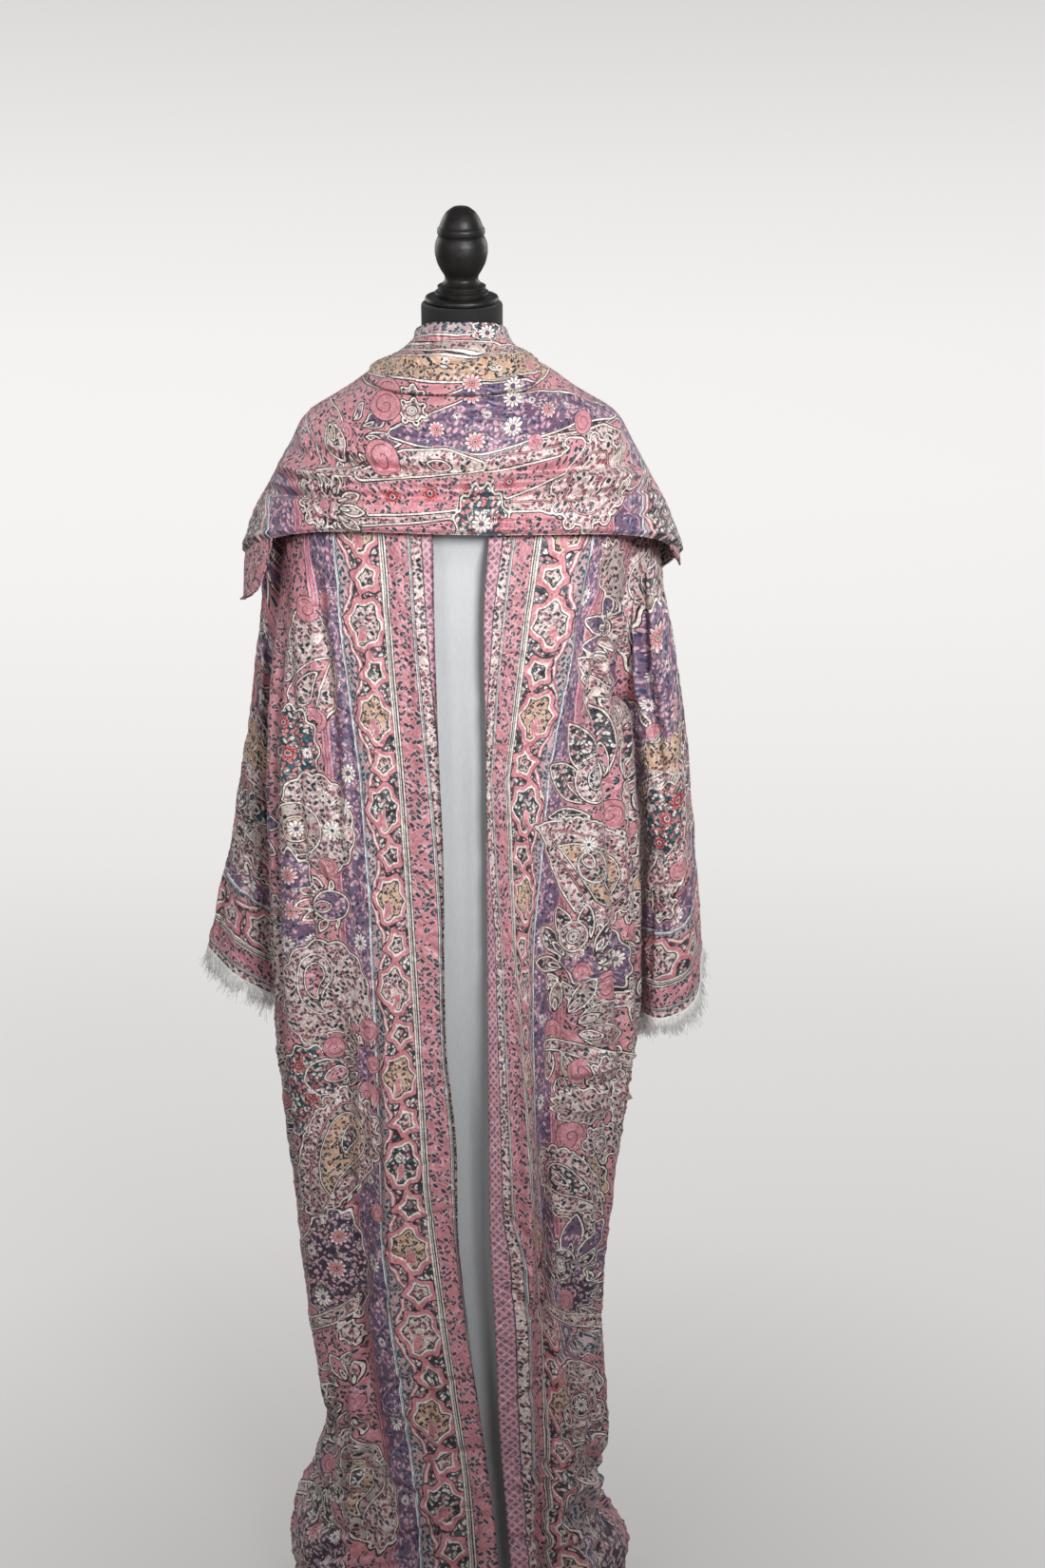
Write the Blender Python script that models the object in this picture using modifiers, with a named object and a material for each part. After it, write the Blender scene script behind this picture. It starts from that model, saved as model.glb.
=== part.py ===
# Open abaya of paisley cloth with its matching shawl, worn by a limbless dress form on a pole.
# Metres, +Z up, the front faces -Y and +X is the viewer's right. The origin is on the floor, on the
# pole's axis, under the round base.
from math import asin, cos, pi, radians, sin, sqrt

import bmesh
import bpy
from mathutils import Vector

COLLECTION = "abaya_on_dress_form"

# Cloth
CLOTH = 0.0020          # wall of the abaya's cloth
SHAWL_CLOTH = 0.0026    # the shawl is folded double
SEAM_GAP = 0.0003       # between pieces that are sewn or lie on each other
HEM_CLEAR = 0.0020      # the hem ends just above the floor

# Heights of the garment
NECK_SEAM_Z = 1.522
UNDERARM_Z = 1.150
ARMHOLE_TOP_Z = 1.430
INNER_TOP_Z = 1.415

# Roundness of the body's plan: 2 is an ellipse, more is squarer, less is pointed
FRONT_ROUND = 2.5
BACK_ROUND = 1.75
SIDE_TURN = 0.60        # side seam, as a share of the half turn from centre front to centre back
ARMHOLE_TURN = 0.085    # half of the armhole's width, in the same measure

# The body's plan at each height: how far it reaches to the left and right, to the front and back,
# and how far forward (-) its widest points lie.
BODY_COLUMNS = ("height", "left", "right", "front", "back", "left_y", "right_y")
BODY_ROWS = (
    (1.522, 0.062, 0.062, 0.060, 0.056, 0.000, 0.000),
    (1.500, 0.112, 0.112, 0.080, 0.070, 0.000, 0.000),
    (1.470, 0.163, 0.163, 0.096, 0.082, 0.000, 0.000),
    (1.430, 0.190, 0.190, 0.108, 0.092, 0.000, 0.000),
    (1.360, 0.204, 0.198, 0.122, 0.104, -0.004, -0.004),
    (1.250, 0.217, 0.184, 0.128, 0.110, -0.014, -0.012),
    (1.150, 0.227, 0.180, 0.126, 0.108, -0.032, -0.022),
    (1.050, 0.230, 0.191, 0.124, 0.106, -0.045, -0.030),
    (0.900, 0.229, 0.202, 0.125, 0.110, -0.045, -0.028),
    (0.755, 0.227, 0.204, 0.128, 0.118, -0.030, -0.018),
    (0.660, 0.221, 0.193, 0.130, 0.122, -0.015, -0.010),
    (0.540, 0.210, 0.177, 0.133, 0.126, 0.000, 0.000),
    (0.414, 0.199, 0.165, 0.137, 0.131, 0.000, 0.000),
    (0.286, 0.183, 0.172, 0.144, 0.138, 0.000, 0.000),
    (0.240, 0.178, 0.176, 0.147, 0.142, 0.000, 0.000),
    (0.188, 0.193, 0.168, 0.153, 0.148, 0.000, 0.000),
    (0.122, 0.216, 0.172, 0.168, 0.160, 0.000, 0.000),
    (0.075, 0.224, 0.204, 0.180, 0.172, 0.000, 0.000),
    (0.002, 0.216, 0.206, 0.192, 0.186, 0.000, 0.000),
)

# Where the two front edges run at each height (x)
OPENING_COLUMNS = ("height", "left_x", "right_x")
OPENING_ROWS = (
    (1.522, -0.046, 0.046),
    (1.440, -0.036, 0.038),
    (1.360, -0.030, 0.033),
    (1.265, -0.029, 0.027),
    (1.102, -0.025, 0.029),
    (0.991, -0.021, 0.029),
    (0.764, -0.019, 0.030),
    (0.647, -0.008, 0.031),
    (0.528, -0.006, 0.032),
    (0.407, 0.006, 0.038),
    (0.284, 0.022, 0.043),
    (0.158, 0.038, 0.053),
    (0.002, 0.046, 0.064),
)

# Long folds of the body: where each runs (half turns from centre front, minus is the left), the
# heights that it fades in and out at, its half-width along the cloth in metres and its depth.
METRES_PER_HALF_TURN = 0.52
FOLD_COLUMNS = ("top_turn", "foot_turn", "top", "foot", "half_width", "depth")
FOLD_ROWS = (
    (-0.190, -0.215, 0.860, 0.300, 0.030, -0.016),
    (-0.115, -0.120, 1.330, 0.020, 0.026, 0.006),
    (-0.300, -0.330, 1.300, 0.160, 0.040, 0.010),
    (-0.385, -0.400, 1.320, 0.500, 0.026, -0.011),
    (0.135, 0.185, 1.060, 0.010, 0.024, -0.017),
    (0.105, 0.130, 1.000, 0.010, 0.020, 0.007),
    (0.235, 0.290, 1.340, 0.650, 0.036, 0.009),
    (0.330, 0.345, 1.300, 0.750, 0.024, -0.010),
    (0.380, 0.400, 0.900, 0.120, 0.032, 0.010),
    (-0.640, -0.660, 1.200, 0.020, 0.040, -0.014),
    (-0.740, -0.780, 1.380, 0.010, 0.045, 0.014),
    (-0.850, -0.880, 1.250, 0.010, 0.036, -0.013),
    (-0.950, -0.960, 1.400, 0.150, 0.040, 0.012),
    (0.640, 0.650, 1.220, 0.020, 0.038, -0.013),
    (0.730, 0.770, 1.340, 0.010, 0.042, 0.013),
    (0.840, 0.860, 1.180, 0.010, 0.036, -0.014),
    (0.930, 0.945, 1.380, 0.020, 0.036, 0.011),
)

# Cross folds where the hem sinks on the floor: height, half-height, depth
CRUMPLE_COLUMNS = ("height", "half_height", "depth")
CRUMPLE_ROWS = (
    (0.245, 0.045, -0.006),
    (0.175, 0.040, -0.008),
    (0.115, 0.040, 0.007),
    (0.060, 0.035, -0.007),
)

# The front hem on the right is caught up above the base
LIFT_TURN = 0.300
LIFT_HALF = 0.150
LIFT_HEIGHT = 0.085
LIFT_REACH = 0.300      # height below which the rows rise with the hem

# Sleeves, from the armhole to the cuff: where the outer, inner, front and back lines of the flat
# hanging tube run. Positive x is outward; the outer and inner lines lie midway in depth.
SLEEVE_COLUMNS = ("along", "outer_x", "outer_z", "inner_x", "inner_z", "front_x", "front_y", "back_x", "back_y")
LEFT_SLEEVE_ROWS = (
    (0.08, 0.206, 1.404, 0.2210, 1.150, 0.2270, 0.000, 0.198, 0.046),
    (0.20, 0.226, 1.345, 0.2220, 1.144, 0.2320, 0.002, 0.213, 0.060),
    (0.35, 0.238, 1.262, 0.2190, 1.118, 0.2370, 0.004, 0.224, 0.076),
    (0.50, 0.252, 1.165, 0.2130, 1.070, 0.2410, 0.006, 0.231, 0.090),
    (0.65, 0.268, 1.065, 0.2060, 0.995, 0.2440, 0.008, 0.237, 0.100),
    (0.80, 0.288, 0.955, 0.2000, 0.895, 0.2480, 0.008, 0.243, 0.105),
    (0.92, 0.308, 0.868, 0.1960, 0.810, 0.2530, 0.007, 0.248, 0.107),
    (1.00, 0.317, 0.827, 0.1950, 0.765, 0.2570, 0.007, 0.251, 0.108),
)
RIGHT_SLEEVE_ROWS = (
    (0.08, 0.206, 1.412, 0.1900, 1.149, 0.2020, -0.002, 0.178, 0.050),
    (0.20, 0.226, 1.345, 0.1950, 1.142, 0.2120, -0.009, 0.194, 0.062),
    (0.35, 0.241, 1.262, 0.2010, 1.115, 0.2210, -0.019, 0.208, 0.073),
    (0.50, 0.258, 1.165, 0.2090, 1.055, 0.2310, -0.028, 0.222, 0.078),
    (0.65, 0.270, 1.065, 0.2130, 0.980, 0.2390, -0.034, 0.233, 0.081),
    (0.80, 0.279, 0.955, 0.2120, 0.885, 0.2440, -0.038, 0.242, 0.082),
    (0.92, 0.287, 0.870, 0.2110, 0.810, 0.2490, -0.038, 0.247, 0.084),
    (1.00, 0.291, 0.832, 0.2110, 0.770, 0.2510, -0.038, 0.250, 0.086),
)
SLEEVE_FOLDS = 5        # soft lengthwise folds round a sleeve
SLEEVE_FOLD_DEPTH = 0.0030
LEFT_CUFF_DIP = 0.000   # how far the front of the cuff hangs below the line between its edges
RIGHT_CUFF_DIP = 0.040

# Fringe on the cuffs
SLEEVE_SIDES = 16
FRINGE_PER_SIDE = 2     # locks on each side of the cuff's ring
FRINGE_STRIP = 0.005
FRINGE_LENGTH = 0.017
FRINGE_SPREAD = 0.25    # how unevenly the locks lean

# Cloth that shows in the opening: how far it runs under each front edge, and how far behind it hangs
INNER_UNDERLAP = 0.045
INNER_BEHIND = 0.0215
INNER_SEAM = 0.0012     # faces of the inner cloth and the fronts where it is sewn under them

# Shawl, from the neck down: the shoulder outline seen from the front, then the front and the back
SHAWL_COLUMNS = ("down", "side_x", "side_z", "front_y", "front_z", "back_y", "back_z")
SHAWL_ROWS = (
    (0.00, 0.0475, 1.580, -0.0559, 1.588, 0.0406, 1.580),
    (0.06, 0.0540, 1.566, -0.0640, 1.570, 0.0480, 1.562),
    (0.12, 0.0710, 1.554, -0.0790, 1.551, 0.0590, 1.548),
    (0.19, 0.0980, 1.541, -0.0920, 1.531, 0.0690, 1.532),
    (0.27, 0.1320, 1.518, -0.1040, 1.508, 0.0790, 1.512),
    (0.36, 0.1760, 1.491, -0.1170, 1.484, 0.0900, 1.486),
    (0.46, 0.1980, 1.456, -0.1270, 1.460, 0.1010, 1.455),
    (0.58, 0.2190, 1.418, -0.1350, 1.434, 0.1100, 1.418),
    (0.72, 0.2370, 1.386, -0.1410, 1.410, 0.1170, 1.375),
    (0.86, 0.2490, 1.356, -0.1450, 1.386, 0.1230, 1.330),
    (1.00, 0.2580, 1.330, -0.1480, 1.361, 0.1280, 1.290),
    (1.25, 0.2620, 1.272, -0.1500, 1.310, 0.1340, 1.215),
)
SHAWL_ROUND = 2.15
# Swags of the shawl's front: how far down each runs at the left, centre and right, half-width, depth
SWAG_COLUMNS = ("left", "centre", "right", "half_width", "depth")
SWAG_ROWS = (
    (0.42, 0.60, 0.48, 0.050, -0.0060),
    (0.62, 0.78, 0.60, 0.045, -0.0050),
    (0.50, 0.69, 0.53, 0.040, 0.0045),
    (0.95, 0.975, 0.95, 0.030, 0.0035),
)
NECK_BAND_LEFT = 0.19   # lower edge of the wound neck band at the left, front and right
NECK_BAND_FRONT = 0.27
NECK_BAND_RIGHT = 0.13
NECK_BAND_BACK = 0.20

SHAWL_LAYER = 0.0043    # how far one layer of the shawl lies outside the next
SHAWL_END_LAYER = 0.0080
SHAWL_UNDER_LAYER = 0.0048
SHAWL_SIDE_GAP = 0.0018  # half of the gap between front and back over the arms, in turns

# Dress form
NECK_LEAN = radians(13.0)
NECK_RADIUS = 0.0465
NECK_TOP = Vector((0.001, -0.014, 1.612))
CAP_RADIUS = 0.0420
CAP_THICK = 0.0075
POLE_RADIUS = 0.0125
TORSO_FOOT_Z = 0.880
NECK_EASE = 0.0045
SHOULDER_EASE = 0.0016  # the form's faces lie this far under the cloth that its shoulders carry
BASE_RADIUS = 0.155
BASE_THICK = 0.024

# The torso under the garment: height, half-width, front and back
TORSO_COLUMNS = ("height", "half_width", "front", "back")
TORSO_ROWS = (
    (1.395, 0.176, 0.095, 0.087),
    (1.360, 0.165, 0.090, 0.086),
    (1.290, 0.160, 0.092, 0.084),
    (1.200, 0.143, 0.086, 0.076),
    (1.110, 0.126, 0.080, 0.070),
    (1.020, 0.140, 0.085, 0.080),
    (0.950, 0.156, 0.091, 0.088),
    (0.900, 0.158, 0.092, 0.088),
    (0.880, 0.150, 0.086, 0.082),
)

# Finial, from its foot up: radius and height above the cap
FINIAL_PROFILE = (
    (0.0300, 0.0000), (0.0305, 0.0045), (0.0270, 0.0065), (0.0275, 0.0110), (0.0225, 0.0135),
    (0.0190, 0.0180), (0.0195, 0.0225), (0.0235, 0.0290), (0.0275, 0.0370), (0.0300, 0.0480),
    (0.0295, 0.0580), (0.0268, 0.0650), (0.0252, 0.0668), (0.0268, 0.0690), (0.0268, 0.0740),
    (0.0245, 0.0775), (0.0215, 0.0850), (0.0165, 0.0925), (0.0090, 0.0980),
)
FINIAL_TOP = 0.0995

COLOURS = {
    "paisley_cloth": (0.42, 0.24, 0.27, 0.80, 0.0),
    "shawl_cloth": (0.46, 0.26, 0.30, 0.78, 0.0),
    "inner_cloth": (0.69, 0.70, 0.71, 0.85, 0.0),
    "fringe_thread": (0.80, 0.79, 0.78, 0.90, 0.0),
    "black_wood": (0.012, 0.012, 0.012, 0.45, 0.0),
    "black_knit": (0.010, 0.010, 0.011, 0.95, 0.0),
    "black_metal": (0.015, 0.015, 0.016, 0.40, 1.0),
}


def clear_scene():
    for obj in list(bpy.data.objects):
        bpy.data.objects.remove(obj)


def make_collection():
    collection = bpy.data.collections.new(COLLECTION)
    bpy.context.scene.collection.children.link(collection)


def make_materials():
    made = {}
    for name, (red, green, blue, roughness, metallic) in COLOURS.items():
        material = bpy.data.materials.new(name)
        material.use_nodes = True
        shader = material.node_tree.nodes["Principled BSDF"]
        shader.inputs["Base Color"].default_value = (red, green, blue, 1.0)
        shader.inputs["Roughness"].default_value = roughness
        shader.inputs["Metallic"].default_value = metallic
        material.diffuse_color = (red, green, blue, 1.0)
        made[name] = material
    return made


def ease(x):
    x = min(1.0, max(0.0, x))
    return x * x * (3.0 - 2.0 * x)


def bump(distance):
    # A smooth hill that is 1 at 0 and reaches 0 at a distance of 1.
    return 0.5 + 0.5 * cos(pi * min(1.0, abs(distance)))


def read_table(columns, rows, key):
    # All columns of a table at one value of its first, on a smooth curve through its rows.
    if rows[0][0] > rows[-1][0]:
        rows = rows[::-1]
    key = min(max(key, rows[0][0]), rows[-1][0])
    last = len(rows) - 1
    here = max(i for i in range(last) if rows[i][0] <= key)
    start, end = rows[here], rows[here + 1]
    before, after = rows[max(0, here - 1)], rows[min(last, here + 2)]
    span = end[0] - start[0]
    part = (key - start[0]) / span
    values = {}
    for i, column in enumerate(columns):
        slope_in = (end[i] - before[i]) / (end[0] - before[0]) * span
        slope_out = (after[i] - start[i]) / (after[0] - start[0]) * span
        rise = end[i] - start[i]
        curve = (part ** 3 - 2 * part ** 2 + part) * slope_in + (part ** 3 - part ** 2) * slope_out
        values[column] = start[i] + rise * (3 * part ** 2 - 2 * part ** 3) + curve
    return values


def wrapped(turn):
    # A turn past centre back comes round on the other side.
    if turn > 1.0:
        return turn - 2.0
    return turn + 2.0 if turn < -1.0 else turn


def plan_point(width, front, back, side_y, turn, front_round, back_round):
    # A point of a closed plan; turn is 0 at centre front, 0.5 at the side and 1 at centre back.
    turn = wrapped(turn)
    angle = abs(turn) * pi
    share = abs(sin(angle))
    depth = abs(cos(angle))
    if abs(turn) <= 0.5:
        x = width * share ** (2.0 / front_round)
        y = side_y - (front + side_y) * depth ** (2.0 / front_round)
    else:
        x = width * share ** (2.0 / back_round)
        y = side_y + (back - side_y) * depth ** (2.0 / back_round)
    return (x if turn >= 0.0 else -x), y


def body_base(height, turn):
    turn = wrapped(turn)
    row = read_table(BODY_COLUMNS, BODY_ROWS, height)
    side = "right" if turn >= 0.0 else "left"
    x, y = plan_point(row[side], row["front"], row["back"], row[side + "_y"], turn,
                      FRONT_ROUND, BACK_ROUND)
    return Vector((x, y, height))


def surface_normal(surface, across, down):
    step = 0.0015
    along = surface(across + step, down) - surface(across - step, down)
    fall = surface(across, down + step) - surface(across, down - step)
    normal = along.cross(fall)
    return normal.normalized()


def body_normal(height, turn):
    normal = surface_normal(lambda t, h: body_base(h, t), turn, height)
    outward = Vector((sin(turn * pi), -cos(turn * pi), 0.15))
    return normal if normal.dot(outward) > 0.0 else -normal


def fold_height(height, turn):
    # How far the folds move the body's cloth out (+) or in (-).
    moved = 0.0
    for values in FOLD_ROWS:
        fold = dict(zip(FOLD_COLUMNS, values))
        part = (fold["top"] - height) / (fold["top"] - fold["foot"])
        if not 0.0 < part < 1.0:
            continue
        middle = fold["top_turn"] + (fold["foot_turn"] - fold["top_turn"]) * part
        half_turn = fold["half_width"] / METRES_PER_HALF_TURN
        fade = ease(part / 0.22) * ease((1.0 - part) / 0.12)
        moved += fold["depth"] * fade * bump((turn - middle) / half_turn)
    for values in CRUMPLE_ROWS:
        crumple = dict(zip(CRUMPLE_COLUMNS, values))
        wander = crumple["height"] + 0.020 * sin(5.0 * turn + 37.0 * crumple["height"])
        strength = 0.55 + 0.45 * sin(9.0 * turn + 61.0 * crumple["height"])
        moved += crumple["depth"] * strength * bump((height - wander) / crumple["half_height"])
    return moved


def body_surface(height, turn):
    return body_base(height, turn) + body_normal(height, turn) * fold_height(height, turn)


def lifted(height, turn):
    # Rows near the floor rise where the hem is caught up above the base.
    if height > LIFT_REACH:
        return height
    rise = LIFT_HEIGHT * bump((turn - LIFT_TURN) / LIFT_HALF)
    return height + rise * (1.0 - height / LIFT_REACH)


def armhole_height(around):
    # Heights round the armhole: around is 0 at the shoulder and a quarter turn at the front.
    middle = (ARMHOLE_TOP_Z + UNDERARM_Z) / 2
    return middle + (ARMHOLE_TOP_Z - middle) * cos(around)


def armhole_half_turn(height):
    middle = (ARMHOLE_TOP_Z + UNDERARM_Z) / 2
    share = 1.0 - ((height - middle) / (ARMHOLE_TOP_Z - middle)) ** 2
    return ARMHOLE_TURN * sqrt(share) if share > 0.0 else 0.0


def opening_turn(height, side):
    row = read_table(OPENING_COLUMNS, OPENING_ROWS, height)
    body = read_table(BODY_COLUMNS, BODY_ROWS, height)
    x = row["left_x"] if side < 0 else row["right_x"]
    reach = body["right"] if x > 0 else body["left"]
    turn = asin(min(1.0, abs(x) / reach) ** (FRONT_ROUND / 2.0)) / pi
    return turn if x > 0 else -turn


def body_rows():
    # Heights of the panels' rows, closer where the cloth bends most.
    # At the armhole they meet the corners of the sleeve's ring.
    heights = [NECK_SEAM_Z, 1.500, 1.472, 1.448]
    heights += [armhole_height(2.0 * pi * i / SLEEVE_SIDES) for i in range(SLEEVE_SIDES // 2)]
    for first, last, steps in ((UNDERARM_Z, 0.270, 8), (0.270, HEM_CLEAR, 10)):
        heights += [first + (last - first) * i / steps for i in range(steps)]
    return heights + [HEM_CLEAR]


def grid_wall(name, rows, thickness, material, closed=False):
    # A wall between a grid of outer points and the same grid moved in along its normals. Each row
    # is a list of (point, normal); a closed wall's rows join up into rings.
    mesh = bpy.data.meshes.new(name)
    bm = bmesh.new()
    outer = [[bm.verts.new(point) for point, normal in row] for row in rows]
    inner = [[bm.verts.new(point - normal * thickness) for point, normal in row] for row in rows]
    count = len(rows[0])
    spans = count if closed else count - 1
    for r in range(len(rows) - 1):
        for c in range(spans):
            d = (c + 1) % count
            for side in (outer, inner):
                bm.faces.new((side[r][c], side[r][d], side[r + 1][c]))
                bm.faces.new((side[r][d], side[r + 1][d], side[r + 1][c]))
    for c in range(spans):
        d = (c + 1) % count
        bm.faces.new((inner[0][c], inner[0][d], outer[0][d], outer[0][c]))
        bm.faces.new((outer[-1][c], outer[-1][d], inner[-1][d], inner[-1][c]))
    if not closed:
        for r in range(len(rows) - 1):
            bm.faces.new((inner[r][0], outer[r][0], outer[r + 1][0], inner[r + 1][0]))
            bm.faces.new((outer[r][-1], inner[r][-1], inner[r + 1][-1], outer[r + 1][-1]))
    bmesh.ops.recalc_face_normals(bm, faces=bm.faces)
    bm.to_mesh(mesh)
    bm.free()
    return add_mesh(name, mesh, material)


def add_mesh(name, mesh, material):
    obj = bpy.data.objects.new(name, mesh)
    obj.data.materials.append(material)
    obj.data.shade_smooth()
    obj.data.set_sharp_from_angle(angle=radians(50.0))
    bpy.data.collections[COLLECTION].objects.link(obj)
    return obj


def body_panel(name, start_turn, end_turn, columns, material):
    # A panel of the body between two edges, each a function of height that gives a turn.
    rows = []
    for height in body_rows():
        first, last = start_turn(height), end_turn(height)
        row = []
        for c in range(columns + 1):
            turn = first + (last - first) * c / columns
            level = lifted(height, turn)
            row.append((body_surface(level, turn), body_normal(level, turn)))
        rows.append(row)
    return grid_wall(name, rows, CLOTH, material)


def seam_turn(height, side, face):
    # The side seam, or the armhole's edge, on the panel that face names: -1 front, 1 back.
    row = read_table(BODY_COLUMNS, BODY_ROWS, height)
    size = row["right"] if side > 0 else row["left"]
    gap = SEAM_GAP / (pi * max(size, 0.06))
    return side * (SIDE_TURN + face * (armhole_half_turn(height) + gap))


def make_body(material):
    body_panel("front_left", lambda h: opening_turn(h, -1), lambda h: seam_turn(h, -1, -1), 15, material)
    body_panel("front_right", lambda h: opening_turn(h, 1), lambda h: seam_turn(h, 1, -1), 15, material)
    # The back runs from the left seam through centre back to the right seam.
    rows = []
    columns = 19
    for height in body_rows():
        left, right = seam_turn(height, -1, 1), seam_turn(height, 1, 1)
        row = []
        for c in range(columns + 1):
            turn = wrapped(left + (right - 2.0 - left) * c / columns)
            row.append((body_surface(height, turn), body_normal(height, turn)))
        rows.append(row)
    grid_wall("back", rows, CLOTH, material)


def armhole_point(side, around):
    # The armhole's edge on the body, moved into the hole by the seam's gap, and the cloth's normal
    # there.
    height = armhole_height(around)
    turn = side * (SIDE_TURN - ARMHOLE_TURN * sin(around))
    point, normal = body_surface(height, turn), body_normal(height, turn)
    inward = body_surface(armhole_height(pi / 2), side * SIDE_TURN) - point
    inward -= normal * inward.dot(normal)
    return point + inward.normalized() * (2.0 * SEAM_GAP), normal


def sleeve_ring(rows_table, side, along, around, dip):
    # A smooth ring through the four lines of the sleeve.
    row = read_table(SLEEVE_COLUMNS, rows_table, along)
    middle_y = (row["front_y"] + row["back_y"]) / 2
    middle_z = (row["outer_z"] + row["inner_z"]) / 2
    outer = Vector((row["outer_x"], middle_y, row["outer_z"]))
    inner = Vector((row["inner_x"], middle_y, row["inner_z"]))
    front = Vector((row["front_x"], row["front_y"], middle_z))
    back = Vector((row["back_x"], row["back_y"], middle_z))
    point = (outer + inner + front + back) / 4
    point += (outer - inner) / 2 * cos(around) + (front - back) / 2 * sin(around)
    point += (outer + inner - front - back) / 4 * cos(2.0 * around)
    point.z -= dip * ease((along - 0.55) / 0.45) * max(0.0, sin(around + 0.5)) ** 2
    point.x *= side
    return point


def sleeve_surface(rows_table, side, along, around, dip):
    first = rows_table[0][0]
    ring = sleeve_ring(rows_table, side, max(along, first), around, dip)
    if along < first:
        start, normal = armhole_point(side, around)
        ring = start.lerp(ring, along / first)
    fade = ease(along / 0.45)
    wave = sin(SLEEVE_FOLDS * around + 2.6 * along + side)
    front = sleeve_ring(rows_table, side, max(along, first), pi / 2, dip)
    back = sleeve_ring(rows_table, side, max(along, first), -pi / 2, dip)
    out = (ring - (front + back) / 2).normalized()
    return ring + out * (SLEEVE_FOLD_DEPTH * fade * wave)


def sleeve_normal(rows_table, side, along, around, dip):
    first = rows_table[0][0]
    if along < first:
        # From the body's normal at the seam to the tube's own.
        start = armhole_point(side, around)[1]
        tube = sleeve_normal(rows_table, side, first, around, dip)
        return start.lerp(tube, along / first).normalized()
    step = 0.01
    low, high = max(0.0, along - step), min(1.0, along + step)
    across = (sleeve_surface(rows_table, side, along, around + step, dip)
              - sleeve_surface(rows_table, side, along, around - step, dip))
    down = (sleeve_surface(rows_table, side, high, around, dip)
            - sleeve_surface(rows_table, side, low, around, dip))
    return across.cross(down).normalized() * side


def make_sleeve(name, rows_table, side, dip, material):
    rows = []
    stations = (0.0, 0.04, 0.08, 0.14, 0.20, 0.28, 0.36, 0.46, 0.56, 0.66, 0.76, 0.84, 0.92, 1.0)
    for along in stations:
        row = []
        for c in range(SLEEVE_SIDES):
            around = 2.0 * pi * c / SLEEVE_SIDES
            row.append((sleeve_surface(rows_table, side, along, around, dip),
                        sleeve_normal(rows_table, side, along, around, dip)))
        rows.append(row)
    return grid_wall(name, rows, CLOTH, material, closed=True)


def make_fringe(name, rows_table, side, dip, material):
    # A narrow strip round the cuff's edge; every second face of its lower rim runs out into a lock.
    corners = []
    for c in range(SLEEVE_SIDES):
        around = 2.0 * pi * c / SLEEVE_SIDES
        point = sleeve_surface(rows_table, side, 1.0, around, dip)
        normal = sleeve_normal(rows_table, side, 1.0, around, dip)
        before = sleeve_surface(rows_table, side, 0.97, around, dip)
        corners.append((point, normal, (point - before).normalized()))
    splits = 2 * FRINGE_PER_SIDE
    ring = []
    for c, corner in enumerate(corners):
        after = corners[(c + 1) % SLEEVE_SIDES]
        for i in range(splits):
            ring.append([near.lerp(far, i / splits) for near, far in zip(corner, after)])
    rows = [[(point + fallen * drop, normal) for point, normal, fallen in ring]
            for drop in (SEAM_GAP, FRINGE_STRIP)]
    obj = grid_wall(name, rows, CLOTH, material, closed=True)
    bm = bmesh.new()
    bm.from_mesh(obj.data)
    rim = []
    for c in range(0, len(ring), 2):
        point, normal, fallen = ring[c]
        after = ring[(c + 1) % len(ring)][0]
        middle = (point + after) / 2 + fallen * FRINGE_STRIP - normal * (CLOTH / 2)
        face = min(bm.faces, key=lambda f: (f.calc_center_median() - middle).length)
        rim.append((c, face, normal, fallen))
    for c, face, normal, fallen in rim:
        reach = FRINGE_LENGTH * (0.85 + 0.15 * sin(1.9 * c))
        lean = FRINGE_SPREAD * reach * sin(2.7 * c)
        face = bmesh.ops.extrude_discrete_faces(bm, faces=[face])["faces"][0]
        centre = face.calc_center_median()
        fall = (fallen + Vector((0.0, 0.0, -0.35))).normalized()
        shift = fall * reach + fallen.cross(normal).normalized() * lean
        for vertex in face.verts:
            vertex.co = centre + (vertex.co - centre) * 0.5 + shift
    bmesh.ops.recalc_face_normals(bm, faces=bm.faces)
    bm.to_mesh(obj.data)
    bm.free()
    return obj


def make_inner_panel(material):
    # The plain cloth in the opening: sewn under the fronts at the top, it hangs behind them below.
    rows = []
    columns = 9
    steps = 16
    for r in range(steps + 1):
        height = INNER_TOP_Z + (HEM_CLEAR - INNER_TOP_Z) * r / steps
        opening = read_table(OPENING_COLUMNS, OPENING_ROWS, height)
        behind = CLOTH + INNER_SEAM + INNER_BEHIND * ease((INNER_TOP_Z - 0.020 - height) / 0.080)
        left = opening["left_x"] - INNER_UNDERLAP
        right = opening["right_x"] + INNER_UNDERLAP
        body = read_table(BODY_COLUMNS, BODY_ROWS, height)
        row = []
        for c in range(columns + 1):
            x = left + (right - left) * c / columns
            reach = body["right"] if x > 0 else body["left"]
            turn = asin((abs(x) / reach) ** (FRONT_ROUND / 2.0)) / pi
            turn = turn if x > 0 else -turn
            normal = body_normal(height, turn)
            normal.z = 0.0
            normal.normalize()
            fade = ease((1.30 - height) / 0.30)
            soft = 0.0022 * fade * sin(5.2 * c / columns * pi + 0.6)
            row.append((body_base(height, turn) - normal * (behind + soft), normal))
        rows.append(row)
    return grid_wall("inner_panel", rows, CLOTH, material)


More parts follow.
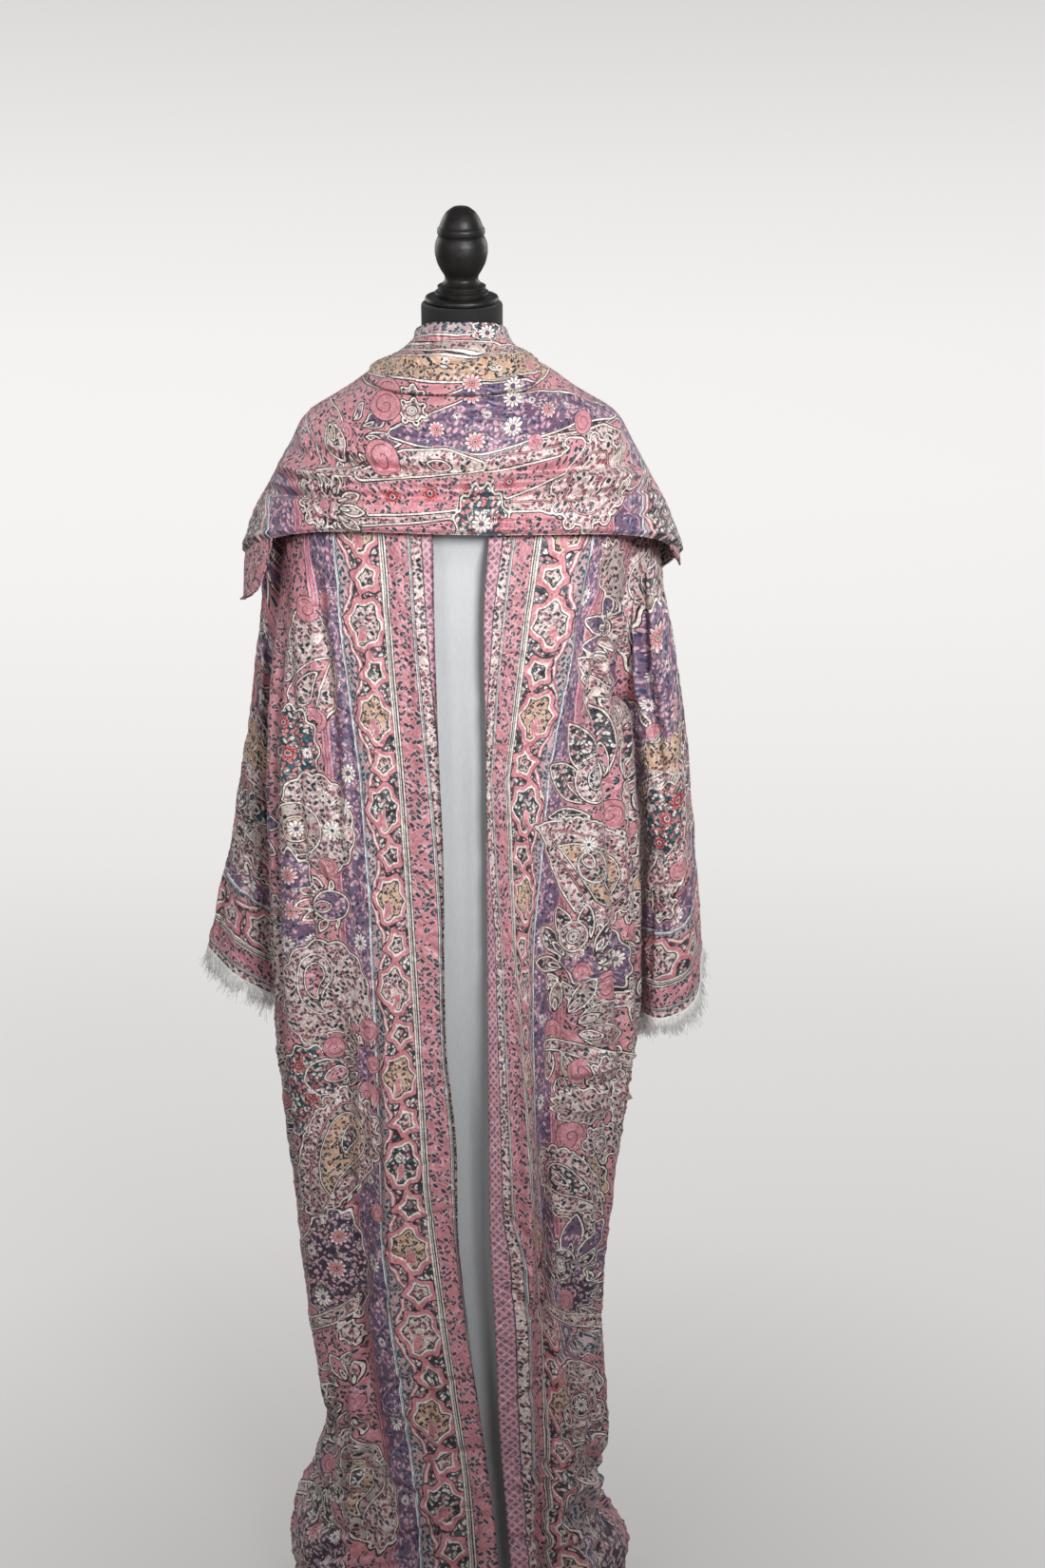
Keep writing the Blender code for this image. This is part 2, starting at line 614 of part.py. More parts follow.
def shawl_base(down, turn):
    turn = wrapped(turn)
    row = read_table(SHAWL_COLUMNS, SHAWL_ROWS, down)
    angle = abs(turn) * pi
    share = abs(sin(angle)) ** (2.0 / SHAWL_ROUND)
    depth = abs(cos(angle)) ** (2.0 / SHAWL_ROUND)
    face = "front" if abs(turn) <= 0.5 else "back"
    middle_y = NECK_TOP.y * ease(1.0 - down / 0.3)
    x = row["side_x"] * share
    y = middle_y + (row[face + "_y"] - middle_y) * depth
    z = row["side_z"] + (row[face + "_z"] - row["side_z"]) * ease(depth)
    return Vector((x if turn >= 0.0 else -x, y, z))


def shawl_normal(down, turn):
    normal = surface_normal(lambda t, d: shawl_base(d, t), turn, down)
    outward = Vector((sin(turn * pi), -cos(turn * pi), 0.6))
    return normal if normal.dot(outward) > 0.0 else -normal


def swag_height(down, turn):
    moved = 0.0
    if abs(turn) > 0.5:
        return 0.004 * ease((abs(turn) - 0.5) / 0.2) * sin(13.0 * turn + 9.0 * down) * ease((down - 0.3) / 0.3)
    for values in SWAG_ROWS:
        swag = dict(zip(SWAG_COLUMNS, values))
        edge = swag["right"] if turn > 0 else swag["left"]
        share = cos(min(1.0, abs(turn) / 0.5) * pi / 2)
        middle = edge + (swag["centre"] - edge) * share
        moved += swag["depth"] * bump((down - middle) / swag["half_width"]) * ease((0.5 - abs(turn)) / 0.15)
    return moved


def shawl_point(down, turn, out):
    # A point of the shawl and its normal; out moves the layer outward.
    normal = shawl_normal(down, turn)
    return shawl_base(down, turn) + normal * (swag_height(down, turn) + out), normal


def shawl_sheet(name, first, last, top, foot, out, columns, steps, material, closed=False):
    # A stretch of the shawl between two turns; top and foot give its edges at each turn.
    rows = []
    for r in range(steps + 1):
        row = []
        for c in range(columns if closed else columns + 1):
            turn = wrapped(first + (last - first) * c / columns)
            down = top(turn) + (foot(turn) - top(turn)) * r / steps
            row.append(shawl_point(down, turn, out))
        rows.append(row)
    return grid_wall(name, rows, SHAWL_CLOTH, material, closed)


def neck_band_foot(turn):
    # The lower edge of the wound band swings down in front and up to the pinch on the right.
    share = cos(min(1.0, abs(turn) / 0.5) * pi / 2)
    if abs(turn) <= 0.5:
        edge = NECK_BAND_RIGHT if turn > 0 else NECK_BAND_LEFT
        return edge + (NECK_BAND_FRONT - edge) * share
    edge = NECK_BAND_RIGHT if turn > 0 else NECK_BAND_LEFT
    return edge + (NECK_BAND_BACK - edge) * ease((abs(turn) - 0.5) / 0.5)


def front_edge(turn):
    # The rolled lower edge of the front hangs in shallow waves.
    return 1.0 + 0.012 * sin(11.0 * turn + 0.8) * ease((0.5 - abs(turn)) / 0.1)


def make_shawl(material):
    layer = SHAWL_LAYER
    edge = 0.5 - SHAWL_SIDE_GAP
    shawl_sheet("shawl_neck", -1.0, 1.0, lambda t: 0.0, neck_band_foot, layer, 28, 4, material, closed=True)
    shawl_sheet("shawl_front", -edge, edge, lambda t: neck_band_foot(t) - 0.05, front_edge, 0.0,
                26, 10, material)
    shawl_sheet("shawl_back", 0.5 + SHAWL_SIDE_GAP, 1.5 - SHAWL_SIDE_GAP, lambda t: neck_band_foot(t) - 0.05,
                lambda t: 1.0 + 0.08 * (1.0 - abs(abs(t) - 0.75) / 0.25), 0.0, 20, 7, material)
    # The end that is thrown over the left shoulder crosses the back outside the first layer.
    shawl_sheet("shawl_end_back", 0.62, 1.40, lambda t: neck_band_foot(t) + 0.02,
                lambda t: 0.98 + 0.22 * bump((abs(t) - 0.80) / 0.22) * (1.0 if t > 0 else 0.35), SHAWL_END_LAYER,
                16, 6, material)
    # Under layers that hang below the front at both shoulders.
    shawl_sheet("shawl_end_left", -0.60, -0.40, lambda t: 0.80,
                lambda t: 1.25 - 0.13 * ease((abs(t + 0.50)) / 0.12), -SHAWL_UNDER_LAYER, 6, 5, material)
    shawl_sheet("shawl_end_right", 0.40, 0.58, lambda t: 0.80,
                lambda t: 1.13 - 0.09 * ease((abs(t - 0.50)) / 0.12), -SHAWL_UNDER_LAYER, 6, 4, material)


def turned(name, profile, material, steps=20):
    # A turned piece: a profile from the axis at its top to the axis at its foot, and a Screw.
    mesh = bpy.data.meshes.new(name)
    points = [(radius, 0.0, height) for radius, height in profile]
    edges = [(i, i + 1) for i in range(len(points) - 1)]
    mesh.from_pydata(points, edges, [])
    obj = bpy.data.objects.new(name, mesh)
    screw = obj.modifiers.new("turn", "SCREW")
    screw.steps = steps
    screw.render_steps = steps
    screw.use_merge_vertices = True
    screw.merge_threshold = 0.00005
    screw.use_normal_calculate = True
    mesh.materials.append(material)
    bpy.data.collections[COLLECTION].objects.link(obj)
    return obj


def make_neck_cap(materials):
    # The cap and the finial stand on the neck's slanted top.
    up = Vector((0.0, -sin(NECK_LEAN), cos(NECK_LEAN)))
    cap_profile = [(0.0, CAP_THICK), (CAP_RADIUS - 0.0045, CAP_THICK), (CAP_RADIUS - 0.0008, CAP_THICK - 0.0015),
                   (CAP_RADIUS, CAP_THICK - 0.0040), (CAP_RADIUS - 0.0015, 0.0), (0.0, 0.0)]
    cap = turned("neck_cap", cap_profile, materials["black_wood"])
    cap.location = NECK_TOP + up * SEAM_GAP
    cap.rotation_euler = (NECK_LEAN, 0.0, 0.0)
    profile = [(0.0, FINIAL_TOP)] + [(r, h) for r, h in reversed(FINIAL_PROFILE)] + [(0.0, 0.0)]
    finial = turned("finial", profile, materials["black_wood"])
    finial.location = NECK_TOP + up * (CAP_THICK + 2.0 * SEAM_GAP)
    finial.rotation_euler = (NECK_LEAN, 0.0, 0.0)


def torso_point(height, turn):
    # The shoulders carry the cloth; below them the form is its own.
    if height >= ARMHOLE_TOP_Z:
        under = NECK_EASE if height == NECK_SEAM_Z else SHOULDER_EASE
        return body_base(height, turn) - body_normal(height, turn) * (CLOTH + under)
    row = read_table(TORSO_COLUMNS, TORSO_ROWS, height)
    x, y = plan_point(row["half_width"], row["front"], row["back"], 0.0, turn, FRONT_ROUND, BACK_ROUND)
    return Vector((x, y, height))


def make_torso(material):
    # One loft from the slanted neck top over the shoulders to the flat foot.
    columns = 26
    rings = []
    up = Vector((0.0, -sin(NECK_LEAN), cos(NECK_LEAN)))
    forward = Vector((0.0, -cos(NECK_LEAN), -sin(NECK_LEAN)))
    for drop, radius in ((0.0, NECK_RADIUS - 0.001), (0.003, NECK_RADIUS), (0.045, NECK_RADIUS)):
        centre = NECK_TOP - up * drop
        ring = []
        for c in range(columns):
            angle = 2.0 * pi * c / columns
            ring.append(centre + Vector((sin(angle) * radius, 0.0, 0.0)) + forward * (cos(angle) * radius))
        rings.append(ring)
    heights = (NECK_SEAM_Z, 1.500, 1.472, 1.448, ARMHOLE_TOP_Z, 1.395, 1.360, 1.290, 1.200, 1.110, 1.020, 0.950,
               0.900, TORSO_FOOT_Z)
    for height in heights:
        rings.append([torso_point(height, wrapped(2.0 * c / columns)) for c in range(columns)])
    mesh = bpy.data.meshes.new("torso")
    bm = bmesh.new()
    made = [[bm.verts.new(point) for point in ring] for ring in rings]
    for upper, lower in zip(made, made[1:]):
        for c in range(columns):
            d = (c + 1) % columns
            bm.faces.new((upper[c], upper[d], lower[d], lower[c]))
    bm.faces.new(made[0])
    bm.faces.new(list(reversed(made[-1])))
    bmesh.ops.recalc_face_normals(bm, faces=bm.faces)
    bm.to_mesh(mesh)
    bm.free()
    add_mesh("torso", mesh, material)


def make_stand(materials):
    length = TORSO_FOOT_Z - BASE_THICK - 2.0 * SEAM_GAP
    bpy.ops.mesh.primitive_cylinder_add(vertices=24, radius=POLE_RADIUS, depth=length)
    pole = bpy.context.object
    pole.name = "pole"
    pole.location = (0.0, 0.0, BASE_THICK + SEAM_GAP + length / 2)
    pole.data.materials.append(materials["black_metal"])
    bpy.ops.mesh.primitive_cylinder_add(vertices=40, radius=BASE_RADIUS, depth=BASE_THICK)
    base = bpy.context.object
    base.name = "base"
    base.location = (0.0, 0.0, BASE_THICK / 2)
    base.data.materials.append(materials["black_wood"])
    edge = base.modifiers.new("rounded_edge", "BEVEL")
    edge.width = 0.006
    edge.segments = 2
    edge.limit_method = "ANGLE"
    for obj in (pole, base):
        for holder in list(obj.users_collection):
            holder.objects.unlink(obj)
        bpy.data.collections[COLLECTION].objects.link(obj)


def main():
    clear_scene()
    make_collection()
    materials = make_materials()
    make_body(materials["paisley_cloth"])
    make_sleeve("sleeve_left", LEFT_SLEEVE_ROWS, -1, LEFT_CUFF_DIP, materials["paisley_cloth"])
    make_sleeve("sleeve_right", RIGHT_SLEEVE_ROWS, 1, RIGHT_CUFF_DIP, materials["paisley_cloth"])
    make_fringe("fringe_left", LEFT_SLEEVE_ROWS, -1, LEFT_CUFF_DIP, materials["fringe_thread"])
    make_fringe("fringe_right", RIGHT_SLEEVE_ROWS, 1, RIGHT_CUFF_DIP, materials["fringe_thread"])
    make_inner_panel(materials["inner_cloth"])
    make_shawl(materials["shawl_cloth"])
    make_torso(materials["black_knit"])
    make_neck_cap(materials)
    make_stand(materials)


main()
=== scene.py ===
# The looks of an open paisley abaya with its shawl on a black dress form.
# Metres, +Z up, the front faces -Y. Cloth pieces are thin shells on the forms of their solids.
from math import cos, pi, radians, sin

import bpy
import numpy as np
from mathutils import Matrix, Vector


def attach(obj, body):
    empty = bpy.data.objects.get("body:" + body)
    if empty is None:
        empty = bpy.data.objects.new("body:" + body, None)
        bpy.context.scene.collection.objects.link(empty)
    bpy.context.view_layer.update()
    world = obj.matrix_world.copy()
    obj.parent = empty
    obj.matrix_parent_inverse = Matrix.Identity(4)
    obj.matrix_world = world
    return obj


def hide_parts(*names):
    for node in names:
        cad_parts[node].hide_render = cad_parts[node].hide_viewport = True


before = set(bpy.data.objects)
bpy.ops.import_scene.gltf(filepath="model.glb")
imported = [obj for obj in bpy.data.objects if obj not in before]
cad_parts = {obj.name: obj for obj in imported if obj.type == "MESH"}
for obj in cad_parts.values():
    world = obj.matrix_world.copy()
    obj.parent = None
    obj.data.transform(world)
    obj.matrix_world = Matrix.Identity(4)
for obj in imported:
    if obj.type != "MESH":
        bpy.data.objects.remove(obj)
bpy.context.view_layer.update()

CLOTH = 0.0009
SHAWL_CLOTH = 0.0026
HEM_CLEAR = 0.0020
NECK_SEAM_Z = 1.522
UNDERARM_Z = 1.150
ARMHOLE_TOP_Z = 1.430
INNER_TOP_Z = 1.415
FRONT_ROUND = 2.5
BACK_ROUND = 1.75
SIDE_TURN = 0.60
ARMHOLE_TURN = 0.085
SEAM_GAP = 0.0003

# height, left, right, front, back, left_y, right_y
BODY_ROWS = (
    (1.522, 0.062, 0.062, 0.060, 0.056, 0.000, 0.000),
    (1.500, 0.112, 0.112, 0.080, 0.070, 0.000, 0.000),
    (1.470, 0.163, 0.163, 0.096, 0.082, 0.000, 0.000),
    (1.430, 0.190, 0.190, 0.108, 0.092, 0.000, 0.000),
    (1.360, 0.204, 0.198, 0.122, 0.104, -0.004, -0.004),
    (1.250, 0.217, 0.184, 0.128, 0.110, -0.014, -0.012),
    (1.150, 0.227, 0.180, 0.126, 0.108, -0.032, -0.022),
    (1.050, 0.230, 0.191, 0.124, 0.106, -0.045, -0.030),
    (0.900, 0.229, 0.202, 0.125, 0.110, -0.045, -0.028),
    (0.755, 0.227, 0.204, 0.128, 0.118, -0.030, -0.018),
    (0.660, 0.221, 0.193, 0.130, 0.122, -0.015, -0.010),
    (0.540, 0.210, 0.177, 0.133, 0.126, 0.000, 0.000),
    (0.414, 0.199, 0.165, 0.137, 0.131, 0.000, 0.000),
    (0.286, 0.183, 0.172, 0.144, 0.138, 0.000, 0.000),
    (0.240, 0.178, 0.176, 0.147, 0.142, 0.000, 0.000),
    (0.188, 0.193, 0.168, 0.153, 0.148, 0.000, 0.000),
    (0.122, 0.216, 0.172, 0.168, 0.160, 0.000, 0.000),
    (0.075, 0.224, 0.204, 0.180, 0.172, 0.000, 0.000),
    (0.002, 0.216, 0.206, 0.192, 0.186, 0.000, 0.000),
)
# height, left_x, right_x
OPENING_ROWS = (
    (1.522, -0.046, 0.046),
    (1.440, -0.036, 0.038),
    (1.360, -0.030, 0.033),
    (1.265, -0.029, 0.027),
    (1.102, -0.025, 0.029),
    (0.991, -0.021, 0.029),
    (0.764, -0.019, 0.030),
    (0.647, -0.008, 0.031),
    (0.528, -0.006, 0.032),
    (0.407, 0.006, 0.038),
    (0.284, 0.022, 0.043),
    (0.158, 0.038, 0.053),
    (0.002, 0.046, 0.064),
)
# Long folds: top_turn, foot_turn, top, foot, half_width, depth
METRES_PER_HALF_TURN = 0.52
FOLD_ROWS = (
    (-0.190, -0.215, 0.860, 0.300, 0.030, -0.016),
    (-0.115, -0.120, 1.330, 0.020, 0.026, 0.006),
    (-0.300, -0.330, 1.300, 0.160, 0.040, 0.010),
    (-0.385, -0.400, 1.320, 0.500, 0.026, -0.011),
    (0.135, 0.185, 1.060, 0.010, 0.024, -0.017),
    (0.105, 0.130, 1.000, 0.010, 0.020, 0.007),
    (0.235, 0.290, 1.340, 0.650, 0.036, 0.009),
    (0.330, 0.345, 1.300, 0.750, 0.024, -0.010),
    (0.380, 0.400, 0.900, 0.120, 0.032, 0.010),
    (-0.640, -0.660, 1.200, 0.020, 0.040, -0.014),
    (-0.740, -0.780, 1.380, 0.010, 0.045, 0.014),
    (-0.850, -0.880, 1.250, 0.010, 0.036, -0.013),
    (-0.950, -0.960, 1.400, 0.150, 0.040, 0.012),
    (0.640, 0.650, 1.220, 0.020, 0.038, -0.013),
    (0.730, 0.770, 1.340, 0.010, 0.042, 0.013),
    (0.840, 0.860, 1.180, 0.010, 0.036, -0.014),
    (0.930, 0.945, 1.380, 0.020, 0.036, 0.011),
)
# height, half_height, depth
CRUMPLE_ROWS = (
    (0.245, 0.045, -0.006),
    (0.175, 0.040, -0.008),
    (0.115, 0.040, 0.007),
    (0.060, 0.035, -0.007),
)
LIFT_TURN = 0.300
LIFT_HALF = 0.150
LIFT_HEIGHT = 0.085
LIFT_REACH = 0.300
# along, outer_x, outer_z, inner_x, inner_z, front_x, front_y, back_x, back_y
LEFT_SLEEVE_ROWS = (
    (0.08, 0.206, 1.404, 0.2210, 1.150, 0.2270, 0.000, 0.198, 0.046),
    (0.20, 0.226, 1.345, 0.2220, 1.144, 0.2320, 0.002, 0.213, 0.060),
    (0.35, 0.238, 1.262, 0.2190, 1.118, 0.2370, 0.004, 0.224, 0.076),
    (0.50, 0.252, 1.165, 0.2130, 1.070, 0.2410, 0.006, 0.231, 0.090),
    (0.65, 0.268, 1.065, 0.2060, 0.995, 0.2440, 0.008, 0.237, 0.100),
    (0.80, 0.288, 0.955, 0.2000, 0.895, 0.2480, 0.008, 0.243, 0.105),
    (0.92, 0.308, 0.868, 0.1960, 0.810, 0.2530, 0.007, 0.248, 0.107),
    (1.00, 0.317, 0.827, 0.1950, 0.765, 0.2570, 0.007, 0.251, 0.108),
)
RIGHT_SLEEVE_ROWS = (
    (0.08, 0.206, 1.412, 0.1900, 1.149, 0.2020, -0.002, 0.178, 0.050),
    (0.20, 0.226, 1.345, 0.1950, 1.142, 0.2120, -0.009, 0.194, 0.062),
    (0.35, 0.241, 1.262, 0.2010, 1.115, 0.2210, -0.019, 0.208, 0.073),
    (0.50, 0.258, 1.165, 0.2090, 1.055, 0.2310, -0.028, 0.222, 0.078),
    (0.65, 0.270, 1.065, 0.2130, 0.980, 0.2390, -0.034, 0.233, 0.081),
    (0.80, 0.279, 0.955, 0.2120, 0.885, 0.2440, -0.038, 0.242, 0.082),
    (0.92, 0.287, 0.870, 0.2110, 0.810, 0.2490, -0.038, 0.247, 0.084),
    (1.00, 0.291, 0.832, 0.2110, 0.770, 0.2510, -0.038, 0.250, 0.086),
)
SLEEVE_FOLDS = 5
SLEEVE_FOLD_DEPTH = 0.0030
LEFT_CUFF_DIP = 0.000
RIGHT_CUFF_DIP = 0.040
INNER_UNDERLAP = 0.068
INNER_BEHIND = 0.0215
INNER_SEAM = 0.0012
# down, side_x, side_z, front_y, front_z, back_y, back_z
SHAWL_ROWS = (
    (0.00, 0.0475, 1.580, -0.0559, 1.588, 0.0406, 1.580),
    (0.06, 0.0540, 1.566, -0.0640, 1.570, 0.0480, 1.562),
    (0.12, 0.0710, 1.554, -0.0790, 1.551, 0.0590, 1.548),
    (0.19, 0.0980, 1.541, -0.0920, 1.531, 0.0690, 1.532),
    (0.27, 0.1320, 1.518, -0.1040, 1.508, 0.0790, 1.512),
    (0.36, 0.1760, 1.491, -0.1170, 1.484, 0.0900, 1.486),
    (0.46, 0.1980, 1.456, -0.1270, 1.460, 0.1010, 1.455),
    (0.58, 0.2190, 1.418, -0.1350, 1.434, 0.1100, 1.418),
    (0.72, 0.2370, 1.386, -0.1410, 1.410, 0.1170, 1.375),
    (0.86, 0.2490, 1.356, -0.1450, 1.386, 0.1230, 1.330),
    (1.00, 0.2580, 1.330, -0.1480, 1.361, 0.1280, 1.290),
    (1.25, 0.2620, 1.272, -0.1500, 1.310, 0.1340, 1.215),
)
SHAWL_ROUND = 2.15
# left, centre, right, half_width, depth
SWAG_ROWS = (
    (0.42, 0.60, 0.48, 0.044, -0.0080),
    (0.62, 0.78, 0.60, 0.040, -0.0070),
    (0.50, 0.69, 0.53, 0.036, 0.0060),
    (0.95, 0.975, 0.95, 0.030, 0.0035),
)
NECK_BAND_LEFT = 0.19
NECK_BAND_FRONT = 0.27
NECK_BAND_RIGHT = 0.13
NECK_BAND_BACK = 0.20
SHAWL_LAYER = 0.0043
SHAWL_END_LAYER = 0.0080
SHAWL_UNDER_LAYER = 0.0048
SHAWL_SIDE_GAP = 0.0007
NECK_LEAN = radians(13.0)
NECK_RADIUS = 0.0465
NECK_TOP = Vector((0.001, -0.014, 1.612))
CAP_RADIUS = 0.0420
CAP_THICK = 0.0075
POLE_RADIUS = 0.0125
TORSO_FOOT_Z = 0.880
NECK_EASE = 0.0045
SHOULDER_EASE = 0.0016
SOLID_CLOTH = 0.0020
BASE_RADIUS = 0.155
BASE_THICK = 0.024
# height, half_width, front, back
TORSO_ROWS = (
    (1.395, 0.176, 0.095, 0.087),
    (1.360, 0.165, 0.090, 0.086),
    (1.290, 0.160, 0.092, 0.084),
    (1.200, 0.143, 0.086, 0.076),
    (1.110, 0.126, 0.080, 0.070),
    (1.020, 0.140, 0.085, 0.080),
    (0.950, 0.156, 0.091, 0.088),
    (0.900, 0.158, 0.092, 0.088),
    (0.880, 0.150, 0.086, 0.082),
)
FINIAL_PROFILE = (
    (0.0300, 0.0000), (0.0305, 0.0045), (0.0270, 0.0065), (0.0275, 0.0110), (0.0225, 0.0135),
    (0.0190, 0.0180), (0.0195, 0.0225), (0.0235, 0.0290), (0.0275, 0.0370), (0.0300, 0.0480),
    (0.0295, 0.0580), (0.0268, 0.0650), (0.0252, 0.0668), (0.0268, 0.0690), (0.0268, 0.0740),
    (0.0245, 0.0775), (0.0215, 0.0850), (0.0165, 0.0925), (0.0090, 0.0980),
)
FINIAL_TOP = 0.0995
# Creases of the fronts are at most this high. Those of the body deepen from this height down, over this span.
CREASE_LIMIT = 0.0110
DEEPER_FROM = 0.78
DEEPER_SPAN = 0.35
# Height of the lift along each cuff's outside, left and right
CUFF_LIFT = (0.006, 0.013)
# The line of the border at this distance from the shawl's edge shows at these x, left and right.
SHAWL_BORDER = 0.126
SHAWL_BORDER_LINES = ((-1, 0.2175), (1, 0.2070))
# A distance from the edge that is beyond the border's bands
BEYOND_BORDER = 0.3
# Where a shell's outer and inner face and its rims lie in the OFBake layout, a square from 0 to 1
FACE_SIZE = (0.475, 0.975)
OUTER_CORNER = (0.005, 0.005)
INNER_CORNER = (0.495, 0.005)
RIM_LEVEL = 0.9830
RIM_PITCH = 0.0044
RIM_HALF = 0.0022
RIM_HEIGHT = 0.0018


# Surfaces, as arrays of points


def ease(x):
    x = np.clip(x, 0.0, 1.0)
    return x * x * (3.0 - 2.0 * x)


def bump(distance):
    return 0.5 + 0.5 * np.cos(pi * np.minimum(1.0, np.abs(distance)))


def table(rows, key):
    # The columns after the first, at values of the first, on a smooth curve through the rows.
    rows = np.array(sorted(rows), dtype=float)
    keys = rows[:, 0]
    key = np.clip(np.asarray(key, dtype=float), keys[0], keys[-1])
    here = np.clip(np.searchsorted(keys, key, side="right") - 1, 0, len(keys) - 2)
    before, after = np.maximum(here - 1, 0), np.minimum(here + 2, len(keys) - 1)
    span = (keys[here + 1] - keys[here])[..., None]
    part = (key - keys[here])[..., None] / span
    start, end = rows[here], rows[here + 1]
    slope_in = (end - rows[before]) / (keys[here + 1] - keys[before])[..., None] * span
    slope_out = (rows[after] - start) / (keys[after] - keys[here])[..., None] * span
    made = start + (end - start) * (3 * part ** 2 - 2 * part ** 3)
    made = made + (part ** 3 - 2 * part ** 2 + part) * slope_in + (part ** 3 - part ** 2) * slope_out
    return np.moveaxis(made, -1, 0)[1:]


def wrapped(turn):
    turn = np.where(turn > 1.0, turn - 2.0, turn)
    return np.where(turn < -1.0, turn + 2.0, turn)


def unit(v):
    return v / np.maximum(np.linalg.norm(v, axis=-1, keepdims=True), 1e-12)


def plan(width, front, back, side_y, turn, front_round, back_round):
    turn = wrapped(turn)
    share, depth = np.abs(np.sin(turn * pi)), np.abs(np.cos(turn * pi))
    ahead = np.abs(turn) <= 0.5
    x = width * share ** (2.0 / np.where(ahead, front_round, back_round))
    y = np.where(ahead, side_y - (front + side_y) * depth ** (2.0 / front_round),
                 side_y + (back - side_y) * depth ** (2.0 / back_round))
    return np.where(turn >= 0.0, x, -x), y


def body_base(height, turn):
    turn = wrapped(turn)
    left, right, front, back, left_y, right_y = table(BODY_ROWS, height)
    on_right = turn >= 0.0
    x, y = plan(np.where(on_right, right, left), front, back, np.where(on_right, right_y, left_y), turn,
                FRONT_ROUND, BACK_ROUND)
    return np.stack([x, y, height + 0.0 * x], axis=-1)


def normals(surface, across, down, outward):
    step = 0.0015
    along = surface(across + step, down) - surface(across - step, down)
    fall = surface(across, down + step) - surface(across, down - step)
    made = unit(np.cross(along, fall))
    return np.where((made * outward).sum(-1, keepdims=True) > 0.0, made, -made)


def body_normal(height, turn):
    outward = np.stack([np.sin(turn * pi), -np.cos(turn * pi), 0.15 + 0.0 * turn], axis=-1)
    return normals(lambda t, h: body_base(h, t), turn, height, outward)


def fold_height(height, turn):
    moved = 0.0 * turn
    for top_turn, foot_turn, top, foot, half_width, depth in FOLD_ROWS:
        part = (top - height) / (top - foot)
        middle = top_turn + (foot_turn - top_turn) * part
        fade = ease(part / 0.22) * ease((1.0 - part) / 0.12)
        fade = np.where((part > 0.0) & (part < 1.0), fade, 0.0)
        moved = moved + depth * fade * bump((turn - middle) / (half_width / METRES_PER_HALF_TURN))
    for level, half_height, depth in CRUMPLE_ROWS:
        wander = level + 0.020 * np.sin(5.0 * turn + 37.0 * level)
        strength = 0.55 + 0.45 * np.sin(9.0 * turn + 61.0 * level)
        moved = moved + depth * strength * bump((height - wander) / half_height)
    return moved


def folded_body(height, turn):
    # The body's cloth with its long folds, and the way out of it.
    out = body_normal(height, turn)
    return body_base(height, turn) + out * fold_height(height, turn)[..., None], out


def lifted(height, turn):
    rise = LIFT_HEIGHT * bump((turn - LIFT_TURN) / LIFT_HALF)
    return np.where(height > LIFT_REACH, height, height + rise * (1.0 - height / LIFT_REACH))


def armhole_height(around):
    middle = (ARMHOLE_TOP_Z + UNDERARM_Z) / 2
    return middle + (ARMHOLE_TOP_Z - middle) * np.cos(around)


def armhole_half_turn(height):
    middle = (ARMHOLE_TOP_Z + UNDERARM_Z) / 2
    share = 1.0 - ((height - middle) / (ARMHOLE_TOP_Z - middle)) ** 2
    return ARMHOLE_TURN * np.sqrt(np.maximum(share, 0.0))


def front_turn(x, height):
    # The turn at which the front of the body's plan has this x.
    left, right = table(BODY_ROWS, height)[:2]
    reach = np.where(x > 0, right, left)
    turn = np.arcsin(np.minimum(1.0, np.abs(x) / reach) ** (FRONT_ROUND / 2.0)) / pi
    return np.where(x > 0, turn, -turn)


def opening_turn(height, side):
    left_x, right_x = table(OPENING_ROWS, height)
    return front_turn(left_x if side < 0 else right_x, height)


def seam_turn(height, side, face):
    left, right = table(BODY_ROWS, height)[:2]
    size = right if side > 0 else left
    gap = SEAM_GAP / (pi * np.maximum(size, 0.06))
    return side * (SIDE_TURN + face * (armhole_half_turn(height) + gap))


def run_lengths(points, axis=1):
    # The distance along each of the grid's lines from its first point.
    steps = np.linalg.norm(np.diff(points, axis=axis), axis=-1)
    first = np.zeros_like(steps.take([0], axis=axis))
    return np.concatenate([first, np.cumsum(steps, axis=axis)], axis=axis)


# Creases in the cloth: a trough or ridge between two points of a piece's flat coordinates, with a bow
# to one side, its half-width and its depth. One side of it is steeper than the other.


def crease(across, down, start, end, half_width, depth, bow=0.0, lean=0.0):
    a, b = np.array(start), np.array(end)
    span = b - a
    length = np.hypot(*span)
    along = ((across - a[0]) * span[0] + (down - a[1]) * span[1]) / length ** 2
    off = ((down - a[1]) * span[0] - (across - a[0]) * span[1]) / length
    off = off - bow * (1.0 - (2.0 * along - 1.0) ** 2)
    taper = np.sqrt(np.clip(4.0 * along * (1.0 - along), 0.0, 1.0))
    width = half_width * (0.45 + 0.55 * taper)
    width = width * np.where(off * lean > 0.0, 1.0 + abs(lean), 1.0)
    return np.where((along > 0.0) & (along < 1.0), depth * taper * bump(off / width), 0.0)


def creased(across, down, rows):
    moved = 0.0 * across
    for row in rows:
        moved = moved + crease(across, down, *row)
    return moved


def crinkle(across, down, seed, size, depth):
    # Low uneven puckers: a sum of waves in several directions.
    rng = np.random.default_rng(seed)
    moved = 0.0 * across
    for i in range(9):
        angle = rng.uniform(0.0, pi)
        wave = 2.0 * pi / (size * rng.uniform(0.6, 1.9))
        phase, drift = rng.uniform(0.0, 2.0 * pi, 2)
        path = across * cos(angle) + down * sin(angle)
        other = down * cos(angle) - across * sin(angle)
        moved = moved + np.sin(path * wave + phase + 1.3 * np.sin(other * wave * 0.43 + drift))
    return moved * depth / 5.0


